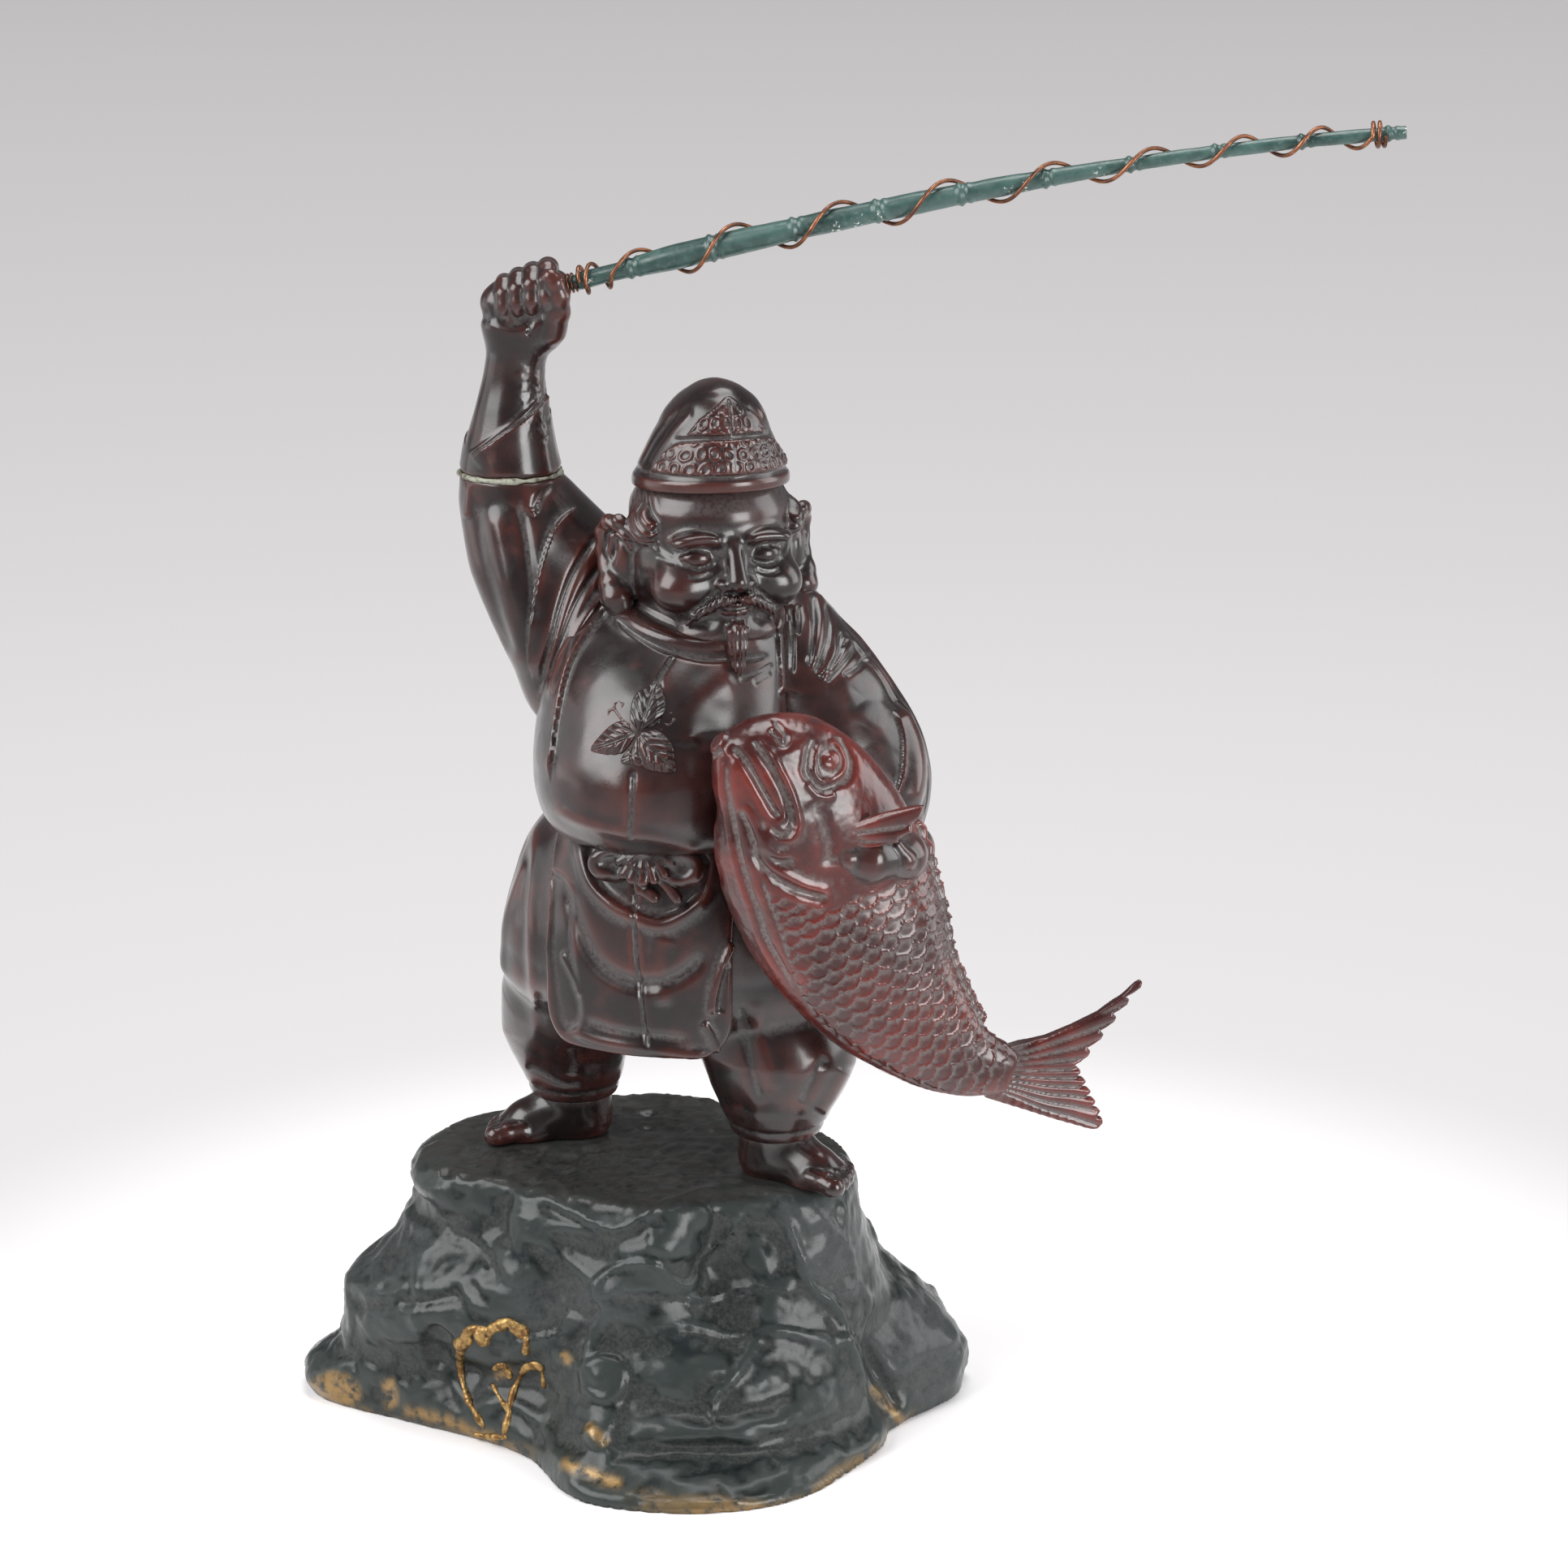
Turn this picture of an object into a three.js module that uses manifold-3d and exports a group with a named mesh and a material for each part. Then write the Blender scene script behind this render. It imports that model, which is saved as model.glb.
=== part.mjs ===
// Ebisu with a sea bream and a fishing rod, standing on a rock: a bronze ornament in many castings.
// Millimetres, +Z up, the figure faces -Y. "Left" and "right" are the figure's own sides.
import * as THREE from "three";
import { mergeVertices } from "three/addons/utils/BufferGeometryUtils.js";
import Module from "manifold-3d";

const wasm = await Module();
wasm.setup();

// Fits
const castingGap = 0.3;
const weldLength = 0.002;
const studClearance = 0.3;
const rodClearance = 0.3;

// Rock
const rockHeight = 66;
const rockReach = 88;
const rockWall = 5;
const rockCentre = new THREE.Vector3(-35, 0, 0);
const rockSides = 48;
const rockSteps = 14;

// Feet and their fixings
const footLength = 32;
const footWidth = 15.5;
const instepHeight = 13;
const soleThickness = 3;
const toeRadius = 2.5;
const toeTaper = 0.22;
const ankleRadius = 6.8;
const ankleHeight = 19;
const ankleLedge = 2.5;
const studRadius = 2;
const studGrip = 7;
const studTail = 9;
const washerRadius = 5;
const washerThickness = 1.2;
const nutAcrossCorners = 8.4;
const nutThickness = 3.6;
const rightAnkle = new THREE.Vector2(-53.5, 15);
const leftAnkle = new THREE.Vector2(-2, -14);
const rightFootAim = new THREE.Vector2(-0.98, -0.2);
const leftFootAim = new THREE.Vector2(0.82, -0.57);
const heelSetback = 8;

// Trousers and skirt
const bodyTurn = -14;
const bodyAxis = new THREE.Vector3(-26, 0, 0);
const hemHeight = 91;
const trouserHalfWidth = 45;
const trouserFront = 34;
const trouserBack = 31;
const legRadius = 21;
const cuffRadius = 10;
const cuffRise = 11.5;
const waistPlug = 11;
const skirtFront = trouserFront + 6;
const skirtHalfWidth = trouserHalfWidth - 4;
const skirtBack = 18;
const skirtThickness = 2.4;
const skirtLength = 52;
const skirtLeftEdge = 22;
const skirtRightEdge = 25;

// Robe, collar and bow
const robeHeight = 56;
const robeHalfWidth = 34.5;
const bellyDepth = 46;
const robeBack = 32;
const collarRadius = 20;
const collarThickness = 2.6;
const collarTilt = 17;
const bowLoopLength = 6.4;
const bowLoopHeight = 4.2;
const bowThickness = 2.4;
const bowDrop = 4;
const bowTailLength = 10;

// Head and hat
const headTurn = 18;
const headAxis = new THREE.Vector3(-18, -6, 0);
const neckPlug = 13;
const headHeight = 35;
const headHalfWidth = 20.5;
const headFront = 21.5;
const headBack = 20;
const earHeight = 8;
const beardLength = 8;
const brimRise = 34.6;
const hatHeight = 22.6;
const hatHalfWidth = headHalfWidth - 1.1;
const hatDepth = headFront - 1;

// Raised arm
const elbowRise = 26;
const elbowOut = 6.2;
const elbowBack = 9;
const elbowCentre = new THREE.Vector2(bodyAxis.x - robeHalfWidth - elbowOut, elbowBack);
const sleeveLength = 65;
const sleeveWidth = 19.5;
const elbowRadius = 12.2;
const spigotRadius = 6.5;
const spigotLength = 8;
const forearmLength = 34;
const wristRadius = 7.2;
const fingerRadius = 2.5;
const fistDepth = 9;

// Arm that holds the fish
const leftShoulderDrop = 1;
const leftShoulderOut = 23;
const leftSleeveLength = 74;
const leftSleeveWidth = 19.5;
const handRadius = 6.6;
const handAlongSleeve = 0.743;

// Fish
const fishHalfHeight = 24.5;
const fishHalfThickness = 14;
const fishPlane = 2 - bellyDepth;
const backFinRadius = 1.5;
const tailThickness = 3;
const tailLength = 38;
const tailHalfSpread = 20;
const tailScallops = 5;
const pectoralLength = 20;
const finThickness = 2.2;
const pinRadius = 1.6;
const pinLength = 19;
const tailRoot = { across: 50, back: 14, drop: 58 };
const pectoralRoot = { across: 22, proud: 2.5, rise: 9 };
const pinSeat = { across: -8, back: 15, rise: 13 };
const flankNormal = new THREE.Vector3(0.25, -0.96, 0.05).normalize();

// Rod, line and lashing
const rodFromElbow = new THREE.Vector3(17.2, -3, 13.3);
const rodReach = new THREE.Vector3(195.6, -14, 37.6);
const rodBow = 9;
const rodButtRadius = 2.1;
const rodThickRadius = 2.75;
const rodTipRadius = 1.6;
const firstNodeAt = 13;
const nodeSpacing = 20.3;
const nodeRise = 0.4;
const pegRadius = 1.7;
const pegInFist = 14;
const pegShowing = 4.6;
const lineRadius = 0.5;
const lineTurns = 8;
const lineStart = 8.8;
const lineEnd = 192;
const lineBow = 11;
const lineBowSkew = 1.6;
const tightPitch = 1.5;
const rootTurns = 1;
const knotTurns = 2;
const lashingRadius = 0.25;
const lashingTurns = 4;
const lashingPitch = 0.95;
const loopSteps = 20;
const wireSides = 6;

// Heights above the table that several castings share
const soleHeight = rockHeight + castingGap;
const robeHem = rockHeight + hemHeight;
const collarHeight = robeHem + robeHeight;
const elbowTop = collarHeight + elbowRise;
const leftSleeveTop = collarHeight - leftShoulderDrop;
const handHeight = leftSleeveTop - leftSleeveLength * handAlongSleeve;
const rodButt = new THREE.Vector3(elbowCentre.x, elbowCentre.y, elbowTop + forearmLength).add(rodFromElbow);
const rodTip = rodButt.clone().add(rodReach);
const up = new THREE.Vector3(0, 0, 1);

const materials = {
  rock: new THREE.MeshStandardMaterial({ color: 0x1d2a27, roughness: 0.5, metalness: 0.6 }),
  brown: new THREE.MeshStandardMaterial({ color: 0x2b1815, roughness: 0.35, metalness: 0.6 }),
  red: new THREE.MeshStandardMaterial({ color: 0x4a1512, roughness: 0.35, metalness: 0.6 }),
  green: new THREE.MeshStandardMaterial({ color: 0x22473f, roughness: 0.5, metalness: 0.3 }),
  copper: new THREE.MeshStandardMaterial({ color: 0x8a5238, roughness: 0.4, metalness: 0.9 }),
  brass: new THREE.MeshStandardMaterial({ color: 0xa88a45, roughness: 0.4, metalness: 0.9 }),
};

// Solids from geometry, and back

function solidOf(geometry) {
  const bare = geometry.clone();
  bare.deleteAttribute("normal");
  bare.deleteAttribute("uv");
  const merged = mergeVertices(bare, 1e-4);
  const vertProperties = new Float32Array(merged.attributes.position.array);
  const triVerts = new Uint32Array(merged.index.array);
  return new wasm.Manifold(new wasm.Mesh({ numProp: 3, vertProperties, triVerts }));
}

function join(...solids) {
  return solids.reduce((whole, next) => whole.add(next));
}

function cut(solid, ...tools) {
  return tools.reduce((rest, tool) => rest.subtract(tool), solid);
}

function largestBody(solid) {
  const bodies = solid.decompose();
  return bodies.reduce((best, body) => (body.volume() > best.volume() ? body : best));
}

// The largest body of a solid, with corners that all but meet welded into one
function meshOf(name, solid, material) {
  const { vertProperties, triVerts } = largestBody(solid).getMesh();
  const cornered = new THREE.BufferGeometry();
  cornered.setAttribute("position", new THREE.BufferAttribute(new Float32Array(vertProperties), 3));
  cornered.setIndex(new THREE.BufferAttribute(new Uint32Array(triVerts), 1));
  const geometry = mergeVertices(cornered, weldLength);
  const corners = Array.from(geometry.index.array);
  const faces = [];
  for (let first = 0; first < corners.length; first += 3) {
    const [a, b, c] = corners.slice(first, first + 3);
    if (a !== b && b !== c && c !== a) faces.push(a, b, c);
  }
  geometry.setIndex(faces);
  const mesh = new THREE.Mesh(geometry, material);
  mesh.name = name;
  return mesh;
}

// A closed body through rings of points, each end closed by a fan round its middle
function skinRings(rings) {
  const sides = rings[0].length;
  const positions = rings.flat().flatMap((point) => point.toArray());
  const middles = [rings[0], rings.at(-1)].map((ring) => {
    return ring.reduce((sum, point) => sum.add(point), new THREE.Vector3()).divideScalar(sides);
  });
  middles.forEach((middle) => positions.push(...middle.toArray()));
  const firstMiddle = rings.length * sides;
  const lastRing = (rings.length - 1) * sides;
  const faces = [];
  for (let side = 0; side < sides; side += 1) {
    const next = (side + 1) % sides;
    for (let ring = 0; ring < rings.length - 1; ring += 1) {
      const near = ring * sides;
      const far = near + sides;
      faces.push([near + side, near + next, far + next], [near + side, far + next, far + side]);
    }
    faces.push([firstMiddle, next, side], [firstMiddle + 1, lastRing + side, lastRing + next]);
  }
  const corner = (index) => new THREE.Vector3().fromArray(positions, index * 3);
  const volume = faces.reduce((sum, [a, b, c]) => sum + corner(a).dot(corner(b).cross(corner(c))), 0);
  const outward = volume > 0 ? faces : faces.map(([a, b, c]) => [a, c, b]);
  const geometry = new THREE.BufferGeometry();
  geometry.setAttribute("position", new THREE.Float32BufferAttribute(positions, 3));
  geometry.setIndex(outward.flat());
  return solidOf(geometry);
}

// Rows of numbers, smoothed by a cubic through their first column
function smoothRows(rows, count) {
  const keys = rows.map((row) => row[0]);
  const sign = Math.sign(keys.at(-1) - keys[0]);
  const curve = new THREE.CubicInterpolant(keys.map((key) => key * sign), rows.flat(), rows[0].length);
  return Array.from({ length: count + 1 }, (_, step) => {
    const key = keys[0] + ((keys.at(-1) - keys[0]) * step) / count;
    return Array.from(curve.evaluate(key * sign));
  });
}

// A ring round a middle: half-widths to the side, ahead and behind
function ovalRing(middle, side, ahead, width, front, back, sides) {
  return Array.from({ length: sides }, (_, index) => {
    const angle = (2 * Math.PI * index) / sides;
    const deep = Math.sin(angle) > 0 ? front : back;
    return middle.clone()
      .addScaledVector(side, Math.cos(angle) * width)
      .addScaledVector(ahead, Math.sin(angle) * deep);
  });
}

function facing(turn) {
  const angle = THREE.MathUtils.degToRad(turn);
  return {
    side: new THREE.Vector3(Math.cos(angle), Math.sin(angle), 0),
    ahead: new THREE.Vector3(Math.sin(angle), -Math.cos(angle), 0),
  };
}

function pointIn(axis, turn, across, forward, height) {
  const { side, ahead } = facing(turn);
  return axis.clone().addScaledVector(side, across).addScaledVector(ahead, forward).setZ(height);
}

// An upright body. Rows: height, half-width, front, back, shift to the side and shift ahead.
function uprightSolid(axis, turn, rows, { grow = 0, sides = 28, steps = 14 } = {}) {
  const { side, ahead } = facing(turn);
  const smooth = smoothRows(rows, steps);
  const rise = Math.sign(smooth.at(-1)[0] - smooth[0][0]) * grow;
  const rings = smooth.map(([height, width, front, back, across = 0, forward = 0], index) => {
    const endShift = index === 0 ? -rise : index === steps ? rise : 0;
    const middle = axis.clone().setZ(height + endShift);
    middle.addScaledVector(side, across).addScaledVector(ahead, forward);
    return ovalRing(middle, side, ahead, width + grow, front + grow, back + grow, sides);
  });
  return skinRings(rings);
}

// A limb along a bent line. Rows: share of the way, x, y, z, half-width and half-depth.
function limbSolid(rows, faceHint, { grow = 0, sides = 12, steps = 10 } = {}) {
  const smooth = smoothRows(rows, steps);
  const middles = smooth.map((row) => new THREE.Vector3(row[1], row[2], row[3]));
  const rings = smooth.map((row, index) => {
    const before = middles[Math.max(index - 1, 0)];
    const after = middles[Math.min(index + 1, steps)];
    const along = after.clone().sub(before).normalize();
    const side = new THREE.Vector3().crossVectors(along, faceHint).normalize();
    const ahead = new THREE.Vector3().crossVectors(side, along);
    const endShift = index === 0 ? -grow : index === steps ? grow : 0;
    const middle = middles[index].clone().addScaledVector(along, endShift);
    return ovalRing(middle, side, ahead, row[4] + grow, row[5] + grow, row[5] + grow, sides);
  });
  return skinRings(rings);
}

function ellipsoid(middle, radii, turn = 0, grow = 0, segments = 9) {
  const geometry = new THREE.SphereGeometry(1, segments, Math.round(segments * 0.7));
  geometry.scale(radii.x + grow, radii.y + grow, radii.z + grow);
  geometry.rotateZ(THREE.MathUtils.degToRad(turn));
  geometry.translate(middle.x, middle.y, middle.z);
  return solidOf(geometry);
}

function rodBetween(from, to, radius, segments = 16) {
  const along = to.clone().sub(from);
  const geometry = new THREE.CylinderGeometry(radius, radius, along.length(), segments);
  geometry.applyQuaternion(new THREE.Quaternion().setFromUnitVectors(
    new THREE.Vector3(0, 1, 0), along.clone().normalize()));
  const middle = from.clone().lerp(to, 0.5);
  geometry.translate(middle.x, middle.y, middle.z);
  return solidOf(geometry);
}

function block(low, high) {
  const size = high.clone().sub(low);
  const middle = low.clone().lerp(high, 0.5);
  const geometry = new THREE.BoxGeometry(size.x, size.y, size.z);
  geometry.translate(middle.x, middle.y, middle.z);
  return solidOf(geometry);
}

// Rock: for each turn from +X, its radii as shares of its reach at the heights named here
const rockHeights = [0, 0.076, 0.152, 0.242, 0.364, 0.515, 0.667, 0.818, 0.924, 1];
const rockColumns = [
  [0, 0.905, 0.915, 0.905, 0.885, 0.80, 0.705, 0.65, 0.61, 0.60, 0.575],
  [15, 0.92, 0.93, 0.92, 0.89, 0.81, 0.71, 0.65, 0.60, 0.58, 0.55],
  [30, 0.92, 0.91, 0.89, 0.85, 0.78, 0.70, 0.64, 0.58, 0.55, 0.50],
  [45, 0.93, 0.91, 0.87, 0.82, 0.77, 0.71, 0.64, 0.57, 0.53, 0.49],
  [60, 0.92, 0.90, 0.85, 0.80, 0.75, 0.69, 0.62, 0.56, 0.53, 0.49],
  [75, 0.87, 0.86, 0.82, 0.78, 0.72, 0.66, 0.60, 0.56, 0.54, 0.50],
  [90, 0.84, 0.83, 0.80, 0.76, 0.70, 0.65, 0.60, 0.57, 0.54, 0.50],
  [105, 0.86, 0.85, 0.82, 0.77, 0.72, 0.66, 0.61, 0.57, 0.55, 0.50],
  [120, 0.90, 0.88, 0.84, 0.80, 0.75, 0.68, 0.62, 0.58, 0.55, 0.51],
  [135, 0.94, 0.92, 0.88, 0.84, 0.79, 0.73, 0.66, 0.62, 0.59, 0.54],
  [150, 0.98, 0.96, 0.92, 0.88, 0.84, 0.78, 0.71, 0.66, 0.64, 0.60],
  [165, 1.01, 1.00, 0.94, 0.88, 0.87, 0.81, 0.73, 0.68, 0.67, 0.63],
  [180, 0.97, 1.00, 0.97, 0.90, 0.875, 0.83, 0.72, 0.645, 0.665, 0.63],
  [195, 0.735, 0.75, 0.76, 0.75, 0.78, 0.76, 0.67, 0.60, 0.61, 0.58],
  [210, 0.60, 0.62, 0.60, 0.57, 0.62, 0.64, 0.58, 0.52, 0.50, 0.475],
  [225, 0.55, 0.57, 0.55, 0.52, 0.54, 0.555, 0.53, 0.49, 0.47, 0.43],
  [240, 0.585, 0.57, 0.54, 0.52, 0.505, 0.485, 0.465, 0.44, 0.435, 0.39],
  [255, 0.73, 0.72, 0.64, 0.59, 0.555, 0.51, 0.49, 0.46, 0.44, 0.40],
  [270, 0.79, 0.77, 0.67, 0.62, 0.57, 0.53, 0.505, 0.485, 0.46, 0.43],
  [285, 0.83, 0.81, 0.70, 0.66, 0.59, 0.53, 0.48, 0.46, 0.455, 0.43],
  [300, 0.845, 0.82, 0.74, 0.71, 0.62, 0.53, 0.47, 0.455, 0.44, 0.41],
  [315, 0.80, 0.79, 0.74, 0.715, 0.65, 0.60, 0.56, 0.53, 0.50, 0.46],
  [330, 0.775, 0.765, 0.73, 0.71, 0.69, 0.67, 0.64, 0.62, 0.60, 0.56],
  [345, 0.775, 0.78, 0.76, 0.74, 0.70, 0.69, 0.66, 0.635, 0.615, 0.58],
];

// Bosses and hollows of the rock: turn, height share, half-width in degrees, half-height share and
// how far each stands out, as a share of the reach
const rockForms = [
  [187, 0.91, 14, 0.11, 0.023], [198, 0.71, 10, 0.08, -0.028], [213, 0.85, 5, 0.12, -0.034],
  [188, 0.52, 14, 0.11, 0.023], [205, 0.26, 9, 0.11, -0.045], [217, 0.33, 6, 0.15, 0.017],
  [232, 0.23, 12, 0.11, -0.028], [250, 0.91, 12, 0.05, 0.017], [252, 0.80, 10, 0.06, -0.017],
  [276, 0.83, 9, 0.12, 0.028], [295, 0.70, 10, 0.15, -0.034], [310, 0.68, 4, 0.21, 0.017],
  [258, 0.24, 5, 0.08, 0.028], [290, 0.42, 20, 0.06, 0.023], [290, 0.29, 20, 0.05, -0.017],
  [280, 0.22, 12, 0.05, 0.023], [295, 0.14, 26, 0.05, -0.034], [290, 0.05, 40, 0.05, 0.017],
  [338, 0.21, 4, 0.21, -0.040], [352, 0.24, 9, 0.14, 0.028], [5, 0.50, 12, 0.09, -0.023],
  [30, 0.30, 14, 0.12, 0.028], [48, 0.67, 10, 0.14, -0.034], [62, 0.27, 12, 0.14, -0.040],
  [75, 0.55, 12, 0.12, 0.034], [95, 0.30, 12, 0.12, 0.028], [100, 0.79, 12, 0.09, -0.028],
  [118, 0.18, 10, 0.11, -0.034], [125, 0.58, 14, 0.12, -0.034], [140, 0.36, 12, 0.14, 0.034],
  [150, 0.79, 12, 0.11, 0.023], [160, 0.58, 10, 0.11, -0.028], [168, 0.20, 10, 0.06, -0.034],
];

function rockPush(turn, share) {
  return rockForms.reduce((sum, [formTurn, formShare, halfTurn, halfShare, push]) => {
    const away = (((turn - formTurn + 540) % 360) - 180) / halfTurn;
    const above = (share - formShare) / halfShare;
    return sum + push * Math.exp(-away * away - above * above);
  }, 0);
}

function rockShape(inset, top, bottom) {
  const rows = rockHeights.map((share, level) => [share, ...rockColumns.map((column) => column[level + 1])]);
  const rings = smoothRows(rows, rockSteps).map(([share, ...radii]) => {
    const corners = radii.map((radius, index) => {
      const angle = (2 * Math.PI * index) / radii.length;
      const reach = radius * rockReach;
      return new THREE.Vector3(Math.cos(angle) * reach, Math.sin(angle) * reach, 0);
    });
    const outline = new THREE.CatmullRomCurve3(corners, true, "catmullrom", 0.5);
    const height = bottom + (top - bottom) * share;
    return outline.getPoints(rockSides).slice(0, rockSides).map((point) => {
      const turn = THREE.MathUtils.radToDeg(Math.atan2(point.y, point.x));
      const reach = point.length() + rockPush(turn, height / rockHeight) * rockReach - inset;
      return point.setLength(reach).add(rockCentre).setZ(height);
    });
  });
  return skinRings(rings);
}

// Feet
const feet = {
  right: { ankle: rightAnkle, aim: rightFootAim.clone().normalize(), smallToeSide: 1 },
  left: { ankle: leftAnkle, aim: leftFootAim.clone().normalize(), smallToeSide: -1 },
};

function footShape({ ankle, aim, smallToeSide }, grow = 0) {
  const along = new THREE.Vector3(aim.x, aim.y, 0);
  const across = new THREE.Vector3().crossVectors(along, up);
  const heel = new THREE.Vector3(ankle.x, ankle.y, soleHeight).addScaledVector(along, -heelSetback);
  // Share of the length, half-width share, height share
  const rows = smoothRows([
    [0.00, 0.25, 0.30], [0.10, 0.62, 0.72], [0.32, 0.78, 1.00],
    [0.55, 0.86, 0.78], [0.78, 1.00, 0.50], [0.92, 0.92, 0.36],
  ], 6);
  const rings = rows.map(([share, width, height]) => {
    const middle = heel.clone().addScaledVector(along, share * footLength);
    const wide = (width * footWidth) / 2 + grow;
    const ring = ovalRing(middle, across, up, wide, height * instepHeight + grow, soleThickness + grow, 14);
    return ring.map((point) => point.setZ(Math.max(point.z, soleHeight - grow)));
  });
  const toes = Array.from({ length: 5 }, (_, toe) => {
    const radius = toeRadius - toe * toeTaper;
    const sideways = (toe / 4 - 0.5) * (footWidth - 2 * radius) * 1.02 * smallToeSide;
    const reach = footLength * (0.955 - toe * 0.035);
    const middle = heel.clone().addScaledVector(along, reach).addScaledVector(across, sideways);
    return ellipsoid(middle.setZ(soleHeight + radius * 0.8), new THREE.Vector3(radius, radius, radius),
      0, grow, 7);
  });
  const ankleFoot = new THREE.Vector3(ankle.x, ankle.y, soleHeight + instepHeight * 0.3);
  const ankleTop = new THREE.Vector3(ankle.x, ankle.y, soleHeight + ankleHeight + grow);
  const underCuff = new THREE.Vector3(ankle.x, ankle.y, rockHeight + cuffRise - castingGap + grow);
  const body = join(
    skinRings(rings),
    ...toes,
    rodBetween(ankleFoot, underCuff, ankleRadius + ankleLedge + grow, 14),
    rodBetween(ankleFoot, ankleTop, ankleRadius + grow, 14),
  );
  const under = new THREE.Vector3(footLength, footLength, footLength).multiplyScalar(2);
  const floorMiddle = heel.clone().setZ(soleHeight - grow - under.z);
  const floor = block(floorMiddle.clone().sub(under), floorMiddle.clone().add(under));
  return cut(body, floor);
}

function studOf({ ankle }, grow = 0) {
  const top = new THREE.Vector3(ankle.x, ankle.y, soleHeight + studGrip + grow);
  const foot = new THREE.Vector3(ankle.x, ankle.y, rockHeight - rockWall - studTail - grow);
  return rodBetween(foot, top, studRadius + grow, 16);
}

function ringUnder({ ankle }, topHeight, thickness, radius, segments) {
  const top = new THREE.Vector3(ankle.x, ankle.y, topHeight);
  const bottom = top.clone().setZ(topHeight - thickness);
  const hole = rodBetween(
    top.clone().setZ(topHeight + 1), bottom.clone().setZ(bottom.z - 1), studRadius + studClearance, 16);
  return cut(rodBetween(bottom, top, radius, segments), hole);
}

// Trousers: the pelvis with a plug that seats in the robe, and two legs that draw in to the cuffs
function trousersShape(grow = 0) {
  const rise = robeHem - rockHeight;
  const cuffHeight = rockHeight + cuffRise;
  const at = (share) => cuffHeight + (robeHem - cuffHeight) * share;
  const wide = trouserHalfWidth;
  const pelvis = uprightSolid(bodyAxis, bodyTurn, [
    [at(0.33), wide * 0.66, trouserFront * 0.50, trouserBack * 0.56],
    [at(0.42), wide * 0.92, trouserFront * 0.86, trouserBack * 0.88],
    [at(0.56), wide, trouserFront, trouserBack],
    [at(0.76), wide * 0.93, trouserFront, trouserBack * 0.98],
    [at(0.90), wide * 0.83, trouserFront * 0.94, trouserBack * 0.9],
    [at(1.00), wide * 0.70, trouserFront * 0.82, trouserBack * 0.78],
    [robeHem + waistPlug, wide * 0.54, trouserFront * 0.62, trouserBack * 0.66],
  ], { grow, sides: 24, steps: 8 });
  const legs = [
    [feet.right, -4, 4, 0.7],
    [feet.left, 2, 3, 0.88],
  ].map(([foot, shiftX, shiftY, lowShare]) => {
    const hip = new THREE.Vector3(foot.ankle.x * 0.85 + bodyAxis.x * 0.15, foot.ankle.y * 0.6, 0);
    const knee = new THREE.Vector3(foot.ankle.x + shiftX * 0.4, foot.ankle.y + shiftY * 0.5, 0);
    return limbSolid([
      [0.00, hip.x * 0.8 + bodyAxis.x * 0.2, hip.y, cuffHeight + rise * 0.66,
        legRadius * 0.6, legRadius * 0.7],
      [0.30, hip.x, hip.y, cuffHeight + rise * 0.42, legRadius * 0.96, legRadius],
      [0.62, knee.x, knee.y, cuffHeight + rise * 0.21, legRadius * lowShare, legRadius * lowShare],
      [0.86, foot.ankle.x, foot.ankle.y, cuffHeight + rise * 0.07, cuffRadius * 1.12, cuffRadius * 1.12],
      [1.00, foot.ankle.x, foot.ankle.y, cuffHeight, cuffRadius, cuffRadius],
    ], facing(bodyTurn).ahead, { grow, sides: 16, steps: 8 });
  });
  return join(pelvis, ...legs);
}

// Skirt panel: the front of a bell that hangs from the hem
const skirtRows = [
  [0.00, 0.75, 0.87],
  [0.15, 0.84, 0.94],
  [0.35, 0.93, 0.98],
  [0.60, 1.00, 1.00],
  [0.80, 1.00, 1.00],
  [1.00, 0.96, 0.98],
];

function skirtBell(inset, overrun) {
  const top = robeHem - castingGap;
  const first = skirtRows[0];
  const last = skirtRows.at(-1);
  const above = [first[0] - overrun, ...first.slice(1)];
  const below = [last[0] + overrun, ...last.slice(1)];
  const rows = [above, ...skirtRows, below];
  return uprightSolid(bodyAxis, bodyTurn, rows.map(([share, wide, front]) => [
    top - skirtLength * share, skirtHalfWidth * wide - inset, skirtFront * front - inset, skirtBack - inset,
  ]), { sides: 32, steps: 8 });
}

function skirtShape(grow = 0) {
  const top = robeHem - castingGap + grow;
  const front = block(
    new THREE.Vector3(-skirtRightEdge - grow, -skirtFront * 2, top - skirtLength - 2 * grow),
    new THREE.Vector3(skirtLeftEdge + grow, -skirtFront * 0.2, top),
  ).rotate(0, 0, bodyTurn).translate(bodyAxis.x, bodyAxis.y, 0);
  return cut(skirtBell(-grow, 0.1), skirtBell(skirtThickness + grow, 0.2)).intersect(front);
}

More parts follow.
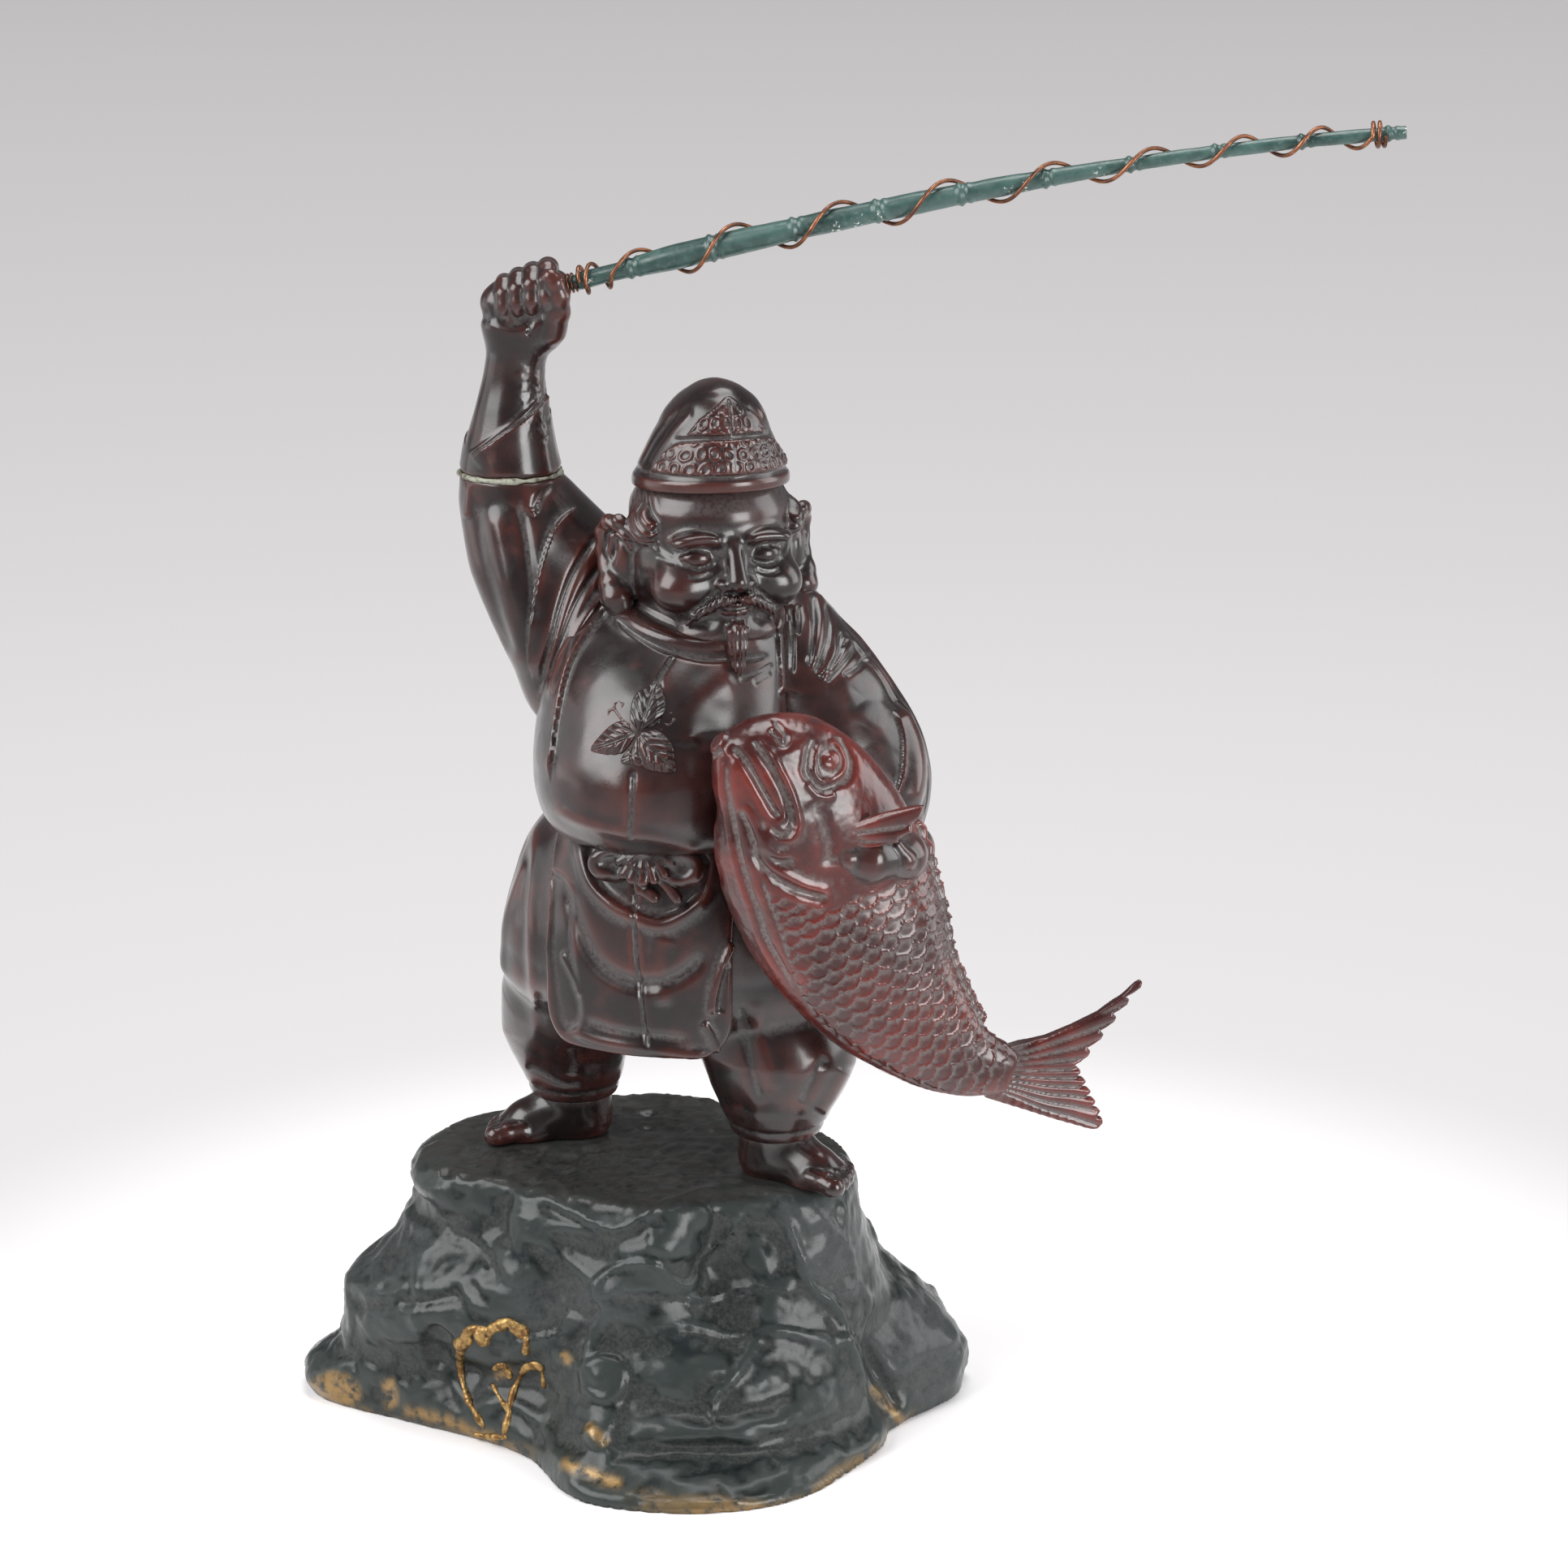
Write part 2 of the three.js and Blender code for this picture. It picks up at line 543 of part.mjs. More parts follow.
// Robe: the torso from the hem to the shoulders, with the collar's roll
function robeShape(grow = 0) {
  const at = (share) => robeHem + robeHeight * share;
  const torso = uprightSolid(bodyAxis, bodyTurn, [
    [at(0.00), robeHalfWidth * 0.90, bellyDepth * 0.87, robeBack * 0.84, 0],
    [at(0.10), robeHalfWidth * 0.98, bellyDepth * 0.98, robeBack * 0.94, 0],
    [at(0.28), robeHalfWidth, bellyDepth, robeBack, 0],
    [at(0.48), robeHalfWidth * 0.97, bellyDepth * 0.91, robeBack, 0],
    [at(0.70), robeHalfWidth * 0.92, bellyDepth * 0.75, robeBack * 0.92, 0],
    [at(0.87), robeHalfWidth * 0.80, bellyDepth * 0.54, robeBack * 0.76, 2],
    [at(1.00), robeHalfWidth * 0.56, bellyDepth * 0.36, robeBack * 0.52, 4],
  ], { grow, sides: 24, steps: 10 });
  const collar = new THREE.TorusGeometry(collarRadius, collarThickness + grow, 6, 20);
  collar.rotateX(THREE.MathUtils.degToRad(collarTilt));
  collar.translate(headAxis.x - 3, headAxis.y, collarHeight - 3);
  return join(torso, solidOf(collar));
}

// Bow: two flat loops, a knot and two tails on the skirt under the hem
function bowShape() {
  const forward = skirtFront * 0.95;
  const height = robeHem - bowDrop;
  const at = (across, out, drop) => pointIn(bodyAxis, bodyTurn, across, forward + out, height - drop);
  const loop = new THREE.Vector3(bowLoopLength, bowThickness, bowLoopHeight);
  const tail = (across) => limbSolid([
    [0, ...at(0, 0, 0).toArray(), 1.6, 1.4],
    [0.5, ...at(across * 0.6, 1.2, bowTailLength * 0.5).toArray(), 1.9, 1.3],
    [1, ...at(across, 1.6, bowTailLength).toArray(), 2.2, 1.1],
  ], facing(bodyTurn).ahead, { sides: 6, steps: 3 });
  return join(
    ellipsoid(at(-bowLoopLength * 0.9, -0.6, 0.4), loop, bodyTurn - 10),
    ellipsoid(at(bowLoopLength * 0.9, -0.4, 0.8), loop, bodyTurn + 10),
    ellipsoid(at(0, 0.6, 0), new THREE.Vector3(2.6, 2.4, 2.6), bodyTurn),
    tail(-2.5),
    tail(3),
  );
}

// Head: the skull and cheeks down to a neck plug, ears, nose, hair roll and beard
const headFoot = collarHeight - neckPlug;

function headCore(grow = 0) {
  const at = (share) => headFoot + neckPlug * 0.4 + headHeight * share;
  return uprightSolid(headAxis, headTurn, [
    [headFoot, headHalfWidth * 0.55, headFront * 0.5, headBack * 0.55],
    [at(0.05), headHalfWidth * 0.70, headFront * 0.72, headBack * 0.66],
    [at(0.22), headHalfWidth * 0.95, headFront * 0.95, headBack * 0.88],
    [at(0.46), headHalfWidth, headFront, headBack],
    [at(0.70), headHalfWidth * 0.95, headFront * 0.94, headBack * 0.98],
    [at(0.90), headHalfWidth * 0.91, headFront * 0.90, headBack * 0.94],
    [at(1.08), headHalfWidth * 0.66, headFront * 0.66, headBack * 0.7],
    [at(1.18), headHalfWidth * 0.30, headFront * 0.30, headBack * 0.32],
  ], { grow, sides: 22, steps: 11 });
}

function headShape() {
  const face = headFoot + headHeight * 0.55;
  const at = (across, forward, height) => pointIn(headAxis, headTurn, across, forward, height);
  const ears = [-1, 1].map((hand) => ellipsoid(
    at(hand * (headHalfWidth + 0.6), -1, face + 6), new THREE.Vector3(2.4, 4.2, earHeight), headTurn));
  const lobes = [-1, 1].map((hand) => ellipsoid(
    at(hand * (headHalfWidth + 0.2), 0.5, face - 1.5), new THREE.Vector3(2.6, 3, 4), headTurn));
  const nose = ellipsoid(at(0, headFront - 0.4, face), new THREE.Vector3(3.2, 3.4, 4.2), headTurn);
  const beard = limbSolid([
    [0, ...at(0, headFront - 5, face - 12).toArray(), 3.2, 3],
    [0.5, ...at(0, headFront - 0.5, face - 14.5).toArray(), 2.4, 2.2],
    [1, ...at(0, headFront + 1.5, face - 12 - beardLength).toArray(), 0.7, 0.7],
  ], facing(headTurn).side, { sides: 7, steps: 4 });
  return join(headCore(), ...ears, ...lobes, nose, beard);
}

function hatShape() {
  const brim = headFoot + neckPlug * 0.4 + brimRise;
  const at = (share) => brim + hatHeight * share;
  return uprightSolid(headAxis, headTurn, [
    [at(0.00), hatHalfWidth, hatDepth, hatDepth, 1.4],
    [at(0.17), hatHalfWidth * 0.94, hatDepth * 0.96, hatDepth * 0.98, 1.8],
    [at(0.46), hatHalfWidth * 0.75, hatDepth * 0.84, hatDepth * 0.92, 2.8],
    [at(0.71), hatHalfWidth * 0.54, hatDepth * 0.66, hatDepth * 0.82, 3.8],
    [at(0.90), hatHalfWidth * 0.30, hatDepth * 0.42, hatDepth * 0.62, 4.8],
    [at(1.00), hatHalfWidth * 0.08, hatDepth * 0.16, hatDepth * 0.34, 5.2],
  ], { sides: 22, steps: 6 });
}

// Raised arm: the wide sleeve up to the elbow seam
function rightSleeveShape(grow = 0) {
  const at = (share) => elbowTop - sleeveLength * share;
  const axis = new THREE.Vector3(elbowCentre.x, elbowCentre.y, 0);
  const wide = sleeveWidth;
  return uprightSolid(axis, 0, [
    [at(0.00), elbowRadius, elbowRadius, elbowRadius, 0, 0],
    [at(0.11), wide * 0.82, wide * 0.70, wide * 0.70, 3.3, 0],
    [at(0.22), wide * 0.98, wide * 0.80, wide * 0.80, 7.3, 1],
    [at(0.37), wide * 1.04, wide * 0.86, wide * 0.86, 10.5, 3],
    [at(0.52), wide, wide * 0.88, wide * 0.88, 13.7, 5],
    [at(0.72), wide * 0.88, wide * 0.86, wide * 0.86, 17.7, 7],
    [at(0.90), wide * 0.70, wide * 0.70, wide * 0.70, 19.7, 9],
    [at(1.00), wide * 0.42, wide * 0.46, wide * 0.46, 21.7, 9],
  ], { grow, sides: 20, steps: 10 });
}

function elbowSpigot(grow = 0) {
  const low = new THREE.Vector3(elbowCentre.x, elbowCentre.y, elbowTop - spigotLength - grow);
  return rodBetween(low, low.clone().setZ(elbowTop + 3), spigotRadius + grow, 14);
}

// Rod: a bowed line from butt to tip. The peg runs straight on into the fist.
const rodMiddle = rodButt.clone().lerp(rodTip, 0.6).addScaledVector(up, rodBow);
const rodCurve = new THREE.QuadraticBezierCurve3(rodButt, rodMiddle, rodTip);
const rodLength = rodCurve.getLength();
const rodAim = rodCurve.getTangentAt(0);

function rodRadiusAt(along) {
  const taper = new THREE.CubicInterpolant(
    [0, 10, 18, 60, 90, 130, 200],
    [rodButtRadius, rodButtRadius * 1.05, rodThickRadius, rodThickRadius, rodThickRadius * 0.95,
      rodTipRadius * 1.15, rodTipRadius], 1);
  return taper.evaluate((200 * along) / rodLength)[0];
}

function rodFrame(along) {
  const share = THREE.MathUtils.clamp(along / rodLength, 0, 1);
  const middle = rodCurve.getPointAt(share);
  const aim = rodCurve.getTangentAt(share);
  const viewer = new THREE.Vector3(0, -1, 0);
  viewer.addScaledVector(aim, -viewer.dot(aim)).normalize();
  return { middle, viewer, above: new THREE.Vector3().crossVectors(viewer, aim) };
}

function rodShape() {
  const stops = [0, firstNodeAt * 0.5];
  for (let node = firstNodeAt; node < rodLength - 5; node += nodeSpacing) {
    stops.push(node - 1.2, node, node + 0.8, node + nodeSpacing * 0.5);
  }
  const inside = stops.filter((stop) => stop < rodLength - 2);
  const rings = [...inside, rodLength - 1, rodLength].map((along) => {
    const { middle, viewer, above } = rodFrame(along);
    const fromNode = Math.abs(((along - firstNodeAt + nodeSpacing * 1.5) % nodeSpacing) - nodeSpacing * 0.5);
    const swell = fromNode < 0.1 ? nodeRise : 0;
    const radius = (rodRadiusAt(along) + swell) * (along === rodLength ? 0.6 : 1);
    return ovalRing(middle, viewer, above, radius, radius, radius, 10);
  });
  const pegEnd = rodButt.clone().addScaledVector(rodAim, -pegShowing - pegInFist);
  const pegStart = rodButt.clone().addScaledVector(rodAim, 1);
  return join(skinRings(rings), rodBetween(pegEnd, pegStart, pegRadius, 12));
}

function rodBore() {
  const inner = rodButt.clone().addScaledVector(rodAim, -pegShowing - pegInFist - rodClearance);
  const mouth = rodButt.clone().addScaledVector(rodAim, 2);
  return rodBetween(inner, mouth, pegRadius + rodClearance, 16);
}

// Wire: a tube along points, its rings set square to the way it runs
function wireSolid(points, radius) {
  const frameHint = rodAim.clone();
  const rings = points.map((point, index) => {
    const before = points[Math.max(index - 1, 0)];
    const after = points[Math.min(index + 1, points.length - 1)];
    const along = after.clone().sub(before).normalize();
    const side = new THREE.Vector3().crossVectors(along, frameHint).normalize();
    const ahead = new THREE.Vector3().crossVectors(side, along);
    return ovalRing(point, side, ahead, radius, radius, radius, wireSides);
  });
  return skinRings(rings);
}

function leastGap(points, radius, turnSteps) {
  let least = Infinity;
  for (let first = 0; first < points.length; first += 1) {
    for (let second = first + Math.round(turnSteps / 2); second < points.length; second += 1) {
      least = Math.min(least, points[first].distanceTo(points[second]));
    }
  }
  return least - 2 * radius;
}

// Line: a tight turn at the butt, open turns up the rod, and a knot of tight turns at the tip
function linePoints() {
  const rootStart = tightPitch * 0.5;
  const openAt = (turn) => {
    const share = THREE.MathUtils.clamp(turn / lineTurns, 0, 1);
    const bow = lineBow * Math.sin(Math.PI * share ** lineBowSkew);
    return lineStart + (lineEnd - lineStart) * share + bow;
  };
  const alongAt = (turn) => {
    const openTurn = turn - rootTurns - 1;
    if (turn < rootTurns) return rootStart + tightPitch * turn;
    if (openTurn < 0) {
      return THREE.MathUtils.lerp(rootStart + tightPitch * rootTurns, lineStart, turn - rootTurns);
    }
    return openAt(openTurn) + Math.max(openTurn - lineTurns, 0) * tightPitch;
  };
  const totalTurns = rootTurns + 1 + lineTurns + knotTurns;
  return Array.from({ length: totalTurns * loopSteps + 1 }, (_, step) => {
    const turn = step / loopSteps;
    const along = alongAt(turn);
    const { middle, viewer, above } = rodFrame(along);
    const angle = 2 * Math.PI * turn;
    const reach = rodRadiusAt(along) + nodeRise + lineRadius + castingGap;
    return middle.addScaledVector(viewer, Math.cos(angle) * reach)
      .addScaledVector(above, Math.sin(angle) * reach);
  });
}

function lashingPoints() {
  const start = -(pegShowing + lashingPitch * lashingTurns) / 2;
  const { viewer, above } = rodFrame(0);
  return Array.from({ length: lashingTurns * loopSteps + 1 }, (_, step) => {
    const turn = step / loopSteps;
    const angle = 2 * Math.PI * turn;
    const reach = pegRadius + lashingRadius + castingGap;
    return rodButt.clone().addScaledVector(rodAim, start + lashingPitch * turn)
      .addScaledVector(viewer, Math.cos(angle) * reach)
      .addScaledVector(above, Math.sin(angle) * reach);
  });
}

// Forearm and fist: palm, four fingers over the rod and the thumb beside it
function forearmShape() {
  const at = (share) => elbowTop + castingGap + forearmLength * share;
  const axis = new THREE.Vector3(elbowCentre.x, elbowCentre.y, 0);
  const arm = uprightSolid(axis, 0, [
    [at(0.00), elbowRadius * 0.98, elbowRadius * 0.96, elbowRadius * 0.96, 0],
    [at(0.22), elbowRadius * 0.87, elbowRadius * 0.86, elbowRadius * 0.86, 0],
    [at(0.46), elbowRadius * 0.73, elbowRadius * 0.74, elbowRadius * 0.74, 0.5],
    [at(0.70), wristRadius * 1.04, wristRadius * 1.08, wristRadius * 1.08, 1.3],
    [at(0.85), wristRadius, wristRadius * 1.05, wristRadius * 1.05, 1.8],
    [at(1.00), wristRadius * 1.1, wristRadius * 1.1, wristRadius * 1.1, 2.4],
  ], { sides: 16, steps: 6 });
  const gripAt = (back) => rodButt.clone().addScaledVector(rodAim, -pegShowing - back);
  const palmMiddle = gripAt(fistDepth).add(new THREE.Vector3(0.5, 3.5, -8));
  const palm = ellipsoid(palmMiddle, new THREE.Vector3(9.4, 7.4, 9.8));
  const core = rodBetween(gripAt(fistDepth * 2), gripAt(0.6), fingerRadius * 1.9, 12);
  const spread = (fistDepth * 2 - fingerRadius * 2) / 3;
  const fingers = Array.from({ length: 4 }, (_, finger) => {
    const middle = gripAt(fingerRadius + 0.6 + spread * finger);
    const curl = pegRadius + rodClearance + fingerRadius + 1.1;
    const rows = [-0.55, 0.1, 0.75, 1.4, 2.1, 2.8].map((angle, index, all) => [
      index / (all.length - 1),
      middle.x, middle.y + Math.cos(angle) * curl * 1.1, middle.z + Math.sin(angle) * curl,
      fingerRadius, fingerRadius * (index === 0 || index === all.length - 1 ? 0.8 : 1),
    ]);
    return limbSolid(rows, new THREE.Vector3(1, 0, 0), { sides: 7, steps: 6 });
  });
  const thumb = limbSolid([
    [0, ...palmMiddle.clone().add(new THREE.Vector3(5, -2, -5)).toArray(), 3.6, 3.4],
    [0.5, ...palmMiddle.clone().add(new THREE.Vector3(7, -5.5, 1)).toArray(), 2.9, 2.7],
    [1, ...palmMiddle.clone().add(new THREE.Vector3(4.5, -8.5, 4)).toArray(), 1.9, 1.8],
  ], new THREE.Vector3(0, 1, 0), { sides: 7, steps: 4 });
  return cut(join(arm, palm, core, ...fingers, thumb, elbowSpigot()), rodBore());
}

// Left sleeve and hand
function leftSleeveShape(grow = 0) {
  const at = (share) => leftSleeveTop - leftSleeveLength * share;
  const shoulder = new THREE.Vector3(bodyAxis.x + leftShoulderOut, bodyAxis.y, 0);
  const wide = leftSleeveWidth;
  const deep = wide * 0.92;
  return uprightSolid(shoulder, 0, [
    [at(0.00), wide * 0.50, deep * 0.55, deep * 0.55, 0, 0],
    [at(0.08), wide * 0.67, deep * 0.78, deep * 0.78, 3, 1],
    [at(0.19), wide * 0.80, deep * 0.90, deep * 0.90, 7, 3],
    [at(0.32), wide * 0.92, deep * 0.96, deep * 0.96, 12, 6],
    [at(0.46), wide, deep, deep, 16.5, 9],
    [at(0.62), wide, deep, deep, 19, 12],
    [at(0.77), wide * 0.90, deep * 0.94, deep * 0.94, 18.5, 14],
    [at(0.89), wide * 0.72, deep * 0.78, deep * 0.78, 17, 16],
    [at(1.00), wide * 0.40, deep * 0.48, deep * 0.48, 16, 17],
  ], { grow, sides: 20, steps: 9 });
}

// The hand cups the fish's back. Rows: share, x from the fish's middle, distance from its plane, rise.
function leftHandShape(grow = 0) {
  const middle = fishMiddleAt(handHeight);
  return limbSolid([
    [0.00, 15.8, 19, -3, 0.90, 0.90],
    [0.30, 21.3, 10, -1, 0.90, 0.90],
    [0.60, 19.8, -1, 0, 0.92, 0.92],
    [0.85, 11.8, -8, 1, 1.00, 0.80],
    [1.00, 4.8, -10, 3, 0.55, 0.50],
  ].map(([share, x, fromPlane, rise, wide, deep]) => [
    share, middle + x, fishPlane + fromPlane, handHeight + rise, handRadius * wide, handRadius * deep,
  ]), up, { grow, sides: 12, steps: 7 });
}

// Fish, from the snout to the tail's root: share of the way, x, distances from the fish's plane and
// the robe's hem, half-height and half-thickness as shares
const fishRows = [
  [0.00, -15, -11, 31, 0.08, 0.14],
  [0.04, -12, -10, 29, 0.33, 0.42],
  [0.10, -6, -7.5, 24.5, 0.62, 0.68],
  [0.20, 0, -4.5, 17.5, 0.83, 0.86],
  [0.30, 5, -2, 8, 0.95, 0.97],
  [0.40, 9, 0, -2, 1.00, 1.00],
  [0.57, 16.5, 2, -19.5, 0.94, 0.92],
  [0.76, 28, 6, -39, 0.69, 0.70],
  [0.92, 44, 11.5, -54.5, 0.40, 0.42],
  [1.00, 54, 14, -58.5, 0.25, 0.26],
].map(([share, x, fromPlane, fromHem, height, thickness]) => [
  share, x, fishPlane + fromPlane, robeHem + fromHem, height * fishHalfHeight, thickness * fishHalfThickness,
]);

function fishMiddleAt(height) {
  const next = fishRows.findIndex((row) => row[3] < height);
  const [above, below] = [fishRows[next - 1], fishRows[next]];
  return THREE.MathUtils.mapLinear(height, above[3], below[3], above[1], below[1]);
}

function fishBodyShape(grow = 0) {
  return limbSolid(fishRows, flankNormal, { grow, sides: 20, steps: 14 });
}

function backFinShape(grow = 0) {
  const steps = 16;
  const rows = smoothRows(fishRows, 40).slice(18, 18 + steps + 1);
  const finRows = rows.map((row, index) => {
    const next = rows[Math.min(index + 1, steps)];
    const before = rows[Math.max(index - 1, 0)];
    const along = new THREE.Vector3(next[1] - before[1], next[2] - before[2], next[3] - before[3]);
    const outward = new THREE.Vector3().crossVectors(flankNormal, along).normalize();
    if (outward.x < 0) outward.negate();
    const edge = new THREE.Vector3(row[1], row[2], row[3]).addScaledVector(outward, row[4] + 0.4);
    const scallop = 1 + 0.35 * (index % 2);
    return [index / steps, ...edge.toArray(), backFinRadius * scallop, backFinRadius * 0.9];
  });
  return limbSolid(finRows, flankNormal, { grow, sides: 6, steps });
}

function fishShape(grow = 0) {
  return join(fishBodyShape(grow), backFinShape(grow));
}

// A flat fin cut from an outline in the x-z plane, set at a depth and turned about its root
function finSolid(outline, root, turn, thickness) {
  const geometry = new THREE.ExtrudeGeometry(new THREE.Shape(outline), {
    depth: thickness, bevelEnabled: false, steps: 1,
  });
  geometry.translate(0, 0, -thickness / 2);
  geometry.rotateX(Math.PI / 2);
  geometry.rotateZ(THREE.MathUtils.degToRad(turn));
  geometry.translate(root.x, root.y, root.z);
  return solidOf(geometry);
}

// Tail: two pointed lobes with a scalloped rear edge
function tailShape() {
  const root = new THREE.Vector3(tailRoot.across, fishPlane + tailRoot.back, robeHem - tailRoot.drop);
  const at = (along, aside) => new THREE.Vector2(tailLength * along, tailHalfSpread * aside);
  const upperTip = at(1, 1);
  const lowerTip = at(0.75, -0.725);
  const notch = at(0.58, -0.05);
  const rear = [[upperTip, notch], [notch, lowerTip]].flatMap(([from, to]) => {
    return Array.from({ length: tailScallops }, (_, step) => [
      from.clone().lerp(to, step / tailScallops),
      from.clone().lerp(to, (step + 0.65) / tailScallops).add(at(-0.04, 0)),
    ]).flat();
  });
  const outline = [
    at(-0.08, 0.15), at(0.08, 0.3), at(0.37, 0.375), at(0.71, 0.65), ...rear,
    lowerTip, at(0.67, -0.855), at(0.21, -0.525), at(-0.03, -0.35), at(-0.1, -0.15),
  ];
  return finSolid(outline, root, 10, tailThickness);
}

function pectoralFinShape() {
  const flank = fishPlane - fishHalfThickness + pectoralRoot.proud;
  const root = new THREE.Vector3(pectoralRoot.across, flank, robeHem + pectoralRoot.rise);
  const outline = [
    [-0.55, -0.1], [-0.25, 0.15], [0.05, 0.275], [0.45, 0.375], [0.47, 0.25], [0.375, 0.16], [0.39, 0.075],
    [0.25, 0.01], [0.23, -0.07], [0, -0.13], [-0.3, -0.18],
  ].map(([along, aside]) => new THREE.Vector2(along, aside).multiplyScalar(pectoralLength));
  return finSolid(outline, root, -14, finThickness);
}

function fishPin(grow = 0) {
  const inner = new THREE.Vector3(pinSeat.across, fishPlane + pinSeat.back + grow, robeHem + pinSeat.rise);
  return rodBetween(inner.clone().setY(inner.y - pinLength - 2 * grow), inner, pinRadius + grow, 14);
}

// Assembly
const rightFoot = cut(footShape(feet.right), studOf(feet.right, studClearance));
const leftFoot = cut(footShape(feet.left), studOf(feet.left, studClearance));
const feetRoom = join(footShape(feet.right, castingGap), footShape(feet.left, castingGap));
const rockHollow = rockShape(rockWall, rockHeight - rockWall, -1);
const rock = cut(
  rockShape(0, rockHeight, 0), rockHollow, feetRoom,
  studOf(feet.right, studClearance), studOf(feet.left, studClearance));
const trousers = cut(trousersShape(), feetRoom);
const trousersRoom = trousersShape(castingGap);
const skirt = cut(skirtShape(), trousersRoom);
const skirtRoom = skirtShape(castingGap);
const robeRoom = robeShape(castingGap);
const headRoom = headCore(castingGap);
const fishRoom = fishShape(castingGap);
const leftSleeveRoom = leftSleeveShape(castingGap);
const rightSleeveRoom = rightSleeveShape(castingGap);
const robe = cut(robeShape(), trousersRoom, headRoom, fishPin(studClearance));
const bow = cut(bowShape(), trousersRoom, skirtRoom, robeRoom);
const head = cut(headShape(), robeRoom.subtract(headRoom), leftSleeveRoom, rightSleeveRoom);
const hat = cut(hatShape(), headRoom);
const rightSleeve = cut(rightSleeveShape(), robeRoom, headRoom, elbowSpigot(castingGap));
const fish = cut(fishShape(), robeRoom, trousersRoom, skirtRoom, fishPin(studClearance));
const handRoom = leftHandShape(castingGap);
const hand = cut(leftHandShape(), fishRoom, leftSleeveRoom);
const leftSleeve = cut(leftSleeveShape(), robeRoom, headRoom, fishRoom, trousersRoom, skirtRoom);
const tail = cut(tailShape(), fishRoom);
const pectoralFin = cut(pectoralFinShape(), fishRoom, handRoom);
const washerTop = rockHeight - rockWall - castingGap;
const nutTop = washerTop - washerThickness - castingGap;
const lineRoute = linePoints();
const lashingRoute = lashingPoints();

console.log("line gap", leastGap(lineRoute, lineRadius, loopSteps).toFixed(2));
console.log("lashing gap", leastGap(lashingRoute, lashingRadius, loopSteps).toFixed(2));

const figure = new THREE.Group();
figure.add(
  meshOf("rock_base", rock, materials.rock),
  meshOf("right_foot", rightFoot, materials.brown),
  meshOf("left_foot", leftFoot, materials.brown),
  meshOf("trousers", trousers, materials.brown),
  meshOf("skirt_panel", skirt, materials.brown),
  meshOf("upper_robe", robe, materials.brown),
  meshOf("sash_bow", bow, materials.brown),
  meshOf("head", head, materials.brown),
  meshOf("hat", hat, materials.brown),
  meshOf("right_sleeve", rightSleeve, materials.brown),
  meshOf("right_forearm", forearmShape(), materials.brown),
  meshOf("left_sleeve", leftSleeve, materials.brown),
  meshOf("left_hand", hand, materials.brown),
  meshOf("fish_body", fish, materials.red),
  meshOf("fish_tail", tail, materials.red),
  meshOf("fish_pectoral_fin", pectoralFin, materials.red),
  meshOf("fish_pin", fishPin(), materials.brass),
  meshOf("fishing_rod", rodShape(), materials.green),
  meshOf("fishing_line", wireSolid(lineRoute, lineRadius), materials.copper),
  meshOf("grip_lashing", wireSolid(lashingRoute, lashingRadius), materials.copper),
);
Object.entries(feet).forEach(([name, foot]) => {
  const washer = ringUnder(foot, washerTop, washerThickness, washerRadius, 20);
  const nut = ringUnder(foot, nutTop, nutThickness, nutAcrossCorners / 2, 6);
  figure.add(
    meshOf(`${name}_foot_stud`, studOf(foot), materials.brass),
    meshOf(`${name}_foot_washer`, washer, materials.brass),
    meshOf(`${name}_foot_nut`, nut, materials.brass),
  );
});

// The origin goes to the middle of the box, on the table
const bounds = new THREE.Box3().setFromObject(figure);
const middle = bounds.getCenter(new THREE.Vector3());
figure.position.set(-middle.x, -middle.y, -bounds.min.z);

export default figure;
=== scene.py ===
"""The looks of the ebisu figure: sculpted castings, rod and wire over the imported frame.

Shapes are worked out in the part's design frame: millimetres, +Z up, the figure faces -Y.
Marks that the photograph shows are given in its pixels and fall on the castings from the camera.
"""

import math

import bpy
import numpy as np
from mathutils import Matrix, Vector


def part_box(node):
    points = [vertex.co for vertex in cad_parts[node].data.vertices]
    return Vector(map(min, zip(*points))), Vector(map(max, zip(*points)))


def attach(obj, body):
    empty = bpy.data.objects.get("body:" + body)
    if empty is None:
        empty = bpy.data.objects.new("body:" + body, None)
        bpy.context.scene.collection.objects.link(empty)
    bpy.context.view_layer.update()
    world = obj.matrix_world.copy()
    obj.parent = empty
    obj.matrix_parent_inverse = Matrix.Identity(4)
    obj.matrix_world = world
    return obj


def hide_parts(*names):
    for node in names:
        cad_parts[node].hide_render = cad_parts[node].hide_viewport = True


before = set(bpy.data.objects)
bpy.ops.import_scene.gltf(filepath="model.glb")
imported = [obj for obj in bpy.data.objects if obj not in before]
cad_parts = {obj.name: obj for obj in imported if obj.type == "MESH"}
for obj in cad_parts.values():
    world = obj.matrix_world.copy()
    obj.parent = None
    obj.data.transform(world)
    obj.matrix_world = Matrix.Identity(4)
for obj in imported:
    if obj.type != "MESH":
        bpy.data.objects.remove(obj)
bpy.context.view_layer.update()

# The design frame against the row's frame, read from the stud under the right foot
RIGHT_ANKLE = (-53.5, 15.0)
LEFT_ANKLE = (-2.0, -14.0)
stud_low, stud_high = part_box("right_foot_stud")
stud_middle = (stud_low + stud_high) * 500
SHIFT = np.array([stud_middle.x - RIGHT_ANKLE[0], stud_middle.y - RIGHT_ANKLE[1], 0.0])

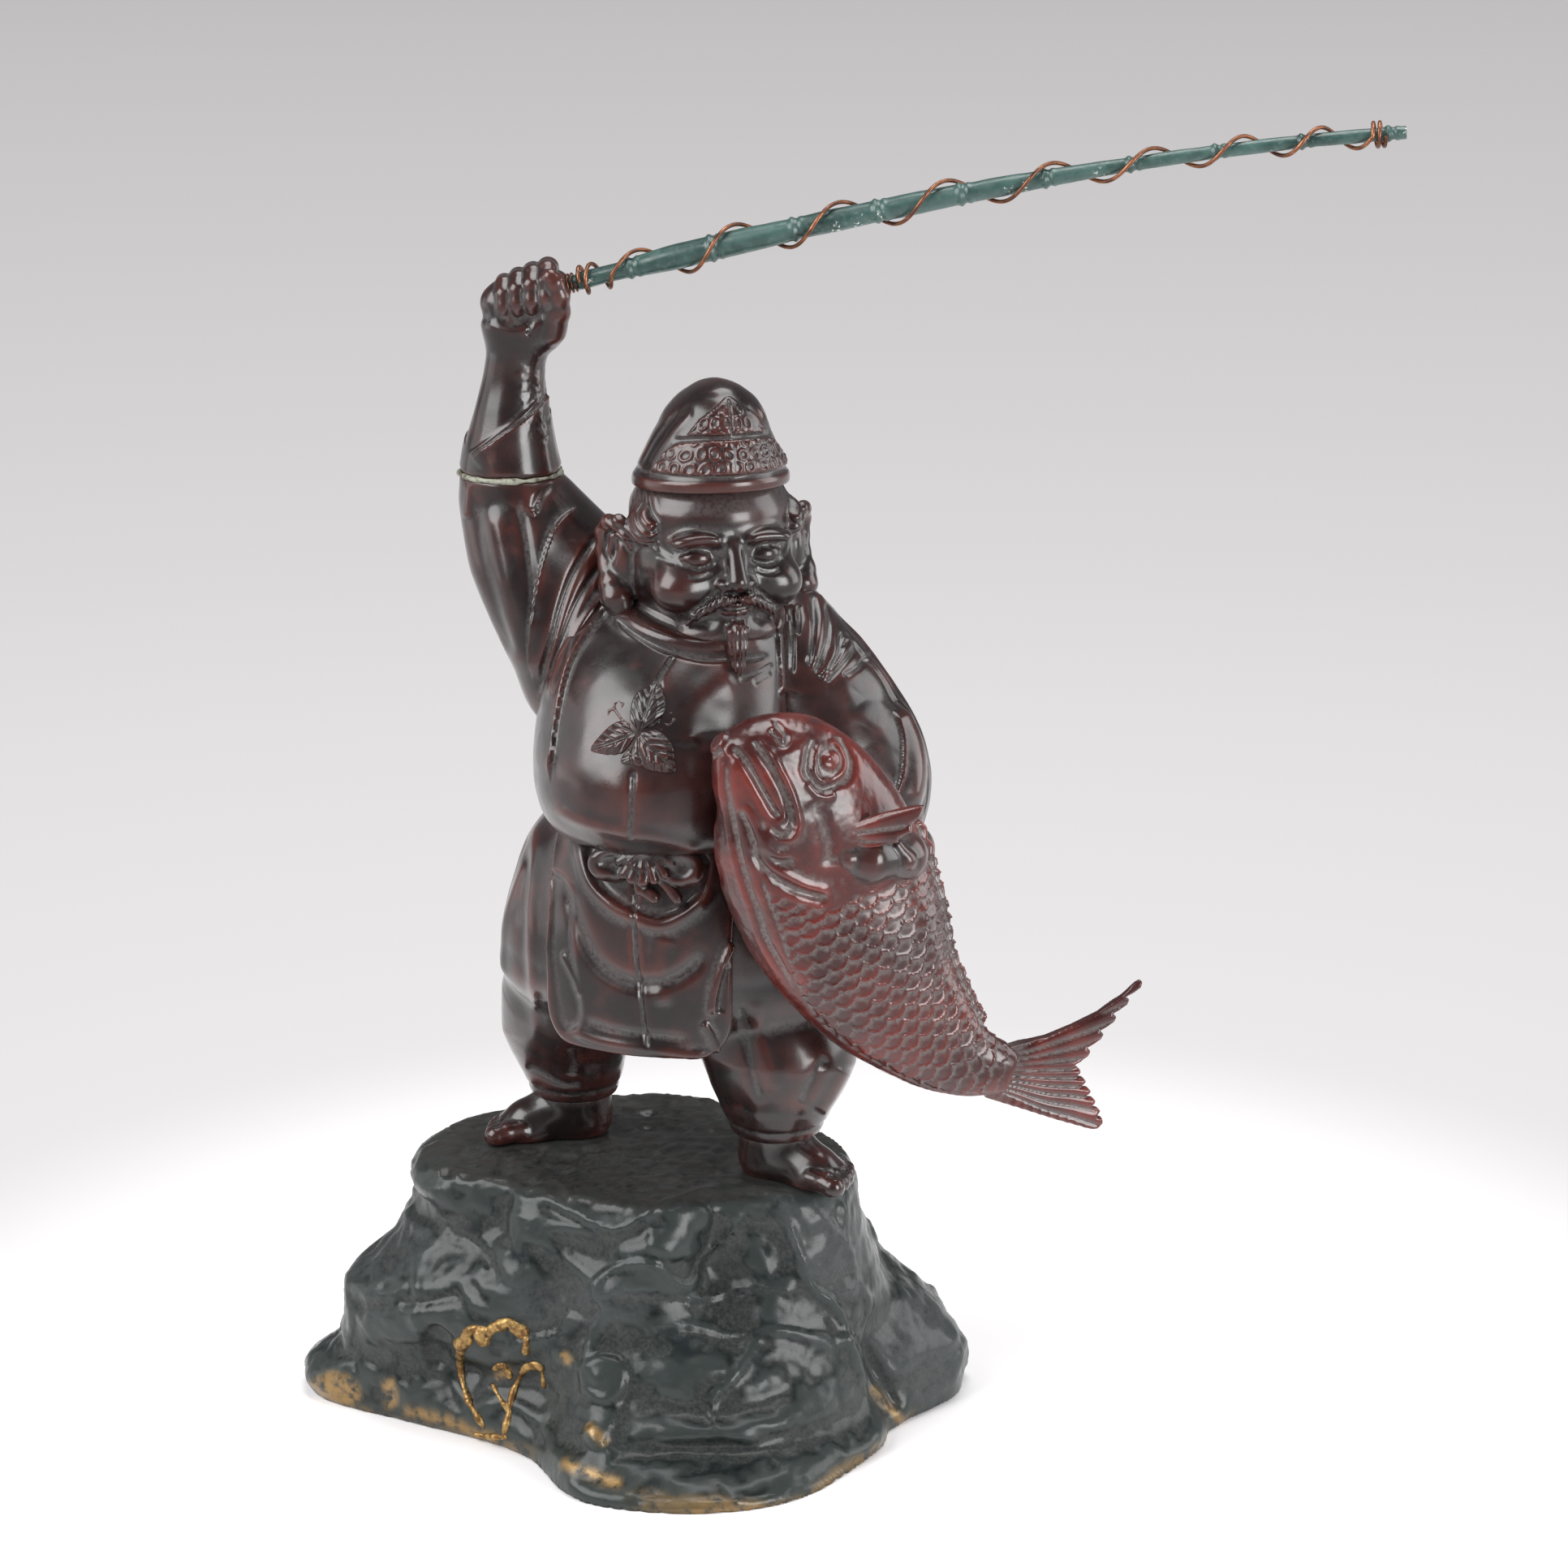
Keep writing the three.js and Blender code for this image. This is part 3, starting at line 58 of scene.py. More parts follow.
# Camera, in the design frame
PHOTO_SIZE = 1932
FOCAL_PIXELS = 5500.0
CAMERA_TILT = math.radians(16)
CAMERA_REACH = 1100.0
CAMERA_AIM = np.array([0.0, 0.0, 162.5])
CAMERA_BACK = np.array([0.0, -math.cos(CAMERA_TILT), math.sin(CAMERA_TILT)])
CAMERA_UP = np.array([0.0, math.sin(CAMERA_TILT), math.cos(CAMERA_TILT)])
CAMERA_PLACE = CAMERA_AIM + CAMERA_BACK * CAMERA_REACH
SENSOR_WIDTH = 36.0

# Shared heights and axes of the castings, as in the part
ROCK_TOP = 66.0
SOLE = 66.3
ELBOW_HEIGHT = 239.0
BODY_AXIS, BODY_TURN = (-26.0, 0.0), -14.0
HEAD_AXIS, HEAD_TURN = (-18.0, -6.0), 18.0
ELBOW_AXIS = (-66.7, 9.0)


def to_frame(points):
    """Design millimetres to metres in the row's frame."""
    return (np.asarray(points, float) + SHIFT) / 1000


def to_pixels(points):
    """Photograph pixels of design points."""
    away = points - CAMERA_AIM
    depth = CAMERA_REACH - away @ CAMERA_BACK
    across = PHOTO_SIZE / 2 + FOCAL_PIXELS * away[:, 0] / depth
    down = PHOTO_SIZE / 2 - FOCAL_PIXELS * (away @ CAMERA_UP) / depth
    return np.stack([across, down], 1)


def unit(rows):
    """Rows of vectors, each made one long."""
    return rows / np.maximum(np.linalg.norm(rows, axis=-1, keepdims=True), 1e-12)


def smooth_step(low, high, value):
    share = np.clip((value - low) / (high - low), 0, 1)
    return share * share * (3 - 2 * share)


# Noise

CELL_FACTORS, SEED_FACTOR, MIX_FACTOR = (73856093, 19349663, 83492791), 2654435761, 1274126177
LOW_BITS = 0xFFFF


def hashed(cells, seed):
    """A number from 0 to 1 that looks random for each whole-numbered cell."""
    x, y, z = (cells[:, axis].astype(np.int64) * factor for axis, factor in enumerate(CELL_FACTORS))
    mixed = x ^ y ^ z ^ (seed * SEED_FACTOR)
    mixed = (mixed ^ (mixed >> 13)) * MIX_FACTOR
    return ((mixed ^ (mixed >> 16)) & LOW_BITS) / LOW_BITS


def noise(points, size, seed=0):
    """Smooth noise from -1 to 1 with lumps of that size, a number or one for each axis."""
    scaled = points / np.asarray(size, float)
    cells = np.floor(scaled)
    part = scaled - cells
    part = part * part * (3 - 2 * part)
    total = 0
    for corner in np.ndindex(2, 2, 2):
        weight = np.prod(np.where(corner, part, 1 - part), axis=1)
        total = total + weight * hashed(cells + corner, seed)
    return total * 2 - 1


def layered(points, size, layers, seed=0, keep=0.5):
    """Noise with finer layers on it, each half as large as the one before and kept at that share."""
    total, strength, most = 0, 1.0, 0.0
    for layer in range(layers):
        total = total + strength * noise(points, np.asarray(size, float) / 2**layer, seed + layer)
        most += strength
        strength *= keep
    return total / most


# Fields: a distance to a surface in millimetres, negative inside


def smin(a, b, blend):
    """The union of two fields, rounded over the blend's millimetres."""
    share = np.clip(0.5 + 0.5 * (b - a) / blend, 0, 1)
    return b + (a - b) * share - blend * share * (1 - share)


def smax(a, b, blend):
    """What two fields share, rounded the same way."""
    return -smin(-a, -b, blend)


def ellipsoid(points, middle, radii):
    away = points - np.asarray(middle, float)
    radii = np.asarray(radii, float)
    near = np.linalg.norm(away / radii, axis=1)
    steep = np.linalg.norm(away / radii**2, axis=1)
    return near * (near - 1) / np.maximum(steep, 1e-6)


def cone(points, start, end, start_radius, end_radius):
    start, end = np.asarray(start, float), np.asarray(end, float)
    along = end - start
    share = np.clip((points - start) @ along / (along @ along), 0, 1)
    away = points - start - share[:, None] * along
    return np.linalg.norm(away, axis=1) - (start_radius + (end_radius - start_radius) * share)


def chain(points, knots, blend):
    """Round cones through rows of x, y, z and radius."""
    field = None
    for (*start, start_radius), (*end, end_radius) in zip(knots, knots[1:]):
        link = cone(points, start, end, start_radius, end_radius)
        field = link if field is None else smin(field, link, blend)
    return field


def lumps(points, field, forms):
    """Adds ellipsoids to a field, or cuts them where the blend is negative. Rows: middle, radii and blend."""
    for middle, radii, blend in forms:
        lump = ellipsoid(points, middle, radii)
        field = smin(field, lump, blend) if blend > 0 else smax(field, -lump, -blend)
    return field


class Table:
    """Columns smoothed through rows by a cubic in the first column."""

    def __init__(self, rows):
        rows = np.array(sorted(map(tuple, rows)), float)
        self.keys, self.values = rows[:, 0], rows[:, 1:]
        self.slopes = np.gradient(self.values, self.keys, axis=0)

    def __call__(self, key):
        key = np.clip(key, self.keys[0], self.keys[-1])
        at = np.clip(np.searchsorted(self.keys, key) - 1, 0, len(self.keys) - 2)
        span = self.keys[at + 1] - self.keys[at]
        t = ((key - self.keys[at]) / span)[:, None]
        a, b = self.values[at], self.values[at + 1]
        slope_a, slope_b = self.slopes[at] * span[:, None], self.slopes[at + 1] * span[:, None]
        bend = 3 * (b - a) - 2 * slope_a - slope_b
        return a + t * (slope_a + t * (bend + t * (2 * (a - b) + slope_a + slope_b)))


def facing(turn):
    """The way aside and the way ahead of a body turned by that many degrees."""
    angle = math.radians(turn)
    side = np.array([math.cos(angle), math.sin(angle), 0.0])
    ahead = np.array([math.sin(angle), -math.cos(angle), 0.0])
    return side, ahead


class Upright:
    """A body round an upright axis. Rows: height, half-width, front, back, shift across and shift ahead."""

    def __init__(self, axis, turn, rows, edge=2.0):
        self.axis = np.array([*axis, 0.0])
        self.side, self.ahead = facing(turn)
        self.table = Table([tuple(row) + (0,) * (6 - len(row)) for row in rows])
        self.low, self.high = self.table.keys[0], self.table.keys[-1]
        self.edge = edge

    def local(self, points):
        away = points - self.axis
        wide, front, back, across, forward = self.table(points[:, 2]).T
        x = away @ self.side - across
        y = away @ self.ahead - forward
        return x, y, wide, np.where(y > 0, front, back)

    def turn(self, points):
        """Degrees round the body from its front, positive to its left."""
        x, y, wide, deep = self.local(points)
        return np.degrees(np.arctan2(x / wide, y / deep))

    def __call__(self, points):
        x, y, wide, deep = self.local(points)
        share = np.sqrt((x / wide) ** 2 + (y / deep) ** 2) + 1e-6
        reach = np.sqrt(x * x + y * y)
        wall = reach - reach / share
        ends = np.maximum(self.low - points[:, 2], points[:, 2] - self.high)
        return smax(wall, ends, self.edge)


# Meshes from fields

BLOCK = 4  # Grid steps along a block that is looked at whole before its steps are worked out
BLOCK_REACH, STEP_REACH = 1.1, 1.5
ROUNDS_ONTO_SURFACE, LEAST_SLOPE = 2, 0.05


def surface_of(field, low, high, step):
    """Points and four-sided faces of the field's zero surface, drawn onto it."""
    low, high = np.asarray(low, float), np.asarray(high, float)
    blocks = np.ceil((high - low) / (step * BLOCK)).astype(int)
    centres = np.stack(np.meshgrid(*[np.arange(n) for n in blocks], indexing="ij"), -1).reshape(-1, 3)
    values = evaluate(field, low + (centres + 0.5 - 0.5 / BLOCK) * step * BLOCK).reshape(blocks)
    near = np.abs(values) < step * BLOCK * BLOCK_REACH + step * STEP_REACH
    for axis in range(3):
        values = np.repeat(values, BLOCK, axis)
        near = np.repeat(near, BLOCK, axis)
    values[near] = evaluate(field, low + np.argwhere(near) * step)
    points, faces = surface_nets(values)
    points = low + points * step
    for _ in range(ROUNDS_ONTO_SURFACE):
        value, slope = value_and_slope(field, points)
        steep = np.maximum((slope**2).sum(1), LEAST_SLOPE)
        move = -(value / steep)[:, None] * slope
        length = np.linalg.norm(move, axis=1, keepdims=True)
        points = points + move * np.minimum(1, step / np.maximum(length, 1e-9))
    return points, faces


def evaluate(field, points, chunk=300000):
    """The field's values, worked out for so many points at a time."""
    parts = [field(points[start:start + chunk]) for start in range(0, len(points), chunk)]
    return np.concatenate(parts)


def value_and_slope(field, points, reach=0.12):
    """A field's values and slopes from the corners of small tetrahedra round the points."""
    corners = np.array([(1, -1, -1), (-1, -1, 1), (-1, 1, -1), (1, 1, 1)], float)
    values = [evaluate(field, points + corner * reach) for corner in corners]
    slope = sum(value[:, None] * corner for value, corner in zip(values, corners)) / (4 * reach)
    return sum(values) / 4, slope


def surface_nets(values):
    """A point in each grid cell that the surface crosses, and a face over each grid edge that it crosses."""
    sign = values < 0
    corners = list(np.ndindex(2, 2, 2))
    shape = np.array(sign.shape)
    total = np.zeros(tuple(shape - 1), np.int8)
    for corner in corners:
        total += sign[tuple(slice(c, n - 1 + c) for c, n in zip(corner, shape))]
    active = np.argwhere((total > 0) & (total < len(corners)))
    number = np.full(tuple(shape - 1), -1, np.int32)
    number[tuple(active.T)] = np.arange(len(active))
    sums, counts = np.zeros((len(active), 3)), np.zeros(len(active))
    for a in corners:
        for axis in range(3):
            if a[axis]:
                continue
            b = tuple(1 if i == axis else a[i] for i in range(3))
            first = values[tuple((active + a).T)]
            second = values[tuple((active + b).T)]
            cross = (first < 0) != (second < 0)
            share = first / np.where(cross, first - second, 1)
            spot = active + np.array(a, float)
            spot[:, axis] += share
            sums[cross] += spot[cross]
            counts += cross
    points = sums / counts[:, None]
    faces = []
    for axis in range(3):
        u, v = (axis + 1) % 3, (axis + 2) % 3
        first = tuple(slice(int(i != axis), n - 1) for i, n in enumerate(shape))
        second = tuple(slice(1, n - int(i != axis)) for i, n in enumerate(shape))
        changed = np.argwhere(sign[first] != sign[second])
        changed[:, [u, v]] += 1
        step_u, step_v = np.eye(3, dtype=int)[u], np.eye(3, dtype=int)[v]
        around = [changed - step_u - step_v, changed - step_v, changed, changed - step_u]
        quads = np.stack([number[tuple(cell.T)] for cell in around], 1)
        starts_inside = sign[tuple(changed.T)]
        quads[~starts_inside] = quads[~starts_inside][:, ::-1]
        faces.append(quads)
    return points, np.concatenate(faces)


class Neighbours:
    """The mean over each point's neighbours along the faces' edges."""

    def __init__(self, count, faces):
        edges = np.concatenate([faces[:, [i, (i + 1) % 4]] for i in range(4)])
        self.count = count
        self.start = np.concatenate([edges[:, 0], edges[:, 1]])
        self.end = np.concatenate([edges[:, 1], edges[:, 0]])
        self.degree = np.maximum(np.bincount(self.start, minlength=count), 1)

    def mean(self, values):
        if values.ndim == 1:
            return np.bincount(self.start, values[self.end], self.count) / self.degree
        return np.stack([self.mean(column) for column in values.T], 1)


def normals_of(points, faces):
    a, b, c, d = (points[faces[:, i]] for i in range(4))
    across = np.cross(c - a, d - b)
    total = np.stack([
        sum(np.bincount(faces[:, corner], across[:, axis], len(points)) for corner in range(4))
        for axis in range(3)
    ], 1)
    return unit(total)


# Marks: strokes and areas that raise or lower a surface along its normals.
# A mark's row: its kind, width and height, then the places that it runs through, two numbers each


def line_distance(spots, line):
    """Distance, signed side and share along an open line of two-dimensional points."""
    best = np.full(len(spots), np.inf)
    side, share = np.zeros(len(spots)), np.zeros(len(spots))
    lengths = np.linalg.norm(np.diff(line, axis=0), axis=1)
    begun = np.concatenate([[0], np.cumsum(lengths)])
    for start, end, length, before in zip(line, line[1:], lengths, begun):
        along = end - start
        t = np.clip((spots - start) @ along / (along @ along), 0, 1)
        away = spots - start - t[:, None] * along
        reach = np.linalg.norm(away, axis=1)
        closer = reach < best
        best[closer] = reach[closer]
        turned = along[0] * away[:, 1] - along[1] * away[:, 0]
        side[closer] = np.sign(turned)[closer]
        share[closer] = ((before + t * length) / begun[-1])[closer]
    return best, side, share


def smooth_line(points, each=6):
    """A smooth line through the given points, in so many steps between each two."""
    points = np.array(points, float)
    if len(points) < 3:
        return points
    keys = np.arange(len(points))
    fine = np.linspace(0, len(points) - 1, (len(points) - 1) * each + 1)
    return Table(np.column_stack([keys, points]))(fine)


FADE = 0.12  # Share of a line over which its ends rise
EDGE_BLUR = 0.8


def mark(spots, kind, width, height, *places, scale=1):
    """How far one mark raises each spot. Kinds: line, edge (raised on the right of its way) and area."""
    raised = np.zeros(len(spots))
    line = smooth_line(np.reshape(places, (-1, 2)) * scale, 4 if kind == "area" else 6)
    if kind == "area":
        line = np.concatenate([line, line[:1]])
    reach = width * (6 if kind == "edge" else 3)
    inside = ((spots > line.min(0) - reach) & (spots < line.max(0) + reach)).all(1)
    if not inside.any():
        return raised
    near = spots[inside]
    distance, side, share = line_distance(near, line)
    if kind == "area":
        within = inside_polygon(near, line)
        signed = np.where(within, distance, -distance)
        raised[inside] = height * smooth_step(-width / 2, width / 2, signed)
        return raised
    ends = smooth_step(0, FADE, share) * smooth_step(0, FADE, 1 - share)
    if kind == "line":
        raised[inside] = height * np.exp(-((distance / width) ** 2)) * ends
    else:
        signed = distance * side
        rise = smooth_step(-EDGE_BLUR, EDGE_BLUR, signed) * np.exp(-np.maximum(signed, 0) / (width * 2))
        raised[inside] = height * rise * ends
    return raised


def inside_polygon(spots, line):
    odd = np.zeros(len(spots), bool)
    for (x0, y0), (x1, y1) in zip(line, line[1:]):
        if y0 == y1:
            continue
        crosses = (spots[:, 1] > min(y0, y1)) & (spots[:, 1] <= max(y0, y1))
        at = x0 + (spots[:, 1] - y0) * (x1 - x0) / (y1 - y0)
        odd ^= crosses & (spots[:, 0] < at)
    return odd


def photo_marks(points, normals, marks):
    """Height of marks given in photograph pixels, on the surfaces that face the camera."""
    spots = to_pixels(points)
    ray = unit(CAMERA_PLACE - points)
    seen = smooth_step(0.02, 0.3, (normals * ray).sum(1))
    shown = seen > 0
    total = np.zeros(len(points))
    total[shown] = sum(mark(spots[shown], *row) for row in marks)
    return total * seen


MM_PER_DEGREE = np.array([0.5, 1.0])


def wrap_marks(points, body, marks):
    """Height of marks given by degrees round an upright body and height."""
    spots = np.stack([body.turn(points), points[:, 2]], 1) * MM_PER_DEGREE
    return sum(mark(spots, *row, scale=MM_PER_DEGREE) for row in marks)


# Pieces


def build_mesh(name, points, groups, attributes):
    """A smooth mesh from groups of faces, each group an array with as many columns as its faces have corners."""
    mesh = bpy.data.meshes.new(name)
    mesh.vertices.add(len(points))
    mesh.vertices.foreach_set("co", to_frame(points).astype(np.float32).ravel())
    corners = np.concatenate([group.ravel() for group in groups]).astype(np.int32)
    sizes = np.concatenate([np.full(len(group), group.shape[1]) for group in groups])
    mesh.loops.add(len(corners))
    mesh.loops.foreach_set("vertex_index", corners)
    mesh.polygons.add(len(sizes))
    mesh.polygons.foreach_set("loop_start", (np.cumsum(sizes) - sizes).astype(np.int32))
    mesh.polygons.foreach_set("use_smooth", np.ones(len(sizes), bool))
    mesh.update(calc_edges=True)
    for key, values in attributes.items():
        mesh.attributes.new(key, "FLOAT", "POINT").data.foreach_set("value", values.astype(np.float32))
    piece = bpy.data.objects.new(name, mesh)
    bpy.context.scene.collection.objects.link(piece)
    return piece


# Rounds of smoothing, and how far below the smoothed surface counts as fully hollow after them
WEAR_SCALES = ((3, 0.05), (15, 0.22))
PROUD_SHARE = 0.8
DUST_SHARE, DUST_FROM, DUST_FULL = 0.75, 2.6, 0.2


def wear_of(points, faces):
    """Two shares for the finish: how hollow and how proud each point lies."""
    around = Neighbours(len(points), faces)
    normals = normals_of(points, faces)
    smooth, depth = points, 0
    for rounds, full in WEAR_SCALES:
        for _ in range(rounds):
            smooth = around.mean(smooth)
        depth = depth + ((smooth - points) * normals).sum(1) / full
    for _ in range(2):
        depth = around.mean(depth)
    return {"hollow": np.clip(depth, 0, 1), "proud": np.clip(-depth * PROUD_SHARE, 0, 1)}


def casting(name, node, field, low, high, step, relief=None, near=(), shares=None, slot="figure_bronze",
            material=None):
    """Meshes a field, adds its relief and stands it in for a node; dust gathers near the given fields."""
    points, faces = surface_of(field, low, high, step)
    normals = normals_of(points, faces)
    if relief is not None:
        points = points + normals * relief(points, normals)[:, None]
    attributes = wear_of(points, faces)
    for other in near:
        dust = DUST_SHARE * smooth_step(DUST_FROM, DUST_FULL, evaluate(other, points))
        attributes["hollow"] = np.maximum(attributes["hollow"], dust)
    for key, share in (shares(points, normals) if shares is not None else {}).items():
        attributes[key] = np.maximum(attributes.get(key, 0.0), share)
    place(build_mesh(name, points, [faces], attributes), node, "figure", slot, material or BRONZE)


def place(piece, node, body, slot, material):
    """Says what a piece is made of, what it moves with and, if it stands in for one, the node."""
    piece.data.materials.append(material)
    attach(piece, body)
    if node:
        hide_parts(node)


# Materials

NOISE_ROUGHNESS = 0.55
MIX_FIRST, MIX_SECOND, MIX_RESULT = 6, 7, 2  # A Mix node's colour sockets


class Finish:
    """A node material with one main shader, and short calls for the nodes that feed it."""

    def __init__(self, name, roughness=0.4, metallic=0.0, coat=0.0, coat_roughness=0.2, specular=0.5):
        self.material = bpy.data.materials.new(name)
        self.material.use_nodes = True
        self.nodes = self.material.node_tree.nodes
        self.links = self.material.node_tree.links
        self.shader = self.nodes["Principled BSDF"]
        for socket, value in (("Roughness", roughness), ("Metallic", metallic), ("Coat Weight", coat),
                              ("Coat Roughness", coat_roughness), ("Specular IOR Level", specular)):
            self.shader.inputs[socket].default_value = value
        self.place = self.nodes.new("ShaderNodeTexCoord").outputs["Object"]

    def feed(self, value, socket):
        """Links another node's output to a socket, or sets a colour or a number on it."""
        if isinstance(value, bpy.types.NodeSocket):
            self.links.new(value, socket)
        elif isinstance(value, tuple):
            socket.default_value = (*value, 1.0)
        else:
            socket.default_value = value

    def noise(self, size, detail, stretch=(1, 1, 1)):
        """Noise with lumps of about that many millimetres."""
        scaled = self.nodes.new("ShaderNodeMapping")
        scaled.inputs["Scale"].default_value = tuple(1000 / size / s for s in stretch)
        self.links.new(self.place, scaled.inputs["Vector"])
        texture = self.nodes.new("ShaderNodeTexNoise")
        for socket, value in (("Scale", 1.0), ("Detail", detail), ("Roughness", NOISE_ROUGHNESS)):
            texture.inputs[socket].default_value = value
        self.links.new(scaled.outputs["Vector"], texture.inputs["Vector"])
        return texture.outputs["Fac"]

    def patches(self, size, detail, low, high, start=0.0, end=1.0):
        """Noise of that size and detail from low to high, spread from start to end."""
        return self.spread(self.noise(size, detail), low, high, start, end)

    def attribute(self, name):
        node = self.nodes.new("ShaderNodeAttribute")
        node.attribute_name = name
        return node.outputs["Fac"]

    def spread(self, value, low, high, start=0.0, end=1.0):
        """The value from low to high, spread from start to end."""
        node = self.nodes.new("ShaderNodeMapRange")
        node.interpolation_type = "SMOOTHSTEP"
        self.feed(value, node.inputs["Value"])
        for socket, number in zip(("From Min", "From Max", "To Min", "To Max"), (low, high, start, end)):
            node.inputs[socket].default_value = number
        return node.outputs["Result"]

    def times(self, a, b):
        return self.math("MULTIPLY", a, b)

    def math(self, kind, a, b):
        node = self.nodes.new("ShaderNodeMath")
        node.operation = kind
        self.feed(a, node.inputs[0])
        self.feed(b, node.inputs[1])
        return node.outputs[0]

    def mix(self, share, a, b):
        node = self.nodes.new("ShaderNodeMix")
        node.data_type = "RGBA"
        self.feed(share, node.inputs["Factor"])
        self.feed(a, node.inputs[MIX_FIRST])
        self.feed(b, node.inputs[MIX_SECOND])
        return node.outputs[MIX_RESULT]

    def colour(self, value):
        self.feed(value, self.shader.inputs["Base Color"])

    def roughness(self, value):
        self.feed(value, self.shader.inputs["Roughness"])

    def metallic(self, value):
        self.feed(value, self.shader.inputs["Metallic"])

    def bump(self, *layers):
        """Height layers, each with its depth in millimetres."""
        below = None
        for height, depth in layers:
            node = self.nodes.new("ShaderNodeBump")
            node.inputs["Strength"].default_value = 1.0
            node.inputs["Distance"].default_value = depth / 1000
            self.feed(height, node.inputs["Height"])
            if below is not None:
                self.links.new(below, node.inputs["Normal"])
            below = node.outputs["Normal"]
        self.links.new(below, self.shader.inputs["Normal"])


def patina(name, dark, body, worn, dust, roughness=0.3, dust_amount=0.6, grain=0.03):
    """A lacquered cast-bronze patina: dark ground, warmer wear on the high spots, dust in the hollows."""
    finish = Finish(name, coat=0.8, coat_roughness=0.19, specular=0.3)
    clouds = finish.noise(18, 3)
    ground = finish.mix(finish.spread(clouds, 0.38, 0.66), dark, body)
    proud = finish.times(finish.attribute("proud"), finish.spread(clouds, 0.35, 0.65, 0.1, 0.75))
    rubbed = finish.math("MAXIMUM", proud, finish.patches(9, 4, 0.55, 0.75, 0.0, 0.6))
    ground = finish.mix(rubbed, ground, worn)
    specks = finish.patches(0.9, 4, 0.3, 0.65, 0.25, 1.0)
    dusty = finish.times(finish.times(finish.attribute("hollow"), specks), dust_amount)
    finish.colour(finish.mix(dusty, ground, dust))
    gloss = finish.patches(5, 4, 0.3, 0.7, roughness - 0.06, roughness + 0.08)
    finish.roughness(finish.math("ADD", gloss, finish.times(dusty, 0.5)))
    finish.bump((finish.noise(3.4, 3), grain * 2.5), (finish.noise(0.6, 3), grain))
    return finish.material


def rock_finish():
    """A green-black patina, grey where it is proud, on the level top, sandy or dusty, and worn to the brass."""
    finish = Finish("rock_bronze", coat=0.5, coat_roughness=0.25, specular=0.1)
    sandy = finish.times(finish.attribute("sandy"), finish.patches(1.2, 4, 0.3, 0.7, 0.4, 1.0))
    specks = finish.patches(0.9, 4, 0.3, 0.7, 0.4, 1.0)
    dusty = finish.times(finish.times(finish.attribute("hollow"), specks), 0.6)
    gilt = finish.times(finish.attribute("gilt"), finish.patches(3.5, 5, 0.32, 0.58))
    ground = (0.0018, 0.0046, 0.0042)
    for share, colour in (
        (finish.patches(14, 4, 0.35, 0.65), (0.0060, 0.0112, 0.0102)),
        (finish.patches(5, 4, 0.5, 0.75, 0.0, 0.5), (0.009, 0.012, 0.020)),
        (finish.times(finish.attribute("proud"), 0.6), (0.042, 0.051, 0.048)),
        (finish.times(finish.attribute("top"), finish.patches(6, 4, 0.3, 0.7, 0.3, 0.9)), (0.034, 0.031, 0.028)),
        (sandy, (0.052, 0.056, 0.057)), (dusty, (0.058, 0.062, 0.058)), (gilt, (0.30, 0.19, 0.075)),
    ):
        ground = finish.mix(share, ground, colour)
    finish.colour(ground)
    finish.metallic(finish.times(gilt, 0.85))
    dull = finish.times(finish.math("MAXIMUM", dusty, sandy), 0.4)
    finish.roughness(finish.math("ADD", finish.patches(5, 5, 0.3, 0.7, 0.28, 0.5), dull))
    grains = finish.times(finish.noise(0.9, 3), finish.math("ADD", sandy, 0.2))
    finish.bump((finish.noise(3, 4), 0.3), (grains, 0.28))
    return finish.material


def rod_finish():
    """Green paint in several tones, with the pale ground showing where it has chipped."""
    finish = Finish("green_paint", coat=0.3, coat_roughness=0.25)
    ground = finish.mix(finish.patches(9, 4, 0.35, 0.65), (0.016, 0.045, 0.039), (0.042, 0.092, 0.081))
    ground = finish.mix(finish.patches(1.4, 4, 0.5, 0.75, 0.0, 0.5), ground, (0.075, 0.140, 0.127))
    chipped = finish.times(finish.attribute("chipped"), finish.patches(0.9, 4, 0.58, 0.63))
    finish.colour(finish.mix(chipped, ground, (0.55, 0.57, 0.52)))
    finish.roughness(finish.patches(2.5, 4, 0.3, 0.7, 0.28, 0.5))
    finish.bump((finish.noise(1.5, 4, (3, 1, 1)), 0.09), (finish.times(chipped, -1.0), 0.05))
    return finish.material


def bare_metal(name, metallic, tones, bright, dull, gloss, grain, depth, hollow_tone=None):
    """Metal in two tones. Tones and gloss are patches, grain is a noise with its depth, and a further tone, where
    given, lies in the hollows.
    """
    finish = Finish(name, metallic=metallic)
    ground = finish.mix(finish.patches(*tones), bright, dull)
    if hollow_tone:
        ground = finish.mix(finish.times(finish.attribute("hollow"), 0.9), ground, hollow_tone)
    finish.colour(ground)
    size, glossy, matt = gloss
    finish.roughness(finish.patches(size, 4, 0.3, 0.7, glossy, matt))
    finish.bump((finish.noise(*grain), depth))
    return finish.material


BRONZE = patina("brown_bronze", (0.0065, 0.0036, 0.0038), (0.019, 0.0084, 0.0082), (0.070, 0.016, 0.011),
                (0.085, 0.074, 0.072))
FISH = patina("oxblood_bronze", (0.030, 0.0058, 0.0056), (0.070, 0.0100, 0.0080), (0.145, 0.018, 0.011),
              (0.13, 0.112, 0.105), 0.28, 0.85)
ROCK, GREEN = rock_finish(), rod_finish()
GILT = bare_metal("gilt_relief", 0.8, (2.0, 5, 0.4, 0.62), (0.42, 0.27, 0.10), (0.16, 0.085, 0.03),
                  (0.8, 0.32, 0.6), (0.9, 4), 0.12, (0.02, 0.022, 0.018))
BRASS = bare_metal("brass_fixings", 0.9, (3, 5, 0.35, 0.7), (0.34, 0.22, 0.08), (0.13, 0.085, 0.04),
                   (1.2, 0.28, 0.6), (0.6, 3), 0.03)
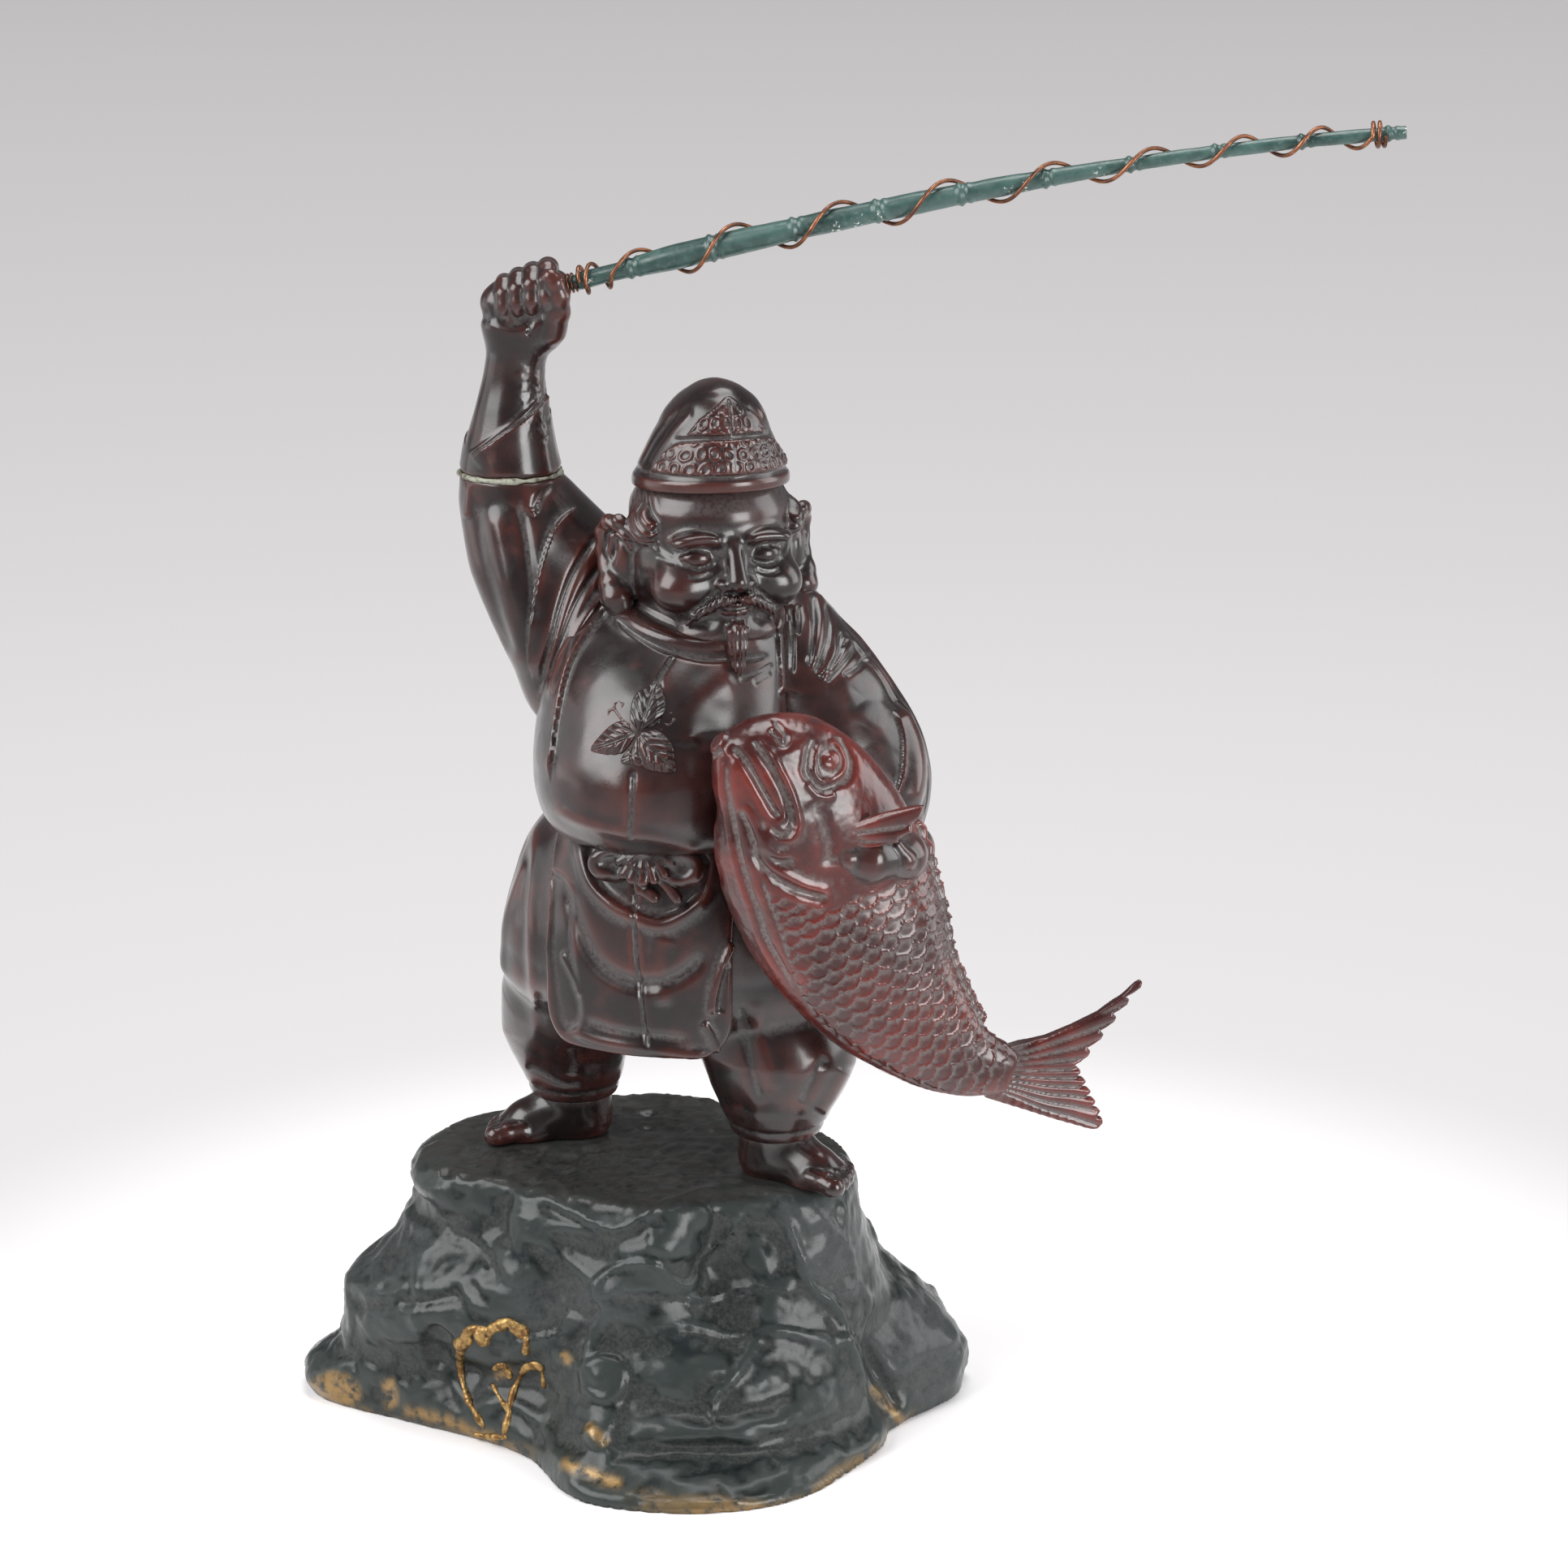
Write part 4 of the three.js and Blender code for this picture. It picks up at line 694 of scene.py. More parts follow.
SOLDER = bare_metal("grey_solder", 0.3, (2.0, 5, 0.4, 0.62), (0.30, 0.31, 0.25), (0.10, 0.085, 0.06),
                    (0.8, 0.45, 0.75), (0.9, 4), 0.15)
COPPER = bare_metal("copper_wire", 0.85, (4, 4, 0.35, 0.65), (0.34, 0.14, 0.075), (0.12, 0.055, 0.035),
                    (1.0, 0.25, 0.5), (0.5, 3), 0.02)

# Torso, skirt, trousers and sleeves

TROUSER_ROWS = [
    (103.7, 29.7, 17, 17.4), (110.9, 41.4, 29.2, 27.3), (122, 45, 34, 31), (137.9, 41.9, 34, 30.4),
    (149, 37.4, 32, 27.9), (157, 31.5, 27.9, 24.2), (168, 24.3, 21.1, 20.5),
]
RIGHT_LEG = [
    (-49.4, 9, 112, 20.3), (-52.6, 13.4, 103, 18.0), (-54.6, 16.5, 95, 15.8), (-53.5, 15, 84, 11.4),
    (-53.5, 15, 77.5, 10),
]
LEFT_LEG = [(-5.6, -8.4, 112, 20.3), (-1.2, -12.5, 96, 18), (-2, -14, 84.5, 12), (-2, -14, 77.5, 10)]
SKIRT_ROWS = [
    (103, 39.4, 39.2, 18), (115, 41, 40, 18), (125.5, 41, 40, 18), (138.5, 38.1, 39.2, 18),
    (148.9, 34.4, 37.6, 18), (158, 30.5, 34.6, 18),
]
ROBE_ROWS = [
    (154.5, 30, 38.6, 26), (158, 32.2, 41.8, 28.2), (163, 33.8, 45, 30), (172.7, 34.5, 46, 32),
    (183.9, 33.5, 41.9, 32), (196.2, 31.7, 34.5, 29.4), (205.7, 27.6, 24.8, 24.3, 2), (213, 19.3, 16.6, 16.6, 4),
    (216, 14, 12, 12, 4),
]
RIGHT_SLEEVE_ROWS = [
    (172, 6, 6.5, 6.5, 22, 9), (180.5, 13.7, 13.7, 13.7, 19.7, 9), (192.2, 17.2, 16.8, 16.8, 17.7, 7),
    (205.2, 19.5, 17.2, 17.2, 13.7, 5), (215, 20.3, 16.8, 16.8, 10.5, 3), (224.7, 19.1, 15.6, 15.6, 7.3, 1),
    (231.9, 16, 13.7, 13.7, 3.3, 0), (239.0, 12.3, 12.2, 12.2, 0, 0),
]
LEFT_SLEEVE_ROWS = [
    (136, 6.5, 7, 7, 16, 17), (138, 7.8, 8.6, 8.6, 16, 17), (146, 14, 14, 14, 17, 16),
    (155, 17.6, 16.9, 16.9, 18.5, 14), (166, 19.5, 17.9, 17.9, 19, 12), (178, 19.5, 17.9, 17.9, 16.5, 9),
    (188.3, 17.9, 17.2, 17.2, 12, 6), (198, 15.6, 16.1, 16.1, 7, 3), (206, 13, 14, 14, 3, 1), (213, 9.2, 9.5, 9.5),
]
FOREARM_ROWS = [
    (239.3, 12.2, 11.8, 11.8), (246.8, 10.7, 10.5, 10.5), (254.9, 8.9, 9, 9, 0.5), (263.1, 7.5, 7.8, 7.8, 1.3),
    (268.2, 7.2, 7.6, 7.6, 1.8), (275, 7.9, 7.9, 7.9, 2.4),
]

trouser_core = Upright(BODY_AXIS, BODY_TURN, TROUSER_ROWS, 3)
skirt_core = Upright(BODY_AXIS, BODY_TURN, SKIRT_ROWS, 0.5)
robe_core = Upright(BODY_AXIS, BODY_TURN, ROBE_ROWS, 3.5)
right_sleeve_core = Upright(ELBOW_AXIS, 0, RIGHT_SLEEVE_ROWS, 1.2)
left_sleeve_core = Upright((-3, 0), 0, LEFT_SLEEVE_ROWS, 3)
forearm_core = Upright(ELBOW_AXIS, 0, FOREARM_ROWS, 1.0)
SKIRT_THICKNESS, SKIRT_SHIFT, SKIRT_HALF_WIDTH, SKIRT_TOP, SKIRT_BACK = 2.4, -1.5, 23.5, 156.7, 8
SKIRT_CORNER_WIDTH, SKIRT_CORNER_HEIGHT, SKIRT_CORNER_TOP = 7, 9, 113.7
COLLAR_MIDDLE, COLLAR_TILT, COLLAR_REACH, COLLAR_RADIUS = (-21.0, -6.0, 210.0), math.radians(17), 20, 2.6
TROUSER_CUFF = 77.3
LEFT_HAND = [
    (24, -25, 154, 5.9), (29.5, -34, 156, 5.7), (27.6, -45, 157.6, 5.5), (20, -52, 159, 5.2), (13.5, -53.6, 161, 3.4),
]
# The first finger's knots, the way to the next finger's, and their radii
LEFT_FINGER = [
    ((29.8, -46.5, 155), (-4.6, -2.4, 0.7), 2.4), ((28.8, -50.6, 158.4), (-4.6, -1.8, 0.6), 2.2),
    ((26.4, -51.6, 162.2), (-4.4, -1.4, 0.3), 1.7),
]


def trousers_field(points):
    legs = smin(chain(points, RIGHT_LEG, 4), chain(points, LEFT_LEG, 4), 2)
    return smax(smin(trouser_core(points), legs, 7), TROUSER_CUFF - points[:, 2], 0.6)


def skirt_field(points):
    """A curved panel with rounded lower corners."""
    away = points - robe_core.axis
    aside = np.abs(away @ robe_core.side - SKIRT_SHIFT)
    bell = skirt_core(points)
    shell = smax(bell, -bell - SKIRT_THICKNESS, 0.6)
    edges = np.maximum(aside - SKIRT_HALF_WIDTH, points[:, 2] - SKIRT_TOP)
    outward = np.maximum(aside - SKIRT_HALF_WIDTH + SKIRT_CORNER_WIDTH, 0)
    downward = np.maximum(SKIRT_CORNER_TOP - points[:, 2], 0) * SKIRT_CORNER_WIDTH / SKIRT_CORNER_HEIGHT
    corner = np.hypot(outward, downward) - SKIRT_CORNER_WIDTH
    return smax(smax(shell, np.maximum(edges, corner), 0.8), SKIRT_BACK - away @ robe_core.ahead, 0.5)


def collar_field(points):
    """A tilted ring round the neck."""
    away = points - np.array(COLLAR_MIDDLE)
    y = away[:, 1] * math.cos(COLLAR_TILT) + away[:, 2] * math.sin(COLLAR_TILT)
    z = -away[:, 1] * math.sin(COLLAR_TILT) + away[:, 2] * math.cos(COLLAR_TILT)
    return np.hypot(np.hypot(away[:, 0], y) - COLLAR_REACH, z) - COLLAR_RADIUS


def robe_field(points):
    return smin(robe_core(points), collar_field(points), 1.6)


def left_hand_field(points):
    field = chain(points, LEFT_HAND, 4)
    for finger in range(4):
        knots = [(*(np.array(first) + finger * np.array(step)), size) for first, step, size in LEFT_FINGER]
        field = smin(field, chain(points, knots, 1.2), 0.8)
    return field


# Folds, seams and hems that the photograph shows, in its pixels

SHOULDER_CLOTH = [
    ("edge", 12, 1.6, 657, 839, 655, 803, 656, 762, 660, 728, 667, 696, 677, 664, 691, 640, 715, 621),
    ("line", 4, -1.0, 737, 657, 718, 686, 702, 716, 690, 750, 681, 786, 671, 822, 664, 858),
    ("line", 4, -0.9, 745, 690, 722, 722, 706, 752, 694, 784, 684, 812, 676, 842),
    ("edge", 10, 1.5, 770, 722, 752, 746, 734, 770, 716, 798, 702, 828, 694, 862, 688, 895, 683, 930, 677, 968),
    ("line", 5, 0.8, 760, 715, 735, 742, 715, 770, 700, 802, 688, 835, 680, 865),
]
ROBE_MARKS = SHOULDER_CLOTH + [
    ("line", 2.6, -0.7, 830, 807, 821, 822, 812, 838, 814, 851),
    ("line", 2.8, -0.7, 780, 948, 778, 992, 777, 1036),
    ("line", 4, -0.8, 768, 724, 780, 740, 806, 759, 836, 772, 862, 779),
    ("line", 4, -0.8, 904, 781, 932, 777, 951, 770, 958, 759),
    ("line", 3.4, -0.8, 755, 757, 777, 777, 806, 794, 836, 805, 866, 812, 895, 812, 925, 811, 951, 807),
    ("line", 9, 0.7, 760, 742, 778, 760, 806, 777, 836, 790, 866, 797, 895, 798, 925, 796, 951, 789),
    ("line", 8, 0.6, 676, 990, 717, 1012, 777, 1028, 817, 1035, 870, 1050),
    ("line", 3, -0.35, 954, 818, 932, 829, 910, 838),
    ("line", 3, -0.3, 951, 829, 928, 842),
    ("line", 16, 0.5, 905, 830, 872, 850, 850, 880, 846, 920),
    ("edge", 9, 1.1, 959, 859, 960, 833, 958, 806, 954, 757),
]
RIGHT_SLEEVE_MARKS = SHOULDER_CLOTH + [
    ("line", 14, 0.8, 610, 620, 618, 680, 632, 750, 650, 830),
    ("line", 5, 0.5, 575, 640, 578, 592),
    ("line", 6, -0.9, 684, 584, 668, 606, 656, 632),
    ("line", 9, -0.7, 588, 612, 592, 670, 608, 740, 634, 816),
    ("line", 7, -0.6, 640, 610, 648, 660, 656, 720, 660, 770),
    ("edge", 12, 0.8, 700, 560, 688, 584, 672, 604, 656, 640),
]
LEFT_SLEEVE_MARKS = [
    ("edge", 10, 1.1, 959, 859, 960, 833, 958, 806, 954, 757),
    ("line", 3.2, -0.6, 975, 744, 977, 790, 976, 833),
    ("line", 2.6, -0.5, 984, 744, 985, 764, 982, 784),
    ("line", 3.4, -0.7, 1000, 729, 1003, 766, 996, 824),
    ("line", 3.4, -0.7, 1016, 742, 1021, 777, 1003, 833),
    ("line", 3.0, -0.6, 1037, 776, 1032, 805, 1021, 830),
    ("line", 3.4, -0.7, 1056, 795, 1036, 820, 1016, 842),
    ("line", 3.4, -0.7, 1072, 804, 1058, 820, 1039, 833),
    ("line", 2.8, -0.5, 1046, 786, 1030, 812, 1008, 838),
    ("line", 8, 0.7, 1009, 725, 1012, 762, 1000, 820),
    ("line", 8, 0.6, 1047, 780, 1034, 812, 1012, 838),
    ("area", 37, -0.72, 1054, 850, 1080, 843, 1104, 852, 1106, 872, 1082, 880, 1056, 870),
    ("area", 27, 0.45, 1068, 822, 1090, 812, 1104, 830, 1098, 848, 1078, 846),
    ("area", 41, -0.65, 1064, 894, 1096, 882, 1120, 902, 1118, 938, 1092, 942, 1068, 920),
    ("line", 10, 1.0, 1108, 860, 1124, 900, 1130, 944, 1124, 992),
    ("edge", 14, 1.0, 1086, 1010, 1108, 960, 1112, 912, 1100, 872),
    ("line", 6, -0.8, 1132, 866, 1144, 910, 1146, 960, 1136, 1010),
]
SKIRT_MARKS = [
    ("area", 9, -1.2, 716, 1015, 730, 1080, 756, 1108, 782, 1122, 811, 1130, 838, 1122, 864, 1100, 872, 1070,
     868, 1055, 820, 1010, 760, 1000),
    ("line", 8, 1.2, 711, 1024, 726, 1084, 754, 1116, 780, 1130, 811, 1140, 840, 1130, 869, 1107, 877, 1090),
    ("line", 10, -1.2, 694, 1084, 714, 1147, 737, 1187, 766, 1207, 800, 1213, 834, 1204, 857, 1187, 869, 1164),
    ("line", 5, 1.3, 904, 1159, 891, 1187, 881, 1221, 877, 1253),
    ("line", 6, -0.9, 897, 1187, 890, 1220, 885, 1250),
    ("line", 4, 0.8, 866, 1259, 877, 1276, 886, 1299),
    ("area", 12, -0.9, 677, 1073, 697, 1090, 703, 1160, 714, 1240, 712, 1262, 697, 1270, 684, 1250, 676, 1187),
    ("line", 4, 0.5, 689, 1173, 703, 1201, 714, 1230),
    ("line", 3, -0.8, 780, 1078, 781, 1130, 784, 1181, 790, 1233, 798, 1299),
    ("line", 4, 0.8, 683, 1010, 673, 1060, 671, 1113, 671, 1187),
    ("line", 6, 0.7, 700, 1268, 740, 1283, 794, 1292, 851, 1300, 880, 1298),
    ("line", 5, -0.5, 716, 1256, 750, 1268, 800, 1276, 850, 1282),
    ("line", 12, 0.5, 820, 1150, 812, 1190, 818, 1240),
]
TROUSER_MARKS = [
    ("line", 7, 0.5, 663, 998, 658, 1049, 655, 1107, 654, 1159, 657, 1227, 663, 1285),
    ("line", 7, -0.4, 650, 1040, 644, 1107, 643, 1159, 647, 1227),
    ("line", 8, 0.9, 1044, 1317, 1028, 1345, 1010, 1373),
    ("line", 7, -0.5, 1020, 1300, 1000, 1330, 985, 1362),
    ("line", 9, 0.4, 930, 1230, 938, 1290, 955, 1350),
    ("line", 7, -0.5, 912, 1235, 922, 1300, 938, 1362),
    ("line", 5, -0.5, 646, 1312, 663, 1321, 689, 1334, 720, 1336),
    ("line", 7, -0.4, 700, 1290, 706, 1308, 704, 1326),
]
FOREARM_MARKS = [
    ("edge", 22, 0.9, 579, 565, 613, 540, 650, 513, 670, 490, 680, 470),
    ("line", 2.6, 0.35, 575, 563, 610, 537, 647, 510, 668, 487),
    ("line", 3, -0.5, 652, 397, 653, 406, 650, 414),
]
# Folds that run on round the sides and the back: degrees from a piece's front, and heights
ROBE_FOLDS = [
    ("line", 1.6, -0.8, 150, 206, 146, 190, 140, 172, 136, 158),
    ("line", 2.4, 0.8, 162, 208, 160, 190, 155, 170, 152, 157),
    ("line", 1.6, -0.8, -150, 206, -147, 188, -142, 170, -138, 157),
    ("line", 2.4, 0.8, -162, 208, -160, 190, -156, 170, -154, 157),
    ("line", 0.7, -0.6, 175, 211, 176, 190, 175, 170, 176, 156),
    ("line", 2.0, -0.7, 120, 196, 118, 182, 114, 168, 112, 157),
    ("line", 2.0, -0.7, -120, 196, -119, 182, -117, 168, -116, 157),
    ("edge", 3.0, 0.8, -98, 160, -104, 176, -112, 192, -124, 206),
    ("line", 1.4, 0.6, 95, 160, 120, 158.6, 150, 158, 174, 158),
    ("line", 1.4, 0.6, -80, 160, -120, 158.6, -150, 158, -174, 158),
]
TROUSER_FOLDS = [
    ("line", 2.2, -0.9, 100, 156, 104, 140, 108, 122, 112, 108),
    ("line", 2.6, 0.8, 118, 156, 122, 138, 124, 122, 124, 108),
    ("line", 2.2, -0.8, 140, 155, 142, 138, 141, 120),
    ("line", 2.4, 0.7, 156, 150, 158, 134, 156, 118),
    ("line", 0.8, -0.9, 176, 158, 177, 140, 176, 122, 177, 106),
    ("line", 2.2, -0.9, -100, 156, -106, 140, -110, 122, -112, 108),
    ("line", 2.6, 0.8, -120, 156, -124, 138, -126, 122, -126, 108),
    ("line", 2.2, -0.8, -144, 155, -146, 136, -144, 118),
    ("line", 2.4, 0.7, -160, 150, -160, 134, -158, 118),
    ("line", 2.0, -0.8, -76, 150, -80, 132, -84, 114),
    ("line", 2.0, 0.6, -62, 146, -66, 128, -70, 112),
    ("line", 2.0, -0.8, 72, 150, 78, 132, 84, 114),
]
SLEEVE_FOLDS = [
    ("line", 1.8, -0.8, 110, 232, 120, 214, 130, 196, 136, 182),
    ("line", 2.2, 0.7, 132, 232, 142, 212, 150, 194, 152, 184),
    ("line", 1.8, -0.8, 160, 230, 164, 212, 168, 194),
    ("line", 2.0, -0.8, -110, 232, -116, 214, -126, 196, -134, 182),
    ("line", 2.4, 0.7, -132, 230, -142, 210, -150, 190),
    ("line", 1.6, -0.7, -156, 226, -164, 208, -168, 190),
]
LEFT_SLEEVE_FOLDS = [
    ("line", 2.0, -0.9, 70, 204, 78, 188, 84, 170, 80, 152),
    ("line", 2.4, 0.8, 92, 206, 98, 186, 100, 166, 96, 148),
    ("line", 2.0, -0.9, 116, 206, 120, 186, 120, 166, 112, 148),
    ("line", 2.2, 0.7, 138, 206, 142, 186, 140, 166, 134, 150),
    ("line", 1.8, -0.8, 160, 204, 162, 184, 160, 164, 152, 148),
    ("line", 1.8, -0.8, -160, 204, -164, 184, -166, 166),
]


def cloth(points, seed):
    """The slight unevenness of wax-modelled cloth."""
    return 0.16 * noise(points, (9, 9, 16), seed) + 0.05 * noise(points, 4, seed + 1)


def robe_relief(points, normals):
    return photo_marks(points, normals, ROBE_MARKS) + wrap_marks(points, robe_core, ROBE_FOLDS) + cloth(points, 51)


def skirt_relief(points, normals):
    return photo_marks(points, normals, SKIRT_MARKS) + cloth(points, 53)


CUFF_SEAM, CUFF_GATHERS = 80.2, 6
GATHERS_LOW, GATHERS_HIGH, CUFF_REACH = (80.5, 85), (108, 90), (27, 16)


def trousers_relief(points, normals):
    """Folds of the ballooned cloth, gathered above both cuffs."""
    total = photo_marks(points, normals, TROUSER_MARKS) + wrap_marks(points, trouser_core, TROUSER_FOLDS)
    height = points[:, 2]
    band = smooth_step(*GATHERS_LOW, height) * smooth_step(*GATHERS_HIGH, height)
    seam = np.exp(-(((height - CUFF_SEAM) / 0.7) ** 2))
    for ankle, seed in ((RIGHT_ANKLE, 55), (LEFT_ANKLE, 56)):
        x, y = (points[:, :2] - np.array(ankle)).T
        near = smooth_step(*CUFF_REACH, np.hypot(x, y))
        gathers = np.sin(np.arctan2(y, x) * CUFF_GATHERS + 2.2 * noise(points, 14, seed))
        total += near * (0.12 * band * gathers - 0.35 * seam)
    return total + cloth(points, 57)


def right_sleeve_relief(points, normals):
    total = photo_marks(points, normals, RIGHT_SLEEVE_MARKS) + wrap_marks(points, right_sleeve_core, SLEEVE_FOLDS)
    return (total + cloth(points, 59)) * smooth_step(ELBOW_HEIGHT - 0.2, ELBOW_HEIGHT - 3, points[:, 2])


def left_sleeve_relief(points, normals):
    total = photo_marks(points, normals, LEFT_SLEEVE_MARKS) + wrap_marks(points, left_sleeve_core, LEFT_SLEEVE_FOLDS)
    return total + cloth(points, 61)


ROUGH_SKIN = ("area", 10, 1.0, 632, 436, 672, 440, 676, 540, 652, 536, 640, 492)
CUFF_LOW, CUFF_SWING, CUFF_TURN = 245.5, 10, 40


def forearm_relief(points, normals):
    """The cuff that hangs back from the wrist, and casting skin left rough beside it."""
    total = photo_marks(points, normals, FOREARM_MARKS)
    rough = mark(to_pixels(points), *ROUGH_SKIN)
    total += rough * (0.16 * layered(points, 1.6, 2, 63) + 0.05)
    around = forearm_core.turn(points)
    cuff_line = CUFF_LOW + CUFF_SWING * (0.5 - 0.5 * np.cos(np.radians(around + CUFF_TURN)))
    back = smooth_step(70, 110, np.abs(around))
    total += 0.8 * back * smooth_step(cuff_line + 0.5, cuff_line - 0.5, points[:, 2])
    return (total + 0.12 * noise(points, 5, 64)) * smooth_step(ELBOW_HEIGHT + 0.5, ELBOW_HEIGHT + 2, points[:, 2])


# Leaf crest on the robe's front: three veined leaves with tendrils, in the photograph's pixels

CREST_LEAVES = [
    ([(787, 901), (777, 889), (776, 878), (779, 863), (785, 853), (795, 847), (809, 839), (818, 856), (820, 871),
      (815, 886), (804, 895), (791, 899)], [(788, 902), (795, 882), (799, 868), (808, 842)]),
    ([(784, 905), (771, 891), (761, 889), (746, 899), (727, 923), (741, 929), (751, 930), (766, 928), (779, 914)],
     [(785, 903), (766, 910), (753, 915), (729, 923)]),
    ([(789, 903), (805, 899), (819, 906), (829, 920), (831, 939), (832, 954), (812, 951), (794, 946), (784, 929),
      (781, 917)], [(787, 903), (798, 918), (808, 927), (831, 952)]),
    ([(779, 918), (766, 933), (766, 941), (777, 943), (790, 944), (791, 937), (785, 927)],
     [(781, 916), (779, 926), (778, 942)]),
]
TENDRILS = [
    [(775, 893), (766, 886), (758, 875), (758, 868), (763, 865), (768, 868), (766, 873)],
    [(765, 885), (757, 873), (751, 876), (750, 882)],
    [(808, 892), (815, 891), (824, 894), (831, 887), (824, 882), (827, 879), (834, 882), (837, 891), (838, 900)],
    [(815, 899), (826, 904), (833, 900)],
]
PIXELS_PER_MM, TENDRIL_RADIUS = 5.15, 0.42
VEINS, VEIN_SLANT, MIDRIB_WIDTH = 4.6, 11.0, 1.9
LEAF_LIFT, LEAF_SWELL, MIDRIB_DEPTH, VEIN_DEPTH = 0.6, 0.95, 0.65, 0.4
FAR = 9.0  # Millimetres, for a field that has nothing in it yet


def inset(spots, line):
    """Distance to a closed line, negative inside it."""
    distance = line_distance(spots, line)[0]
    return np.where(inside_polygon(spots, line), -distance, distance)


def crest_field(points):
    """Leaves and tendrils that stand up from the robe."""
    ground = robe_field(points)
    spots = to_pixels(points)
    field = np.full(len(points), FAR)
    for outline, midrib in CREST_LEAVES:
        edge = inset(spots, smooth_line(outline + outline[:1], 4)) / PIXELS_PER_MM
        away, _, along = line_distance(spots, smooth_line(midrib, 5))
        veins = np.cos(2 * math.pi * (along * VEINS - away / VEIN_SLANT))
        lift = LEAF_LIFT + LEAF_SWELL * smooth_step(0, 2.2, -edge)
        lift -= MIDRIB_DEPTH * np.exp(-((away / MIDRIB_WIDTH) ** 2))
        lift -= VEIN_DEPTH * smooth_step(0.5, 1.0, veins) * smooth_step(1.5, 4.0, away)
        leaf = smax(ground - lift, edge, 0.35)
        field = smin(field, leaf, 0.12)
    for way in TENDRILS:
        knots = [(*found_on(robe_field, pixel), TENDRIL_RADIUS) for pixel in way]
        field = smin(field, chain(points, knots, 0.2), 0.15)
    return smax(field, -ground - 1.0, 0.3)


# Right hand: the grip round the rod

ROD_BUTT = np.array([-49.5, 6.0, 286.3])
ROD_AIM = np.array([0.96337, -0.06895, 0.25915])
FIST_GAP = 4.6


def grip_at(back):
    """The middle of the grip, that far back from the fist's front."""
    return ROD_BUTT - ROD_AIM * (FIST_GAP + back)


FINGERS = [(2.05, 5.2), (2.1, 5.0), (2.0, 4.6), (1.8, 4.2)]  # Radius and curl, the first nearest the rod
FINGER_START, FINGER_PITCH, FINGER_DEPTH = 3.0, 3.6, 1.05
FINGER_SWELLS = [(-20, 0.95), (25, 1.0), (70, 1.08), (110, 1.03), (150, 1.04), (190, 0.98), (215, 0.98)]


def finger_knots(finger):
    """From behind the grip over the top and down its front."""
    x, y, z = grip_at(FINGER_START + FINGER_PITCH * finger)
    radius, curl = FINGERS[finger]
    return [(x, y + math.cos(math.radians(angle)) * curl * FINGER_DEPTH,
             z + math.sin(math.radians(angle)) * curl, radius * swell) for angle, swell in FINGER_SWELLS]


PALM, PALM_RADII = np.array([-61.9, 9.2, 277.8]), (9.4, 7.2, 9.6)
PALM_LUMPS = [((-6.2, -1.8, 1.2), (3.9, 5.4, 7.6), 2), ((5.0, -3.2, -0.6), (4.9, 4.8, 7.6), 1.6)]
THUMB = [(-56.0, 4.6, 274.5, 3.6), (-54.4, 2.6, 279.5, 3.1), (-54.0, 1.2, 283.6, 2.7), (-54.8, 0.3, 287.0, 2.25),
         (-55.8, 0.2, 288.4, 1.9)]
BORE_RADIUS, BORE_DEPTH = 2.0, 14


def forearm_field(points):
    hand = lumps(points - PALM, ellipsoid(points, PALM, PALM_RADII), PALM_LUMPS)
    hand = smin(hand, cone(points, grip_at(15.6), grip_at(1.5), 4.2, 4.4), 1.5)
    field = smin(forearm_core(points), hand, 4.5)
    for finger in range(len(FINGERS)):
        field = smin(field, chain(points, finger_knots(finger), 1.8), 0.3)
    field = smin(field, chain(points, THUMB, 0.8), 0.6)
    return smax(field, -cone(points, grip_at(BORE_DEPTH), grip_at(-3), BORE_RADIUS, BORE_RADIUS), 0.3)


# Head and hat

HEAD_ROWS = [
    (200, 11.3, 10.8, 11), (207, 14.4, 15.5, 13.2), (212.9, 19.0, 19.9, 17.6), (221.3, 20.3, 20.9, 20),
    (229.7, 19.5, 19.7, 19.6), (236.7, 18.7, 19.2, 19), (243, 13.5, 14.2, 14), (247, 6, 6.5, 6.5),
]
HAT_ROWS = [
    (237.0, 18.6, 19.9, 20.2, 0, 1.2), (240.0, 18.8, 20.0, 20.4, 0, 1.4), (243.6, 17.9, 19.2, 20.1, 0, 1.8),
    (248.4, 15.7, 18.0, 19.4, 0, 2.4), (253.4, 13.4, 15.8, 18.0, 0, 3.2), (258.4, 11.4, 12.6, 15.4, 0.4, 4.2),
    (262.6, 7.6, 8.6, 11.0, 0.6, 5.0), (265.2, 3.2, 4.4, 5.5, 0.6, 5.4), (265.9, 1.2, 2.0, 2.4, 0.6, 5.4),
]
EAR_RIM = [
    (20.2, 2.8, 226.0, 1.0), (21.4, 2.6, 229.4, 1.4), (23.0, 0.8, 231.6, 1.7), (24.6, -2.2, 231.2, 1.8),
    (25.4, -4.6, 228.2, 1.8), (25.2, -5.0, 224.0, 1.8), (24.4, -3.4, 219.8, 2.4), (23.8, -1.4, 216.2, 3.5),
    (23.2, 0.0, 213.0, 4.1), (22.8, 0.4, 211.2, 3.5),
]
EAR_FOLD = [(21.6, 0.6, 229, 0.8), (23.4, -2.0, 227.6, 1.0), (23.8, -2.6, 224.0, 1.0), (22.8, -0.8, 220.2, 1.1)]
MOUSTACHE = [
    (0.9, 22.7, 216.0, 0.9), (3.2, 22.6, 215.8, 1.5), (6.4, 21.2, 214.3, 1.5), (9.4, 18.9, 211.8, 1.15),
    (11.0, 17.0, 209.4, 0.5),
]
GOATEE = [
    (0, 20.6, 210.8, 1.3), (0, 21.8, 207.8, 2.5), (0, 22.4, 204, 2.3), (0, 22.9, 199.6, 1.4), (0, 23.0, 195.6, 0.35),
]
